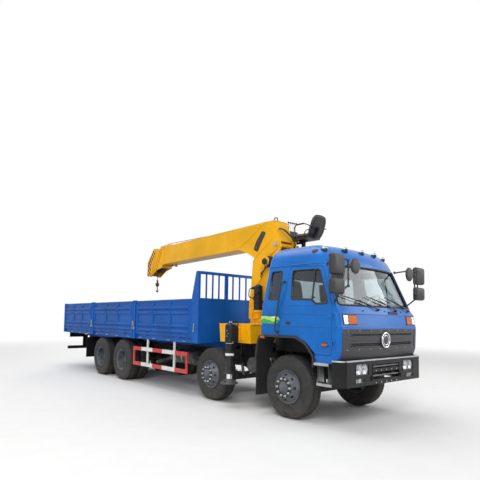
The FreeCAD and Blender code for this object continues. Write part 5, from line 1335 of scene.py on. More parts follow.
makePiece("basePipes", "chassis", "steel", pipes)
print("crane base dressed")


# column: edge flanges, pivot plates, bolts, winch with rope on its drum, slewing drive and hoses
column = {"pivot": (-1.13, 3.18), "winch": (-1.285, 2.83), "drive": (-1.51, -0.37),
          "edge": [(-1.9, 1.672), (-1.9, 1.93), (-1.885, 2.08), (-1.838, 2.38), (-1.812, 2.72), (-1.8, 2.86),
                   (-1.79, 2.9), (-1.69, 3.0), (-1.275, 3.272), (-1.23, 3.3)]}
pa, pz = column["pivot"]
shape = bmesh.new()
for side in sides.values():
    path = [at(a, side * 0.2585, z) for a, z in column["edge"]]
    addTube(shape, dense(path, 0.2), 0.0065, 8)
    # doubled plate round the pivot and a diagonal fold
    turn = stood(pa, side * 0.2545, pz) @ outwards(side)
    addLathe(shape, [(0, 0.05), (0, 0.102), (0.008, 0.102), (0.011, 0.099), (0.011, 0.05)], 40, turn)
    for start, end in (((-1.62, 2.4), (-1.27, 2.98)), ((-1.27, 2.98), (-1.12, 3.07))):
        addBar(shape, at(start[0], side * 0.258, start[1]), at(end[0], side * 0.258, end[1]), 0.01, 0.026, axisY)
    for height in (1.78, 1.95):
        addBar(shape, at(-1.885, side * 0.259, height), at(-1.175, side * 0.259, height), 0.012, 0.012, (0, 0, 1))
    for station in (-1.8, -1.53, -1.26):
        addPlate(shape, [(0.254, 1.664), (0.33, 1.664), (0.33, 1.676), (0.254, 1.775)], ahead(station) - 0.006,
                 ahead(station) + 0.006, crosswise(side))
addBlock(shape, (-1.1605, -1.152), (-0.15, 0.15), (1.9, 2.3))
addLathe(shape, [(1.602, 0.4), (1.602, 0.4185), (1.655, 0.4185), (1.662, 0.412), (1.662, 0.4)], 72,
         moved(slewAxis, 0, 0))
makePiece("columnFlanges", "crane_column", "crane", shape, bevel=0.002)
shape = bmesh.new()
for side in sides.values():
    turn = stood(pa, side * 0.265, pz) @ outwards(side)
    addBolts(shape, 6, 0.082, 0.008, 0.009, turn)
    addLathe(shape, [(0, 0), (0, 0.042), (0.006, 0.042), (0.01, 0.036), (0.01, 0)], 28,
             stood(-1.6, side * 0.102, 1.95) @ outwards(side))
    addBolts(shape, 4, 0.035, 0.006, 0.008, stood(-1.152, side * 0.1, 2.1) @ turnX)
addBolts(shape, 20, 0.372, 0.011, 0.014, moved(slewAxis, 0, 1.6655))
makePiece("columnBolts", "crane_column", "steel", shape)
# winch
wa, wz = column["winch"]
shape = bmesh.new()
turn = stood(wa, 0, wz) @ turnY
for start, end in ((-0.213, -0.201), (0.201, 0.213)):
    addLathe(shape, [(start, 0.05), (start, 0.128), (start + 0.003, 0.131), (end - 0.003, 0.131), (end, 0.128),
                     (end, 0.05)], 48, turn)
addLathe(shape, [(-0.428, 0), (-0.428, 0.062), (-0.424, 0.068), (-0.404, 0.07), (-0.402, 0.104), (-0.398, 0.112),
                 (-0.372, 0.1135), (-0.368, 0.1115), (-0.33, 0.1115), (-0.326, 0.119), (-0.312, 0.119),
                 (-0.308, 0.1115), (-0.275, 0.1115), (-0.272, 0.124), (-0.258, 0.124), (-0.256, 0.1)], 48, turn,
         closed=False)
addRod(shape, at(wa + 0.02, -0.428, wz), at(wa + 0.02, -0.47, wz), 0.04, 20)
addBlock(shape, (wa - 0.02, wa + 0.085), (-0.476, -0.43), (wz - 0.04, wz + 0.03))
addLathe(shape, [(0.256, 0), (0.256, 0.08), (0.262, 0.084), (0.276, 0.084), (0.282, 0.07), (0.284, 0)], 36, turn)
makePiece("winchMotor", "crane_column", "charcoal", shape, bevel=0.002)
shape = bmesh.new()
addBolts(shape, 12, 0.106, 0.0065, 0.008, stood(wa, -0.403, wz) @ outwards(-1))
addBolts(shape, 8, 0.07, 0.0065, 0.008, stood(wa, 0.277, wz) @ turnY)
makePiece("winchBolts", "crane_column", "steel", shape)
wound = {"radius": 0.09, "turns": 20, "sides": 6, "steps": 20}
shape = bmesh.new()
for layer, count in ((0, wound["turns"]), (1, wound["turns"] - 3)):
    coil = []
    radius = wound["radius"] + layer * 0.0155
    for i in range(count * wound["steps"] + 1):
        t = i / wound["steps"]
        spread = -0.192 + 0.0192 * (t + layer * 1.4)
        coil.append((ahead(wa) + radius * math.cos(math.tau * t), spread, wz + radius * math.sin(math.tau * t)))
    addTube(shape, coil, ropeRadius, wound["sides"])
makePiece("woundRope", "crane_column", "rope", shape, angle=60)
# slewing drive with its gearbox flange and motor
da, dy = column["drive"]
shape = bmesh.new()
addLathe(shape, [(1.838, 0), (1.838, 0.1), (1.862, 0.1), (1.866, 0.0875), (1.99, 0.0875), (1.992, 0.097),
                 (2.006, 0.097), (2.008, 0.0875), (2.16, 0.0875), (2.162, 0.095), (2.178, 0.095), (2.18, 0.0875),
                 (2.338, 0.0875), (2.345, 0.08), (2.345, 0.052), (2.366, 0.05), (2.37, 0.042), (2.37, 0)], 44,
         stood(da, dy, 0))
addBlock(shape, (da - 0.066, da + 0.066), (-0.3, -0.262), (1.88, 2.04))
addRod(shape, at(da - 0.05, dy - 0.02, 2.3), at(da - 0.125, dy - 0.06, 2.3), 0.03, 16)
addRod(shape, at(da + 0.05, dy - 0.04, 2.23), at(da + 0.11, dy - 0.09, 2.23), 0.026, 16)
makePiece("slewDrive", "crane_column", "charcoal", shape, bevel=0.002)
shape = bmesh.new()
addBolts(shape, 10, 0.108, 0.0065, 0.009, stood(da, dy, 1.838))
addBolts(shape, 8, 0.067, 0.006, 0.008, stood(da, dy, 2.345))
makePiece("slewDriveBolts", "crane_column", "steel", shape)
shape = bmesh.new()
addLathe(shape, [(1.664, 0), (1.664, 0.095), (1.69, 0.095), (1.694, 0.075), (1.77, 0.08), (1.806, 0.116),
                 (1.838, 0.118), (1.838, 0)], 40, stood(da, dy, 0))
makePiece("slewGearCase", "crane_column", "crane", shape, bevel=0.002)
# hoses up the left ear and across to the drives
shape, clips = bmesh.new(), bmesh.new()
for k in range(5):
    y, a = 0.278 + 0.02 * (k % 2), -1.67 - 0.023 * k
    path = bent([at(a, y + 0.02, 1.69), at(a, y, 1.8), at(a, y, 2.3), at(a + 0.06, y, 2.62),
                 at(a + 0.23, y, 2.86 + 0.02 * k), at(a + 0.36, y, 3.02 + 0.012 * k),
                 at(-1.19 + 0.004 * k, y, 3.085 + 0.012 * k)], 0.09, steps=6)
    addTube(shape, path, 0.0095, 8)
for start, end in (((da + 0.11, dy - 0.09, 2.23), (-1.672, -0.262, 2.08)),
                   ((da - 0.125, dy - 0.06, 2.3), (-1.7, -0.262, 2.12))):
    path = bent([at(*start), at(start[0], start[1] - 0.07, start[2] - 0.02), at((start[0] + end[0]) / 2, -0.5,
            (start[2] + end[2]) / 2 - 0.1), at(end[0] + 0.02, -0.34, end[2] - 0.03), at(*end)], 0.09, steps=6)
    addTube(shape, path, 0.0095, 8)
for k, (start, end) in enumerate((((wa + 0.085, -0.452, wz - 0.02), (-1.5, -0.262, 2.58)),
                                  ((wa + 0.04, -0.46, wz - 0.04), (-1.53, -0.262, 2.54)))):
    path = bent([at(*start), at(start[0] + 0.03, start[1], start[2] - 0.1), at(-1.36, -0.46, 2.58 - 0.05 * k),
                 at(end[0] + 0.08, -0.36, end[2]), at(*end)], 0.09, steps=6)
    addTube(shape, path, 0.0095, 8)
for height in (1.86, 2.08, 2.28):
    addBlock(clips, (-1.788, -1.644), (0.258, 0.318), (height - 0.012, height + 0.012))
makePiece("columnHoses", "crane_column", "rubber", shape)
makePiece("hoseClips", "crane_column", "steel", clips, bevel=0.002)
print("column dressed")


# boom: everything is laid out in the boom's own frame, measured from its pivot
boomTilt = math.radians(1.0)
boomPlace = stood(pa, 0, pz) @ Matrix.Rotation(-boomTilt, 4, "Y")
boom = {"half": 0.2,
        "slot": [(-0.335, 0.305), (-0.455, 0.36), (-0.64, 0.15), (-0.728, -0.015), (-0.59, -0.08), (-0.49, 0.095)],
        "seam": [(-0.3, 0.52), (-0.48, 0.47), (-0.8, 0.27), (-1.1, 0.115), (-1.34, 0.055)],
        "foot": [(-1.36, 0.047), (-1.18, 0.038), (-0.87, -0.088), (-0.71, -0.192), (-0.6, -0.195), (-0.07, -0.116)]}
shape, cover, marks = bmesh.new(), bmesh.new(), bmesh.new()
half = boom["half"]
for side in sides.values():
    addPlate(cover, bent(boom["slot"], 0.05, closed=True), half - 0.001, half + 0.006, upright(side))
    for u, v in ((-0.43, 0.285), (-0.55, 0.15), (-0.635, 0.02)):
        addLathe(marks, [(0, 0), (0, 0.018), (0.003, 0.018), (0.003, 0.012), (0.0015, 0.01), (0.0015, 0)], 18,
                 moved(u, side * (half + 0.0055), v) @ outwards(side))
    # weld beads of the root, the folded edge above the knuckle and along the box
    addTube(shape, dense(bent([(u, side * (half + 0.001), v) for u, v in boom["seam"]], 0.1), 0.1), 0.0045, 6)
    for v in (0.523, 0.047):
        addTube(shape, [(-1.36, side * half, v), (-4.475, side * half, v)], 0.0055, 8)
    addTube(shape, bent([(u, side * (half + 0.0005), v) for u, v in boom["foot"]], 0.12), 0.0065, 8)
    # pressed strips that stiffen the side plate
    for u in (-1.4, -2.9):
        addBar(shape, (u, side * (half + 0.001), 0.06), (u, side * (half + 0.001), 0.51), 0.01, 0.008, axisX)
    # collar ribs at the mouth of the outer box
    for u in (-4.478, -4.395):
        for v in (0.542, 0.028):
            addBar(shape, (u, 0, v), (u, side * 0.212, v), 0.012, 0.012)
        addBar(shape, (u, side * 0.213, 0.028), (u, side * 0.213, 0.542), 0.012, 0.012, axisX)
    addPlate(shape, [(-4.39, 0.541), (-4.39, 0.6), (-4.36, 0.615), (-4.28, 0.541)], 0.085, 0.097, upright(side))
    # hook rests under the box
    addPlate(shape, [(-4.12, 0.04), (-4.12, -0.02), (-4.09, -0.045), (-4.05, -0.045), (-4.05, -0.012),
                     (-4.075, -0.005), (-4.075, 0.04)], 0.02, 0.03, upright(side))
addBox(shape, (-4.46, -4.32), (-0.075, 0.075), (0.541, 0.6))
addBox(shape, (-0.2, -0.12), (-0.03, 0.03), (0.525, 0.54))
addBox(shape, (-1.9, -1.8), (-0.1, 0.1), (0.528, 0.542))
makePiece("boomSeams", "boom", "crane", placed(shape, boomPlace), bevel=0.002)
makePiece("slotCovers", "boom", "cover", placed(cover, boomPlace), bevel=0.002)
makePiece("slotCoverScrews", "boom", "cast", placed(marks, boomPlace))
shape = bmesh.new()
addTube(shape, [(-0.245 + 0.052 * math.sin(math.tau * i / 28), 0.0, 0.5845 + 0.052 * math.cos(math.tau * i / 28))
                for i in range(28)], 0.0125, 10, closed=True)
addRod(shape, (-0.245, 0, 0.526), (-0.245, 0, 0.545), 0.028, 18, 0.024)
addTube(shape, [(-4.28, 0, -0.02), (-4.28, 0, 0.04)], 0.016, 12)
makePiece("liftingEye", "boom", "cast", placed(shape, boomPlace))
shape = bmesh.new()
for k in (0, 1):
    addTube(shape, bent([(-0.03, -0.125 + 0.03 * k, 0.36), (0.075, -0.09 + 0.03 * k, 0.315),
                         (0.175, 0.05 + 0.03 * k, 0.14), (0.17, 0.155, 0.02), (0.085, 0.175 + 0.012 * k, -0.07)],
                        0.12), 0.0125, 10)
makePiece("rootHoses", "boom", "rubber", placed(shape, boomPlace))
# pivot pin's end plates with their locking bars
shape = bmesh.new()
for side in sides.values():
    addLathe(shape, [(0, 0), (0, 0.044), (0.004, 0.0445), (0.012, 0.042), (0.012, 0)], 36,
             moved(0, side * 0.27, 0) @ outwards(side))
    addBar(shape, (-0.05, side * 0.285, 0.02), (0.05, side * 0.285, -0.02), 0.01, 0.022, axisY)
makePiece("pivotCaps", "boom", "steel", placed(shape, boomPlace), bevel=0.002)
# rope run from the knuckle along the box's top to the head, over its guide rollers
shape, rollers = bmesh.new(), bmesh.new()
for u, v in ((-0.52, 0.565), (-2.6, 0.565), (-4.4, 0.618)):
    addLathe(rollers, [(-0.06, 0), (-0.06, 0.024), (-0.054, 0.026), (-0.046, 0.018), (0.046, 0.018), (0.054, 0.026),
                       (0.06, 0.024), (0.06, 0)], 22, moved(u, 0, v) @ turnY)
    for s in (-1, 1):
        addPlate(shape, [(u - 0.035, 0.529), (u + 0.035, 0.529), (u + 0.018, v + 0.016), (u - 0.018, v + 0.016)],
                 s * 0.062, s * 0.07, upright())
makePiece("ropeRollers", "boom", "steel", placed(rollers, boomPlace))
makePiece("ropeRollerBrackets", "boom", "crane", placed(shape, boomPlace), bevel=0.001)
shape = bmesh.new()
addTube(shape, dense([(-0.3, 0, 0.584), (-0.52, 0, 0.592), (-2.6, 0, 0.592), (-4.4, 0, 0.6445)], 0.5), ropeRadius, 8)
makePiece("boomRopeRun", "boom", "rope", placed(shape, boomPlace), angle=60)

# boom head: banded nose, folded ribs, rope guard and sheave rims
head = {"half": 0.164, "nose": [(-5.03, 0.552), (-5.365, 0.18), (-5.38, -0.22), (-5.19, -0.248), (-5.205, 0.1),
                                (-4.9, 0.44)], "fold": [(-4.57, 0.492), (-5.028, 0.546), (-5.36, 0.176),
                                                        (-5.374, -0.214), (-5.185, -0.248), (-4.866, -0.086),
                                                        (-4.57, -0.026)], "ribs": [((-4.7, 0.46), (-5.02, -0.13),
        0.016), ((-4.86, 0.49), (-5.14, -0.19), 0.016), ((-4.62, 0.44), (-4.86, -0.06), 0.014)]}
half = head["half"]
shape, bands = bmesh.new(), bmesh.new()
for side in sides.values():
    addPlate(bands, bent(head["nose"], 0.03, closed=True), half - 0.002, half + 0.004, upright(side))
    for start, end, wide in head["ribs"]:
        out = side * (half + 0.007)
        addBar(shape, (start[0], out, start[1]), (end[0], out, end[1]), wide, 0.022, axisY)
    turn = moved(-4.93, side * half, 0) @ outwards(side)
    addLathe(shape, [(0, 0), (0, 0.062), (0.008, 0.06), (0.01, 0.054), (0.01, 0)], 32, turn)
    addTube(shape, bent([(u, side * (half + 0.001), v) for u, v in head["fold"]], 0.05), 0.006, 8)
    addPlate(shape, [(-4.72, 0.512), (-4.72, 0.575), (-4.8, 0.59), (-4.92, 0.535)], 0.03, 0.04, upright(side))
addBox(bands, (-5.3845, -5.3785), (-0.16, 0.16), (-0.205, 0.18))
outline = [(-5.37, 0.196), (-5.045, 0.558), (-5.04, 0.552), (-5.364, 0.19)]
addPlate(bands, outline, -0.16, 0.16, upright())
makePiece("boomNoseBands", "boom_tip", "hazard", placed(bands, boomPlace), bevel=0.0015)
makePiece("boomHeadRibs", "boom_tip", "crane", placed(shape, boomPlace), bevel=0.0015)
shape = bmesh.new()
addLathe(shape, [(-0.045, 0), (-0.045, 0.034), (-0.04, 0.036), (-0.032, 0.024), (0.032, 0.024), (0.04, 0.036),
                 (0.045, 0.034), (0.045, 0)], 24, moved(-4.795, 0, 0.585) @ turnY)
for v in (-0.1, -0.2):
    addRod(shape, (-5.235, -0.145, v), (-5.235, 0.145, v), 0.011, 12)
makePiece("headRollers", "boom_tip", "steel", placed(shape, boomPlace))
shape = bmesh.new()
for side in sides.values():
    addBolts(shape, 6, 0.045, 0.006, 0.007, boomPlace @ moved(-4.93, side * (half + 0.01), 0) @ outwards(side))
makePiece("headBolts", "boom_tip", "steel", shape)
sheave = [(-0.026, 0.0303), (-0.034, 0.0303), (-0.034, 0.055), (-0.012, 0.06), (-0.01, 0.105), (-0.024, 0.112),
          (-0.026, 0.15), (-0.02, 0.152), (-0.01, 0.134)]
sheaveSpot = boomPlace @ Vector((-4.93, 0, 0))
shape = bmesh.new()
addLathe(shape, sheave + [(0.0, 0.1305)] + [(-w, r) for w, r in reversed(sheave)], 56, Matrix.Translation(sheaveSpot)
         @ turnY)
makePiece("sheaveRim", "boom_tip", "cast", shape, ["head_sheave"])

# rope round the sheave, then down to the hook as a stranded line
rope = {"x": sheaveSpot.x - 0.14, "top": sheaveSpot.z, "low": 2.7595, "turns": 11}
shape = bmesh.new()
points = [(sheaveSpot.x - 0.14 * math.cos(t * math.pi / 16), 0, sheaveSpot.z + 0.14 * math.sin(t * math.pi / 16))
          for t in range(10)]
over = boomPlace @ Vector((-4.795, 0, 0.617))
points += [Vector((points[-1][0] + 0.05, 0, points[-1][2] + 0.12)), over]
addTube(shape, points, ropeRadius, 8)
makePiece("headRope", "boom_tip", "rope", shape, angle=60)
shape = bmesh.new()
for strand in range(6):
    line, count = [], rope["turns"] * 8
    for i in range(count + 1):
        t = i / count
        turnAt = math.tau * (rope["turns"] * t + strand / 6)
        line.append((rope["x"] + 0.0052 * math.cos(turnAt), 0.0052 * math.sin(turnAt),
                     rope["top"] + (rope["low"] - rope["top"]) * t))
    addTube(shape, line, 0.0036, 6)
piece = makePiece("hoistRope", None, "rope", shape, ["hoist_rope"], angle=60)
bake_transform(piece)

# hook: socket, ball weight, swivel, forged hook with its latch
hook = {"low": 2.39}
x, z = rope["x"], hook["low"]
shape = bmesh.new()
addLathe(shape, [(0.37, 0), (0.37, 0.012), (0.362, 0.018), (0.3, 0.026), (0.28, 0.027), (0.276, 0.04), (0.262, 0.05),
                 (0.24, 0.0545), (0.215, 0.0545), (0.194, 0.049), (0.182, 0.038), (0.18, 0.0)], 40, moved(x, 0, z))
makePiece("hookWeight", "hook", "hookRed", shape, ["hook"])
shape = bmesh.new()
addLathe(shape, [(0.181, 0), (0.181, 0.022), (0.172, 0.026), (0.16, 0.026), (0.156, 0.016), (0.12, 0.0145),
                 (0.11, 0.0145), (0.11, 0)], 28, moved(x, 0, z))
addRod(shape, (x, -0.034, z + 0.325), (x, 0.034, z + 0.325), 0.009, 12)
makePiece("hookSwivel", "hook", "cast", shape, bevel=0.001)
shape = bmesh.new()
# middle line of the forging: ahead, up, radius
centre = [(0.0, 0.118, 0.015), (0.01, 0.1, 0.0155), (0.034, 0.078, 0.0165), (0.047, 0.05, 0.0185),
          (0.036, 0.022, 0.0205), (0.006, 0.0105, 0.0215), (-0.028, 0.018, 0.02), (-0.048, 0.04, 0.0165),
          (-0.055, 0.064, 0.012), (-0.054, 0.08, 0.007)]
rings = []
for i, (u, v, radius) in enumerate(centre):
    before, after = centre[max(i - 1, 0)], centre[min(i + 1, len(centre) - 1)]
    along = Vector((after[0] - before[0], 0, after[1] - before[1])).normalized()
    across = Vector((-along.z, 0, along.x))
    rings.append([shape.verts.new(Vector((x + u, 0.78 * radius * math.sin(t), z + v)) + across * radius * math.cos(t))
                  for t in [math.tau * k / 14 for k in range(14)]])
skin(shape, rings)
makePiece("forgedHook", "hook", "hookRed", shape, angle=60, subdivide=1)
shape = bmesh.new()
addBar(shape, (x + 0.008, 0, z + 0.098), (x - 0.048, 0, z + 0.06), 0.02, 0.004, axisY)
addRod(shape, (x + 0.008, -0.017, z + 0.098), (x + 0.008, 0.017, z + 0.098), 0.005, 10)
makePiece("hookLatch", "hook", "steel", shape, bevel=0.001)
print("boom and hook dressed")


# lift cylinder: gland, bands, ports and pipe on the barrel, eye rings on the rod
lift = {"foot": (-1.6, 0, 1.95), "eye": (-1.8, 0, 3.058)}
foot, eye = at(*lift["foot"]), at(*lift["eye"])
along = (eye - foot).normalized()
cylinderPlace = Matrix.Translation(foot) @ along.to_track_quat("Z", "X").to_matrix().to_4x4()
shape = bmesh.new()
addLathe(shape, [(0.1, 0.0), (0.1, 0.078), (0.104, 0.0845), (0.122, 0.0845), (0.126, 0.0805), (0.83, 0.0805),
                 (0.832, 0.088), (0.85, 0.088), (0.852, 0.084), (0.925, 0.084), (0.931, 0.08), (0.934, 0.06),
                 (0.934, 0.046)], 44, cylinderPlace, closed=False)
for k in range(3):
    start = 0.28 + 0.2 * k
    addLathe(shape, oblong((start, start + 0.012), (0.08, 0.0835)), 44, cylinderPlace)
makePiece("liftBarrelSkin", "lift_barrel", "crane", shape, angle=34)
shape = bmesh.new()
for spot in (0.16, 0.84):
    addRod(shape, cylinderPlace @ Vector((0, -0.076, spot)), cylinderPlace @ Vector((0, -0.104, spot)), 0.018, 14)
path = [cylinderPlace @ Vector(p) for p in ((0, -0.098, 0.84), (0, -0.126, 0.83), (0, -0.122, 0.2), (0, -0.098, 0.16))]
addTube(shape, bent(path, 0.03), 0.008, 8)
makePiece("liftPipes", "lift_barrel", "steel", shape)
shape = bmesh.new()
for side in sides.values():
    turn = Matrix.Translation(eye + Vector((0, side * 0.0505, 0))) @ outwards(side)
    addLathe(shape, [(0, 0.031), (0, 0.063), (0.004, 0.065), (0.01, 0.062), (0.012, 0.052), (0.012, 0.031)], 36, turn)
makePiece("liftEyeRings", "lift_rod", "cast", shape)
print("lift cylinder dressed")


# padded pieces: a closed blank is remeshed fine, blown up as cloth under pressure, then stitched
padding = {"voxel": 0.0075, "pressure": 4.0, "frames": 20, "groove": 0.005, "grooveWidth": 0.007, "piping": 0.0045}


def centroid(outline):
    return Vector((sum(p.x for p in outline) / len(outline), sum(p.y for p in outline) / len(outline)))


def padBlank(outline, low, high, inset, place):
    # rounded slab: rings of one outline, drawn in towards both faces
    bm, rings, middle = bmesh.new(), [], centroid(outline)
    for share, pulled in ((0.0, inset), (0.12, inset * 0.35), (0.35, inset * 0.04), (0.65, inset * 0.04),
                          (0.88, inset * 0.35), (1.0, inset)):
        ring = []
        for p in outline:
            aside = p - middle
            spot = middle + aside * (1 - pulled / max(aside.length, 1e-4))
            ring.append(bm.verts.new(place(spot.x, spot.y, low + (high - low) * share)))
        rings.append(ring)
    skin(bm, rings)
    return bm


def blownUp(bm, cap):
    # remesh and cloth pressure, with each point's travel capped
    blank = newObject("padBlank", asMesh("padBlank", bm))
    fine = blank.modifiers.new("voxels", "REMESH")
    fine.mode, fine.voxel_size = "VOXEL", padding["voxel"]
    mesh = meshOf(blank)
    bpy.data.objects.remove(blank)
    pad = newObject("pad", mesh)
    start = [v.co.copy() for v in mesh.vertices]
    cloth = pad.modifiers.new("cloth", "CLOTH")
    cloth.settings.use_pressure = True
    cloth.settings.uniform_pressure_force = padding["pressure"]
    cloth.settings.effector_weights.gravity = 0
    cloth.point_cache.frame_end = padding["frames"]
    for number in range(1, padding["frames"] + 1):
        bpy.context.scene.frame_set(number)
    done = bpy.data.meshes.new_from_object(pad.evaluated_get(bpy.context.evaluated_depsgraph_get()))
    bpy.data.objects.remove(pad)
    bpy.context.scene.frame_set(1)
    for vertex, first in zip(done.vertices, start):
        travel = vertex.co - first
        if travel.length > cap:
            vertex.co = first + travel.normalized() * cap
    return done


def stitched(mesh, lines):
    # sewn channels: points near a line's plane sink along their normals
    normals = [v.normal.copy() for v in mesh.vertices]
    for vertex, normal in zip(mesh.vertices, normals):
        for origin, across, facing in lines:
            near = abs((vertex.co - origin).dot(across))
            if near < padding["grooveWidth"] * 2 and normal.dot(facing) > 0.3:
                vertex.co -= normal * padding["groove"] * math.exp(-(near / padding["grooveWidth"]) ** 2 * 2)


def pipingOn(mesh, outline, depth, place, name, body):
    # cord sewn round the edge, laid on the blown-up surface
    tree = BVHTree.FromPolygons([v.co for v in mesh.vertices], [p.vertices for p in mesh.polygons])
    middle = centroid(outline)
    inner, path = place(middle.x, middle.y, depth), []
    for p in outline:
        far = middle + (p - middle) * 1.6
        out = place(far.x, far.y, depth)
        hit = tree.ray_cast(out, (inner - out).normalized())[0]
        if hit is not None:
            path.append(hit)
    shape = bmesh.new()
    addTube(shape, path, padding["piping"], 8, closed=True)
    makePiece(name, body, "vinyl", shape)


def makePad(name, body, outline, low, high, place, lines, cap, replaces=(), inset=0.035, step=0.03, pipings=()):
    outline = rounded(outline, 0.09, step)
    mesh = blownUp(padBlank(outline, low, high, inset, place), cap)
    stitched(mesh, lines)
    for k, depth in enumerate(pipings):
        pipingOn(mesh, outline, depth, place, name + "Piping" + str(k + 1), body)
    piece = makePiece(name, body, "vinyl", mesh, replaces, angle=180, subdivide=1)
    return piece


# operator's seat on its bracket, facing the load bed: shell, two pads, arm rails, stand and levers
craneSeat = {"y": 0.5, "seatLow": 3.365, "seatHigh": 3.452, "lean": math.radians(20)}
y, lean = craneSeat["y"], craneSeat["lean"]
backFoot = at(-0.735, y, 3.385)
backUp, backOut = Vector((math.sin(lean), 0, math.cos(lean))), Vector((-math.cos(lean), 0, math.sin(lean)))


def onBack(u, v, depth):
    # u across, v up the back rest, depth forwards out of it
    return backFoot + Vector((0, u, 0)) + backUp * v + backOut * depth


def onSeat(u, v, depth):
    # the cushion rises a little towards its front edge
    return at(u, y + v, depth + 0.02 * max(0.0, min(1.0, (-0.73 - u) / 0.5)))


def besideSeat(u, v, d):
    # plates lengthwise at a seat: outline of (station, height), depth across from the seat's middle
    return at(u, y + d, v)


backEdge = [(-0.18, 0.0), (0.18, 0.0), (0.208, 0.14), (0.2, 0.32), (0.155, 0.425), (0.0, 0.445), (-0.155, 0.425),
            (-0.2, 0.32), (-0.208, 0.14)]
makePad("operatorBackPad", "crane_column", backEdge, 0.012, 0.082, onBack, [(onBack(0, 0.12, 0.08), backUp, backOut),
        (onBack(0, 0.27, 0.08), backUp, backOut)], 0.02, ["operator_seat"], pipings=(0.03,))
seatEdge = [(-1.235, -0.15), (-1.205, -0.2), (-0.76, -0.195), (-0.73, -0.15), (-0.73, 0.15), (-0.76, 0.195),
            (-1.205, 0.2), (-1.235, 0.15)]
makePad("operatorSeatPad", "crane_column", seatEdge, craneSeat["seatLow"], craneSeat["seatHigh"] - 0.012, onSeat,
        [(at(-0.9, 0, 0), axisX, axisZ), (at(-1.05, 0, 0), axisX, axisZ)],
        0.018, pipings=(craneSeat["seatLow"] + 0.03,))
# moulded shell behind the back pad and pan under the seat
shape = bmesh.new()
outline = rounded([(u * 1.06, 0.235 + (v - 0.235) * 1.06) for u, v in backEdge], 0.09, 0.03)
rings = []
for depth, shrink in ((0.03, 1.0), (0.012, 1.012), (-0.004, 0.99), (-0.02, 0.93), (-0.03, 0.8), (-0.034, 0.5)):
    rings.append([shape.verts.new(onBack(p.x * shrink, 0.235 + (p.y - 0.235) * shrink, depth)) for p in outline])
skin(shape, rings)
pan = rounded([(u, v * 1.03) for u, v in seatEdge], 0.09, 0.04)
addPlate(shape, pan, 3.345, 3.372, lambda u, v, d: at(u, y + v, d))
addPlate(shape, [(-0.78, 3.345), (-0.64, 3.345), (-0.585, 3.47), (-0.56, 3.56), (-0.59, 3.565), (-0.66, 3.43),
                 (-0.78, 3.372)], -0.06, 0.06, besideSeat)
makePiece("operatorSeatShell", "crane_column", "plastic", shape, bevel=0.004, angle=40)
shape = bmesh.new()
for rib in range(5):
    v = 0.1 + 0.07 * rib
    addTube(shape, [onBack(-0.13, v, -0.029), onBack(0, v, -0.036), onBack(0.13, v, -0.029)], 0.004, 6)
for s in (-1, 1):
    # arm rail: a bent tube beside the pads
    path = bent([onBack(s * 0.222, 0.2, -0.012), onBack(s * 0.235, 0.2, 0.02), at(-0.8, y + s * 0.242, 3.64),
                 at(-1.06, y + s * 0.242, 3.64), at(-1.1, y + s * 0.242, 3.56), at(-1.02, y + s * 0.232, 3.362)],
                0.06)
    addTube(shape, path, 0.011, 10)
    addTube(shape, bent([onBack(s * 0.216, 0.14, -0.01), at(-0.8, y + s * 0.23, 3.5),
                         at(-0.86, y + s * 0.225, 3.362)], 0.05), 0.009, 10)
    addRod(shape, at(-1.04, y + s * 0.242, 3.646), at(-0.84, y + s * 0.242, 3.646), 0.017, 12)
addTube(shape, bent([onBack(-0.236, 0.2, 0.02), onBack(-0.225, 0.2, -0.055), onBack(0.225, 0.2, -0.055),
                     onBack(0.236, 0.2, 0.02)], 0.05), 0.0095, 10)
rim = rounded([(u * 0.82, 0.235 + (v - 0.235) * 0.84) for u, v in backEdge], 0.09, 0.04)
addTube(shape, [onBack(p.x, p.y, -0.031) for p in rim], 0.0075, 8, closed=True)
makePiece("operatorArmRails", "crane_column", "plastic", shape)
# bracket arm, post, stand and foot rest
shape = bmesh.new()
addBar(shape, at(-1.045, 0.256, 3.125), at(-1.045, y + 0.03, 3.125), 0.068, 0.068)
addPlate(shape, oblong((-1.115, -0.975), (3.06, 3.19)), 0.2555, 0.2675, lambda u, v, d: at(u, d, v))
addRod(shape, at(-1.045, y, 3.1), at(-1.045, y, 3.345), 0.045, 28)
addRod(shape, at(-1.045, y, 3.085), at(-1.045, y, 3.11), 0.062, 28)
addRod(shape, at(-1.045, y, 3.322), at(-1.045, y, 3.346), 0.095, 32)
addBar(shape, at(-1.0, y, 3.3), at(-1.42, y, 3.3), 0.05, 0.044)
for s in (-1, 1):
    addPlate(shape, [(0.3, 3.092), (0.3, 3.0), (0.268, 2.96), (0.268, 3.092)], ahead(-1.045) + s * 0.03 - 0.004,
             ahead(-1.045) + s * 0.03 + 0.004, crosswise())
makePiece("operatorBracket", "crane_column", "chassis", shape, bevel=0.003)
shape = bmesh.new()
outline = [(-1.42, 3.322), (-1.332, 3.322), (-1.332, 3.5), (-1.35, 3.578), (-1.4, 3.578), (-1.42, 3.5)]
addPlate(shape, outline, -0.155, 0.155, besideSeat)
addBlock(shape, (-1.324, -1.328), (y - 0.1, y + 0.1), (3.375, 3.47))
makePiece("leverStand", "crane_column", "charcoal", shape, bevel=0.005)
shape, knobs = bmesh.new(), bmesh.new()
for k in range(-2, 3):
    top = at(-1.375 + 0.006 * k, y + 0.055 * k, 3.77)
    addTube(shape, bent([at(-1.375, y + 0.055 * k, 3.57), at(-1.375, y + 0.055 * k, 3.63), top], 0.03), 0.0055, 8)
    addLathe(shape, [(3.576, 0.0), (3.576, 0.022), (3.584, 0.021), (3.592, 0.01), (3.606, 0.007), (3.606, 0)], 14,
             stood(-1.375, y + 0.055 * k, 0))
    addLathe(knobs, [(-0.026, 0), (-0.022, 0.012), (-0.008, 0.018), (0.008, 0.018), (0.018, 0.013), (0.024, 0)], 14,
             Matrix.Translation(top))
makePiece("standLevers", "crane_column", "steel", shape)
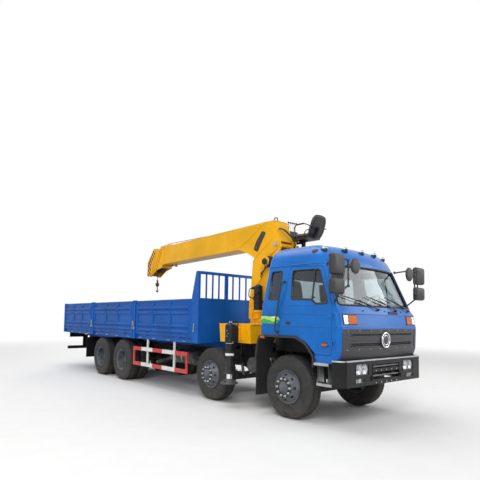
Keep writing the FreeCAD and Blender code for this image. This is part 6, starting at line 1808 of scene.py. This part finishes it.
makePiece("standKnobs", "crane_column", "plastic", knobs)
shape = bmesh.new()
addTube(shape, bent([at(-1.36, y - 0.15, 3.35), at(-1.44, y - 0.15, 3.16), at(-1.44, y + 0.15, 3.16),
                     at(-1.36, y + 0.15, 3.35)], 0.04), 0.012, 10)
for s in (-0.06, 0.0, 0.06):
    addBar(shape, at(-1.43, y + s - 0.02, 3.172), at(-1.43, y + s + 0.02, 3.172), 0.022, 0.006)
# rail round the levers
addTube(shape, bent([at(-1.395, y - 0.17, 3.42), at(-1.395, y - 0.185, 3.7), at(-1.345, y - 0.185, 3.715),
                     at(-1.3, y - 0.185, 3.7), at(-1.3, y - 0.185, 3.42), at(-1.335, y - 0.17, 3.4)], 0.04), 0.0075,
        8)
makePiece("footRest", "crane_column", "plastic", shape, bevel=0.001)
print("operator's seat made")


# cab seats: pads over moulded bases, head rests, belt stalks
cabSeat = {"places": (("Left", 0.52), ("Right", -0.52)), "cushionTop": 1.792, "backLean": math.radians(8)}
cabLean = cabSeat["backLean"]
cabUp, cabOut = Vector((-math.sin(cabLean), 0, math.cos(cabLean))), Vector((math.cos(cabLean), 0, math.sin(cabLean)))
cushionEdge = [(-0.4, -0.225), (0.13, -0.235), (0.165, -0.19), (0.172, 0.0), (0.165, 0.19), (0.13, 0.235),
               (-0.4, 0.225)]
cabBackEdge = [(-0.215, 0.0), (0.215, 0.0), (0.225, 0.3), (0.205, 0.55), (0.165, 0.625), (-0.165, 0.625),
               (-0.205, 0.55), (-0.225, 0.3)]
headEdge = [(-0.13, 0.0), (0.13, 0.0), (0.125, 0.11), (0.09, 0.145), (-0.09, 0.145), (-0.125, 0.11)]
cabMeshes = {}
for title, y in cabSeat["places"]:
    foot = at(-0.375, y, 1.765)
    places = {"cabCushion": (cushionEdge, 1.675, cabSeat["cushionTop"] - 0.012, lambda u, v,
                             d: at(u, y + v, d + (0.03 * (u + 0.4) / 0.57))), "cabBack": (cabBackEdge, 0.015, 0.095,
            lambda u, v, d: foot + Vector((0, u, 0)) + cabUp * v + cabOut * d), "headRest": (headEdge, 0.02, 0.085,
            lambda u, v, d: foot + Vector((0, u, 0)) + cabUp * (v + 0.655) + cabOut * d)}
    for part, (edge, low, high, place) in places.items():
        # the right seat is a copy of the left one
        if title == "Left":
            lines = {"cabCushion": [(Vector((0, y + s * 0.15, 0)), axisY, axisZ) for s in (-1, 1)],
                     "cabBack": [(Vector((0, y + s * 0.135, 0)), axisY, cabOut) for s in (-1, 1)], "headRest": []}[part]
            lines += {"cabCushion": [(at(-0.1, 0, 0), axisX, axisZ)],
                      "cabBack": [(foot + cabUp * 0.33, cabUp, cabOut)], "headRest": []}[part]
            piece = makePad(part + title, "chassis", edge, low, high, place, lines, 0.014 if part == "headRest"
                            else 0.018, ["cab_interior"] if part == "cabCushion" else [])
            cabMeshes[part] = piece.data
        else:
            mesh = cabMeshes[part].copy()
            mesh.transform(moved(0, 2 * y, 0))
            makePiece(part + title, "chassis", "vinyl", mesh, angle=180, subdivide=1)
    shape = bmesh.new()
    outline = bent([(-0.33, 1.421), (0.09, 1.421), (0.115, 1.56), (0.15, 1.668), (-0.4, 1.668), (-0.345, 1.56)], 0.04,
                   closed=True)
    addPlate(shape, outline, -0.195, 0.195, besideSeat)
    back = [(0.0, 0.0), (0.01, 0.02), (0.01, 0.58), (-0.012, 0.6), (-0.03, 0.45), (-0.03, 0.08)]
    addPlate(shape, back, -0.2, 0.2, lambda u, v, d: foot + Vector((0, d, 0)) + cabUp * v + cabOut * u)
    for s in (-0.05, 0.05):
        addRod(shape, foot + Vector((0, s, 0)) + cabUp * 0.6 + cabOut * 0.045, foot + Vector((0, s, 0)) + cabUp * 0.7
               + cabOut * 0.045, 0.006, 10)
    inwards = y - math.copysign(0.27, y)
    addBar(shape, at(-0.3, inwards, 1.6), at(-0.33, inwards, 1.84), 0.03, 0.016)
    makePiece("cabSeatShell" + title, "chassis", "plastic", shape, bevel=0.006)
print("cab seats made")

# dashboard, instruments, steering wheel and levers
shape = bmesh.new()
outline = bent([(1.03, 1.43), (1.03, 1.755), (0.96, 1.855), (0.8, 1.85), (0.762, 1.64), (0.86, 1.43)], 0.04,
               closed=True)
addPlate(shape, [(p.x - 0.004, p.y) for p in outline], -1.02, 1.02, lambda u, v, d: at(u, d, v))
hood = bent([(0.79, 1.84), (0.94, 1.85), (0.9, 1.925), (0.76, 1.905)], 0.03, closed=True)
addPlate(shape, hood, 0.3, 0.74, lambda u, v, d: at(u, d, v))
addBlock(shape, (-0.3, 0.66), (-0.24, 0.24), (1.421, 1.56))
makePiece("dashboard", "chassis", "trim", shape, bevel=0.01, segments=3)
shape = bmesh.new()
for y, radius in ((0.44, 0.05), (0.56, 0.05), (0.66, 0.03), (0.355, 0.03)):
    addLathe(shape, [(0, 0), (0, radius), (0.004, radius + 0.004), (0.008, radius), (0.003, radius - 0.004),
                     (0.003, 0)], 28, stood(0.7585, y, 1.868) @ Matrix.Rotation(-math.pi / 2 + 0.12, 4, "Y"))
for y in (-0.1, 0.0, 0.1):
    addBlock(shape, (0.75, 0.778), (y - 0.035, y + 0.035), (1.7, 1.76))
for y in (-0.85, -0.45, 0.95):
    for k in range(4):
        addBar(shape, at(0.776, y - 0.05, 1.745 + 0.014 * k), at(0.776, y + 0.05, 1.745 + 0.014 * k), 0.006, 0.004)
makePiece("dashClocks", "chassis", "plastic", shape, bevel=0.002)
hub, tilt = at(0.56, 0.52, 1.96), Vector((-0.72, 0, 0.69)).normalized()
turn = Matrix.Translation(hub) @ tilt.to_track_quat("Z", "Y").to_matrix().to_4x4()
shape = bmesh.new()
addLathe(shape, barSection(0.21, 0.0145), 56, turn)
addLathe(shape, [(-0.05, 0), (-0.05, 0.04), (-0.02, 0.055), (0.0, 0.055), (0.012, 0.045), (0.015, 0)], 28, turn)
for angle in (0.0, math.pi * 0.72, math.pi * 1.28):
    addBar(shape, turn @ Vector((0.04 * math.cos(angle), 0.04 * math.sin(angle), -0.006)),
           turn @ Vector((0.205 * math.cos(angle), 0.205 * math.sin(angle), 0.0)), 0.03, 0.01, tilt)
addRod(shape, turn @ Vector((0, 0, -0.04)), at(0.8, 0.52, 1.73), 0.03, 18)
addTube(shape, bent([turn @ Vector((0, -0.05, -0.06)), turn @ Vector((0, -0.17, -0.05)),
                     turn @ Vector((0.02, -0.2, -0.03))], 0.03), 0.007, 8)
addTube(shape, bent([at(0.36, 0.1, 1.555), at(0.36, 0.12, 1.8), at(0.3, 0.14, 1.92)], 0.06), 0.009, 10)
addLathe(shape, [(-0.024, 0), (-0.02, 0.014), (0.0, 0.022), (0.018, 0.018), (0.026, 0)], 16, stood(0.3, 0.14, 1.935))
makePiece("steeringWheel", "chassis", "plastic", shape)
shape = bmesh.new()
addBlock(shape, (-0.54, 0.84), (-1.1, 1.1), (1.4205, 1.4265))
for i in range(9):
    addBar(shape, at(-0.5, -1.06 + 0.265 * i, 1.4275), at(0.3, -1.06 + 0.265 * i, 1.4275), 0.008, 0.003)
makePiece("floorMat", "chassis", "rubber", shape)
print("cab interior made")


# roof: one smooth pressing drawn through the cab's upper rows
roof = {"proud": 0.007, "rows": 15, "low": 2.592, "rearRadius": 0.07}


def roofRow(t):
    # smooth run through the rows: t counts rows from the roof's foot upwards
    rows = [cabRow(roof["low"] - 0.3), cabRow(roof["low"])] + [list(r) for r in cabRows[-3:]]
    rows.append([2.948, -0.1, -0.06, 0.0, 0.3, 0.1])
    i = min(int(t), 3)
    f, near = t - i, [rows[min(i + k, 5)] for k in range(4)]
    return [0.5 * (2 * b + (c - a) * f + (2 * a - 5 * b + 4 * c - d) * f * f + (3 * b - a - 3 * c + d) * f ** 3)
            for a, b, c, d in zip(*near)]


def roofRing(row, out, count=26):
    # outline of the cab at one row, from the middle of its rear round to the other side
    z, rear, corner, middle, half, radius = row
    rear, corner, middle, half = rear - out, corner + out, middle + out, half + out
    radius = max(0.05, min(radius + out, half * 0.6))
    behind = roof["rearRadius"]
    right = []
    for k in range(7):
        t = math.pi / 2 * k / 6
        right.append((rear + behind * (1 - math.cos(t)), half - behind * (1 - math.sin(t))))
    for k in range(1, count):
        right.append((rear + behind + (corner - radius - rear - behind) * k / count, half))
    for k in range(9):
        t = math.pi / 2 * k / 8
        right.append((corner - radius + radius * math.sin(t), half - radius + radius * math.cos(t)))
    chord, rise = half - radius, middle - corner
    bow = (chord ** 2 + rise ** 2) / (2 * rise) if rise > 0.001 else 1e4
    for k in range(1, 17):
        y = chord * (1 - k / 16)
        right.append((middle - bow + math.sqrt(bow ** 2 - y ** 2), y))
    back = [(rear, (half - behind) * k / 10) for k in range(1, 10)]
    whole = [(rear, 0.0)] + back + right + [(a, -y) for a, y in reversed(right[:-1])] + [(a, -y) for a,
            y in reversed(back)]
    return [at(a, -y, z) for a, y in whole]


shape = bmesh.new()
rings = []
for i in range(roof["rows"] + 1):
    row = roofRow(4.0 * (i / roof["rows"]) ** 0.9)
    raised = roof["proud"] * min(1.0, i / 2)
    rings.append([shape.verts.new(p + Vector((0, 0, raised))) for p in roofRing(row, raised)])
skin(shape, rings)
makePiece("roofSkin", "chassis", "cab", shape, angle=60)
shape = bmesh.new()
addLathe(shape, [(-0.02, 0), (-0.02, 0.055), (0.01, 0.053), (0.02, 0.04), (0.024, 0.0)], 28,
         stood(0.46, -0.948, 2.79) @ Matrix.Rotation(math.radians(52), 4, "X") @ Matrix.Diagonal((1.3, 0.8, 1, 1)))
addBlock(shape, (-0.34, 0.1), (-0.26, 0.26), (2.95, 2.972))
makePiece("roofVent", "chassis", "rubber", shape, bevel=0.006, segments=3)
print("roof made")


# load bed: pressed ribs, rolled rims, hinge straps, locks, floor sheets and edges
bedRibs = {"bands": [(1.33, 1.4), (1.45, 1.52), (1.74, 1.81), (1.86, 1.93)], "columns": 3, "deep": 0.0135, "out": 0.021}
panelStations = [(-2.648, -5.122), (-5.288, -7.742), (-7.908, -10.09)]


def addFrustum(bm, u, v, d, inset, place):
    # pressed rib: wide at its root, narrow at its crown
    rings = []
    for depth, pull in ((d[0], 0.0), (d[1] - 0.004, inset), (d[1], inset + 0.006)):
        corners = oblong((u[0] + pull, u[1] - pull), (v[0] + pull * 0.9, v[1] - pull * 0.5))
        rings.append([bm.verts.new(place(a, b, depth)) for a, b in corners])
    skin(bm, rings)


def dressPanel(name, body, start, end, place, step, straps=None):
    # start and end along the panel, place(u, v, depth) with depth measured out of its face
    width = (end - start - 0.16) / bedRibs["columns"]
    shape, cell = bmesh.new(), bmesh.new()
    for low, high in bedRibs["bands"]:
        left = start + 0.11
        addFrustum(cell, (left, left + width - 0.06), (low - 0.012, high + 0.008), (-bedRibs["deep"], bedRibs["out"]),
                   0.016, place)
    addMesh(shape, repeated("along", cell, bedRibs["columns"], step * width, "bed"))
    for k in range(bedRibs["columns"] + 1):
        u = start + 0.08 + width * k
        addFrustum(shape, (u - 0.02, u + 0.02), (1.3, 2.0), (-0.002, 0.01), 0.006, place)
    near, far = start + 0.004, end - 0.004
    for u, v in (((near, far), (2.03, 2.068)), ((near, far), (1.24, 1.272)), ((near, near + 0.036), (1.25, 2.05)),
                 ((far - 0.036, far), (1.25, 2.05))):
        addFrustum(shape, u, v, (-0.002, 0.009), 0.005, place)
    for u in straps or [start + (end - start) * share for share in (0.2, 0.8)]:
        addFrustum(shape, (u - 0.026, u + 0.026), (1.238, 1.33), (-0.002, 0.012), 0.004, place)
    makePiece("ribs" + name, body, "bed", shape, bevel=0.0015)


for sideName, side in sides.items():
    for number, (high, low) in enumerate(panelStations):
        dressPanel(sideName.title() + str(number + 1), "drop_side_%s_%d" % (sideName, number + 1), low, high,
                   lambda u, v, d: at(u, side * (1.225 + d), v), axisX)
dressPanel("Tailgate", "tailgate", -1.174, 1.174, lambda u, v, d: at(-10.168 - d, u, v), axisY, straps=[-0.7, 0.7])

shape, locks, posts = bmesh.new(), bmesh.new(), bmesh.new()
for side in sides.values():
    for post in (-5.205, -7.825):
        for s in (-1, 1):
            addBlock(posts, (post + s * 0.062 - 0.01, post + s * 0.062 + 0.01), (1.236, 1.252), (1.14, 2.07), side)
            # lock: pivot block, slanted handle and the hook that holds the panel
            addBlock(locks, (post + s * 0.045 - 0.016, post + s * 0.045 + 0.016), (1.24, 1.262), (1.35, 1.4), side)
            addBar(locks, at(post + s * 0.045, side * 1.264, 1.365), at(post + s * 0.012, side * 1.27, 1.56), 0.022,
                   0.007, axisY)
            addRod(locks, at(post + s * 0.045, side * 1.25, 1.375), at(post + s * 0.045, side * 1.272, 1.375), 0.009,
                   12)
        addBlock(posts, (post - 0.07, post + 0.07), (1.185, 1.246), (2.072, 2.084), side)
        addBlock(posts, (post - 0.06, post + 0.06), (1.13, 1.236), (1.122, 1.136), side)
    for post in (-2.56, -10.135):
        addBar(locks, at(post, side * 1.244, 1.365), at(post + 0.02, side * 1.25, 1.54), 0.02, 0.007, axisY)
        addRod(locks, at(post, side * 1.238, 1.375), at(post, side * 1.254, 1.375), 0.01, 12)
    addTube(shape, dense([at(-2.4, side * 1.2385, 1.132), at(-2.4, side * 1.2385, 2.64)], 0.4), 0.006, 8)
    addTube(shape, [at(-2.64, side * 1.2385, 1.14), at(-2.64, side * 1.2385, 2.065), at(-2.492, side * 1.2385, 2.64)],
            0.006, 8)
    addBlock(shape, (-2.4005, -2.386), (0.45, 0.525), (1.14, 2.6), side)
    addBlock(shape, (-2.4005, -2.39), (0.02, 1.18), (2.04, 2.082), side)
    addBlock(shape, (-2.4005, -2.39), (0.02, 1.18), (1.135, 1.175), side)
    # rope cleats under the floor's edge
    for k in range(11):
        a = -2.95 - 0.655 * k
        path = bent([at(a - 0.05, side * 1.184, 1.165), at(a - 0.05, side * 1.214, 1.15),
                     at(a + 0.05, side * 1.214, 1.15), at(a + 0.05, side * 1.184, 1.165)], 0.02, steps=3)
        addTube(locks, path, 0.0065, 6)
makePiece("bedPostEdges", "chassis", "bed", posts, bevel=0.002)
makePiece("headboardEdges", "chassis", "bed", shape, bevel=0.002)
makePiece("bedLocks", "chassis", "steel", locks, bevel=0.001)
sheet = bmesh.new()
addBlock(sheet, (-10.12, -10.12 + 0.756), (-1.18, 1.18), (1.2395, 1.2435))
for k in range(9):
    addBlock(sheet, (-10.12 + 0.05 + 0.082 * k, -10.12 + 0.062 + 0.082 * k), (-1.17, 1.17), (1.243, 1.2465))
makePiece("bedFloorSheets", "chassis", "bed", repeated("along", sheet, 10, (0.768, 0, 0), "bed"), bevel=0.001)
print("bed dressed")


# tail lamps, plain plate, frame bolts and brackets
shape, red, amber, clear = [bmesh.new() for k in range(4)]
for side in sides.values():
    addBlock(shape, (-10.108, -10.098), (0.552, 1.058), (0.952, 1.118), side)
    for lamp, low, high in ((clear, 0.566, 0.668), (red, 0.676, 0.87), (amber, 0.878, 1.044)):
        addBlock(lamp, (-10.12, -10.104), (low, high), (0.966, 1.104), side)
    for y in (0.77, 1.02):
        addRod(red, at(-10.151, side * y, 0.61), at(-10.158, side * y, 0.61), 0.036, 20)
for name, finish, lamp in (("tailLampBack", "plastic", shape), ("tailLampRed", "redLens", red),
                           ("tailLampAmber", "amber", amber), ("tailLampClear", "lens", clear)):
    makePiece(name, "chassis", finish, lamp, bevel=0.003)
shape = bmesh.new()
addPlate(shape, oblong((0.46, 0.94), (0.668, 0.808)), -10.112, -10.109, lambda u, v, d: at(d, u, v))
makePiece("blankPlate", "chassis", "white", shape, bevel=0.001)
shape = bmesh.new()
for y in (0.52, 0.88):
    addBlock(shape, (-10.108, -10.102), (y - 0.015, y + 0.015), (0.655, 0.8))
for side in sides.values():
    addMesh(shape, repeated("along", boltHead(0.01, 0.01), 40, (-0.262, 0, 0), "chassis",
                            stood(0.9, side * 0.4305, 0.905) @ outwards(side)))
    for a in (-0.62, -3.0, -4.75, -8.6, -9.4):
        addBlock(shape, (a - 0.05, a + 0.05), (0.429, 0.442), (0.76, 0.985), side)
        addBlock(shape, (a - 0.04, a + 0.04), (0.44, 0.5), (0.972, 0.984), side)
makePiece("frameBrackets", "chassis", "chassis", shape, bevel=0.001)

# springs: leaf lines, clamps, dampers and shafts, then the axle cases
shape, steel = bmesh.new(), bmesh.new()
for side in sides.values():
    for station in (0.0, -2.12):
        for leaf in range(4):
            reach = 0.66 - 0.13 * leaf
            path = [at(station + u, side * 0.385, 0.676 - 0.192 * (1 - (u / 0.7) ** 2) - 0.012 * leaf + 0.028)
                    for u in [reach * (k / 6 - 1) for k in range(13)]]
            addStrip(shape, path, 0.074, 0.01)
        for u in (-0.055, 0.055):
            for s in (-0.042, 0.042):
                addRod(steel, at(station + u, side * 0.385 + s, 0.44), at(station + u, side * 0.385 + s, 0.575),
                       0.009, 8)
        addRod(steel, at(station + 0.34, side * 0.5, 0.5), at(station + 0.26, side * 0.47, 0.76), 0.03, 16)
        addRod(shape, at(station + 0.26, side * 0.47, 0.74), at(station + 0.24, side * 0.462, 0.9), 0.038, 16)
    for leaf in range(5):
        reach = 0.66 - 0.11 * leaf
        path = [at(-6.53 + u, side * 0.39, 0.7 - 0.08 * (u / 0.7) ** 2 + 0.012 * leaf)
                for u in [reach * (k / 6 - 1) for k in range(13)]]
        addStrip(shape, path, 0.086, 0.01)
for start, end, radius in (((-0.8, 0.0, 0.8), (-2.7, 0.0, 0.7), 0.045), ((-2.8, 0.0, 0.69), (-5.66, 0.0, 0.545),
        0.055), ((-6.1, 0.0, 0.54), (-6.96, 0.0, 0.54), 0.045)):
    start, end = at(*start), at(*end)
    addRod(shape, start, end, radius, 18)
    for spot, other in ((start, end), (end, start)):
        addRod(shape, spot, spot + (other - spot).normalized() * 0.035, radius * 1.7, 18)
makePiece("springsAndShafts", "chassis", "chassis", shape)
makePiece("springClamps", "chassis", "cast", steel)
for station in (-5.88, -7.18):
    shape = bmesh.new()
    addLathe(shape, [(-0.118, 0), (-0.118, 0.1), (-0.112, 0.16), (-0.095, 0.205), (-0.088, 0.222), (-0.075, 0.228),
                     (0.075, 0.228), (0.088, 0.222), (0.1, 0.19), (0.15, 0.13), (0.22, 0.085), (0.22, 0)], 40,
             stood(station, 0, tyre["axis"]) @ turnX)
    addBolts(shape, 14, 0.2165, 0.008, 0.01, stood(station - 0.088, 0, tyre["axis"]) @ turnX.inverted(), "chassis")
    makePiece("axleCase" + str(int(-station)), "chassis", "chassis", shape, angle=34)
print("chassis dressed")


# tanks: straps, caps, end dishes; battery lid; silencer heat shield and tail pipe
airTank = stood(-0.985, 0, 0.8) @ turnY
shape, steel, lid = bmesh.new(), bmesh.new(), bmesh.new()
fuelEdge = bent(oblong((0.517, 1.083), (0.517, 0.983)), 0.075, closed=True)
for station in (-3.25, -3.725, -4.2):
    for s in (-0.02, 0.02):
        addTube(steel, [at(station + s, p.x, p.y) for p in fuelEdge], 0.004, 6, closed=True)
for station, s in ((-3.1, 1), (-4.35, -1)):
    addPlate(shape, [(p.x * 0.93 + 0.056, p.y * 0.93 + 0.0525) for p in fuelEdge], ahead(station),
             ahead(station) + s * 0.008, crosswise())
addLathe(shape, [(0.975, 0), (0.975, 0.052), (0.998, 0.052), (1.0, 0.06), (1.028, 0.058), (1.034, 0.045), (1.034, 0)],
         24, stood(-3.45, 0.9, 0))
makePiece("fuelTankTrim", "chassis", "tank", shape, bevel=0.004)
addBlock(lid, (-1.068, -0.692), (0.425, 0.868), (0.89, 0.966))
for station in (-0.96, -0.8):
    addBar(lid, at(station, 0.87, 0.78), at(station, 0.87, 0.9), 0.024, 0.01, axisY)
makePiece("batteryLid", "chassis", "plastic", lid, bevel=0.008)
for y in (-0.62, -0.86):
    addLathe(steel, oblong((y - 0.018, y + 0.018), (0.1395, 0.1435)), 40, airTank)
for station in (-3.3, -3.55, -3.8):
    addLathe(steel, oblong((-0.016, 0.016), (0.1695, 0.174)), 40, stood(station, -0.7, 0.76) @ turnX)
makePiece("tankStraps", "chassis", "steel", steel)
shape = bmesh.new()
addLathe(shape, [(-1.003, 0), (-1.012, 0.05), (-1.01, 0.1), (-1.0, 0.132), (-0.992, 0.1415), (-0.985, 0.1415),
                 (-0.985, 0)], 40, airTank)
addRod(shape, at(-0.985, -0.74, 0.665), at(-0.985, -0.74, 0.63), 0.016, 10)
for station, s in ((-3.1, 1), (-4.0, -1)):
    addLathe(shape, [(0, 0), (0, 0.168), (s * 0.012, 0.16), (s * 0.022, 0.12), (s * 0.026, 0.05), (s * 0.026, 0)], 40,
             stood(station, -0.7, 0.76) @ turnX)
addTube(shape, bent([at(-3.08, -0.7, 0.76), at(-2.96, -0.7, 0.76), at(-2.88, -0.58, 0.84), at(-2.7, -0.5, 0.9)], 0.1),
        0.045, 16)
addTube(shape, bent([at(-4.02, -0.7, 0.72), at(-4.16, -0.7, 0.7), at(-4.2, -0.98, 0.62), at(-4.2, -1.12, 0.6)], 0.1),
        0.04, 16)
makePiece("tankEnds", "chassis", "tank", shape)
print("tanks dressed")


# wheel arches and steps: galvanised treads and hangers, arch lip, flap clamp
shape, lip = bmesh.new(), bmesh.new()
for side in sides.values():
    for low, a0, a1, y0, y1 in ((0.9905, 0.65, 0.925, 1.005, 1.192), (0.6805, 0.705, 0.98, 1.025, 1.187)):
        addBlock(shape, (a0, a1), (y0, y1), (low - 0.0005, low + 0.004), side)
        for k in range(8):
            addBlock(shape, (a0 + 0.02 + (a1 - a0 - 0.04) * k / 7 - 0.004, a0 + 0.02 + (a1 - a0 - 0.04) * k / 7
                             + 0.004), (y0 + 0.01, y1 - 0.01), (low + 0.003, low + 0.01), side)
        addBlock(shape, (a0 - 0.004, a1 + 0.004), (y1 + 0.001, y1 + 0.006), (low - 0.036, low + 0.006), side)
        addBlock(shape, (a1 + 0.004, a1 + 0.008), (y0, y1 + 0.006), (low - 0.036, low + 0.006), side)
    for a in (0.7, 0.905):
        outline = [(1.02, 0.668), (1.185, 0.668), (1.176, 0.7), (1.14, 0.93), (1.15, 0.965), (1.035, 0.965),
                   (1.045, 0.93), (1.03, 0.7)]
        for d in (a - 0.004, a + 0.0165):
            addPlate(shape, outline, ahead(d), ahead(d + 0.0035), crosswise(side))
    edge = bent([(-0.692, 0.962), (-0.652, 1.24), (-0.592, 1.378), (0.255, 1.378), (0.48, 1.283), (0.638, 1.085),
                 (0.638, 0.925)], 0.08)
    addTube(lip, [at(p.x, side * 1.198, p.y) for p in dense(edge, 0.15)], 0.0095, 8)
    addBlock(lip, (-0.684, -0.672), (0.846, 1.194), (0.925, 0.968), side)
    for k in range(5):
        addRod(lip, at(-0.664, side * (0.88 + 0.07 * k), 0.946), at(-0.656, side * (0.88 + 0.07 * k), 0.946), 0.01, 10)
makePiece("stepTreads", "chassis", "steel", shape, bevel=0.001)
makePiece("archLips", "chassis", "plastic", lip, bevel=0.001)
print("arches and steps dressed")


# wheel-house linings and saddle sides in chassis black, partly painted shade; lines and brackets under the frame
shape = bmesh.new()
for side in sides.values():
    # wheel-house linings: real liners whose black also stands in for the shade deep in the arch
    addBlock(shape, (-0.655, 0.6), (0.69, 0.698), (1.09, 1.386), side)
    addBlock(shape, (-0.662, -0.654), (0.432, 0.698), (0.96, 1.386), side)
    addBlock(shape, (-0.655, 0.6), (0.6, 0.696), (1.088, 1.094), side)
    for k in range(7):
        addBlock(shape, (-0.6 + 0.18 * k, -0.585 + 0.18 * k), (0.684, 0.702), (1.095, 1.38), side)
    # black plates over the yellow sides and front of the crane saddle: painted shade under the base, also reading as a
    # black subframe
    addBlock(shape, (-1.955, -1.085), (0.4305, 0.438), (0.985, 1.188), side)
    for k in range(6):
        addBlock(shape, (-1.93 + 0.16 * k, -1.92 + 0.16 * k), (0.436, 0.452), (0.985, 1.186), side)
addBlock(shape, (-1.092, -1.084), (-0.436, 0.436), (0.985, 1.186))
for a, z, y0, y1 in ((-1.28, 0.64, -0.52, 0.52), (-1.55, 0.6, -0.44, 0.44)):
    addBar(shape, at(a, y0, z), at(a, y1, z), 0.11, 0.12)
    for y in (y0 + 0.1, y1 - 0.1):
        addBar(shape, at(a, y, z), at(a, y, 0.73), 0.07, 0.05, axisX)
makePiece("wheelHouseLinings", "chassis", "chassis", shape, bevel=0.002)
shape = bmesh.new()
for k in range(5):
    y = -0.33 + 0.035 * k
    addTube(shape, bent([at(0.55, y, 0.86), at(-0.7, y, 0.86), at(-1.0, y - 0.02, 0.64 - 0.018 * k),
                         at(-1.8, y - 0.02, 0.6 - 0.018 * k), at(-2.05, y, 0.8), at(-5.3, y, 0.83)], 0.12, steps=4),
            0.0125, 8)
addTube(shape, bent([at(-0.985, -0.55, 0.665), at(-1.0, -0.52, 0.59), at(-1.4, -0.46, 0.56), at(-1.85, -0.45, 0.7)],
                    0.08), 0.011, 8)
makePiece("frameLines", "chassis", "rubber", shape)

# guide at the middle section's mouth, and the two lengths of rope between the boom's sections
shape, rollers = bmesh.new(), bmesh.new()
addLathe(rollers, [(-0.044, 0), (-0.044, 0.021), (-0.038, 0.023), (-0.03, 0.0165), (0.03, 0.0165), (0.038, 0.023),
                   (0.044, 0.021), (0.044, 0)], 20, moved(-4.506, 0, 0.6115) @ turnY)
for s in (-1, 1):
    addPlate(shape, [(-4.524, 0.506), (-4.484, 0.506), (-4.492, 0.626), (-4.52, 0.626)], s * 0.046, s * 0.053,
             upright())
makePiece("middleRopeRoller", "boom_middle", "steel", placed(rollers, boomPlace))
makePiece("middleRopeGuide", "boom_middle", "crane", placed(shape, boomPlace), bevel=0.001)
for name, near, far, start, end in (("stretchRopeMiddle", "boom", "boom_middle", (-4.4, 0.6445), (-4.506, 0.637)),
                                    ("stretchRopeTip", "boom_middle", "boom_tip", (-4.506, 0.637), (-4.795, 0.617))):
    shape = bmesh.new()
    addTube(shape, dense([(start[0], 0, start[1]), (end[0], 0, end[1])], 0.01), ropeRadius, 8)
    piece = makePiece(name, None, "rope", placed(shape, boomPlace), angle=60)
    tuple(boomPlace @ Vector((start[0] - 0.004, 0, start[1])))
    tuple(boomPlace @ Vector((end[0] + 0.004, 0, end[1])))
    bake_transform(piece)
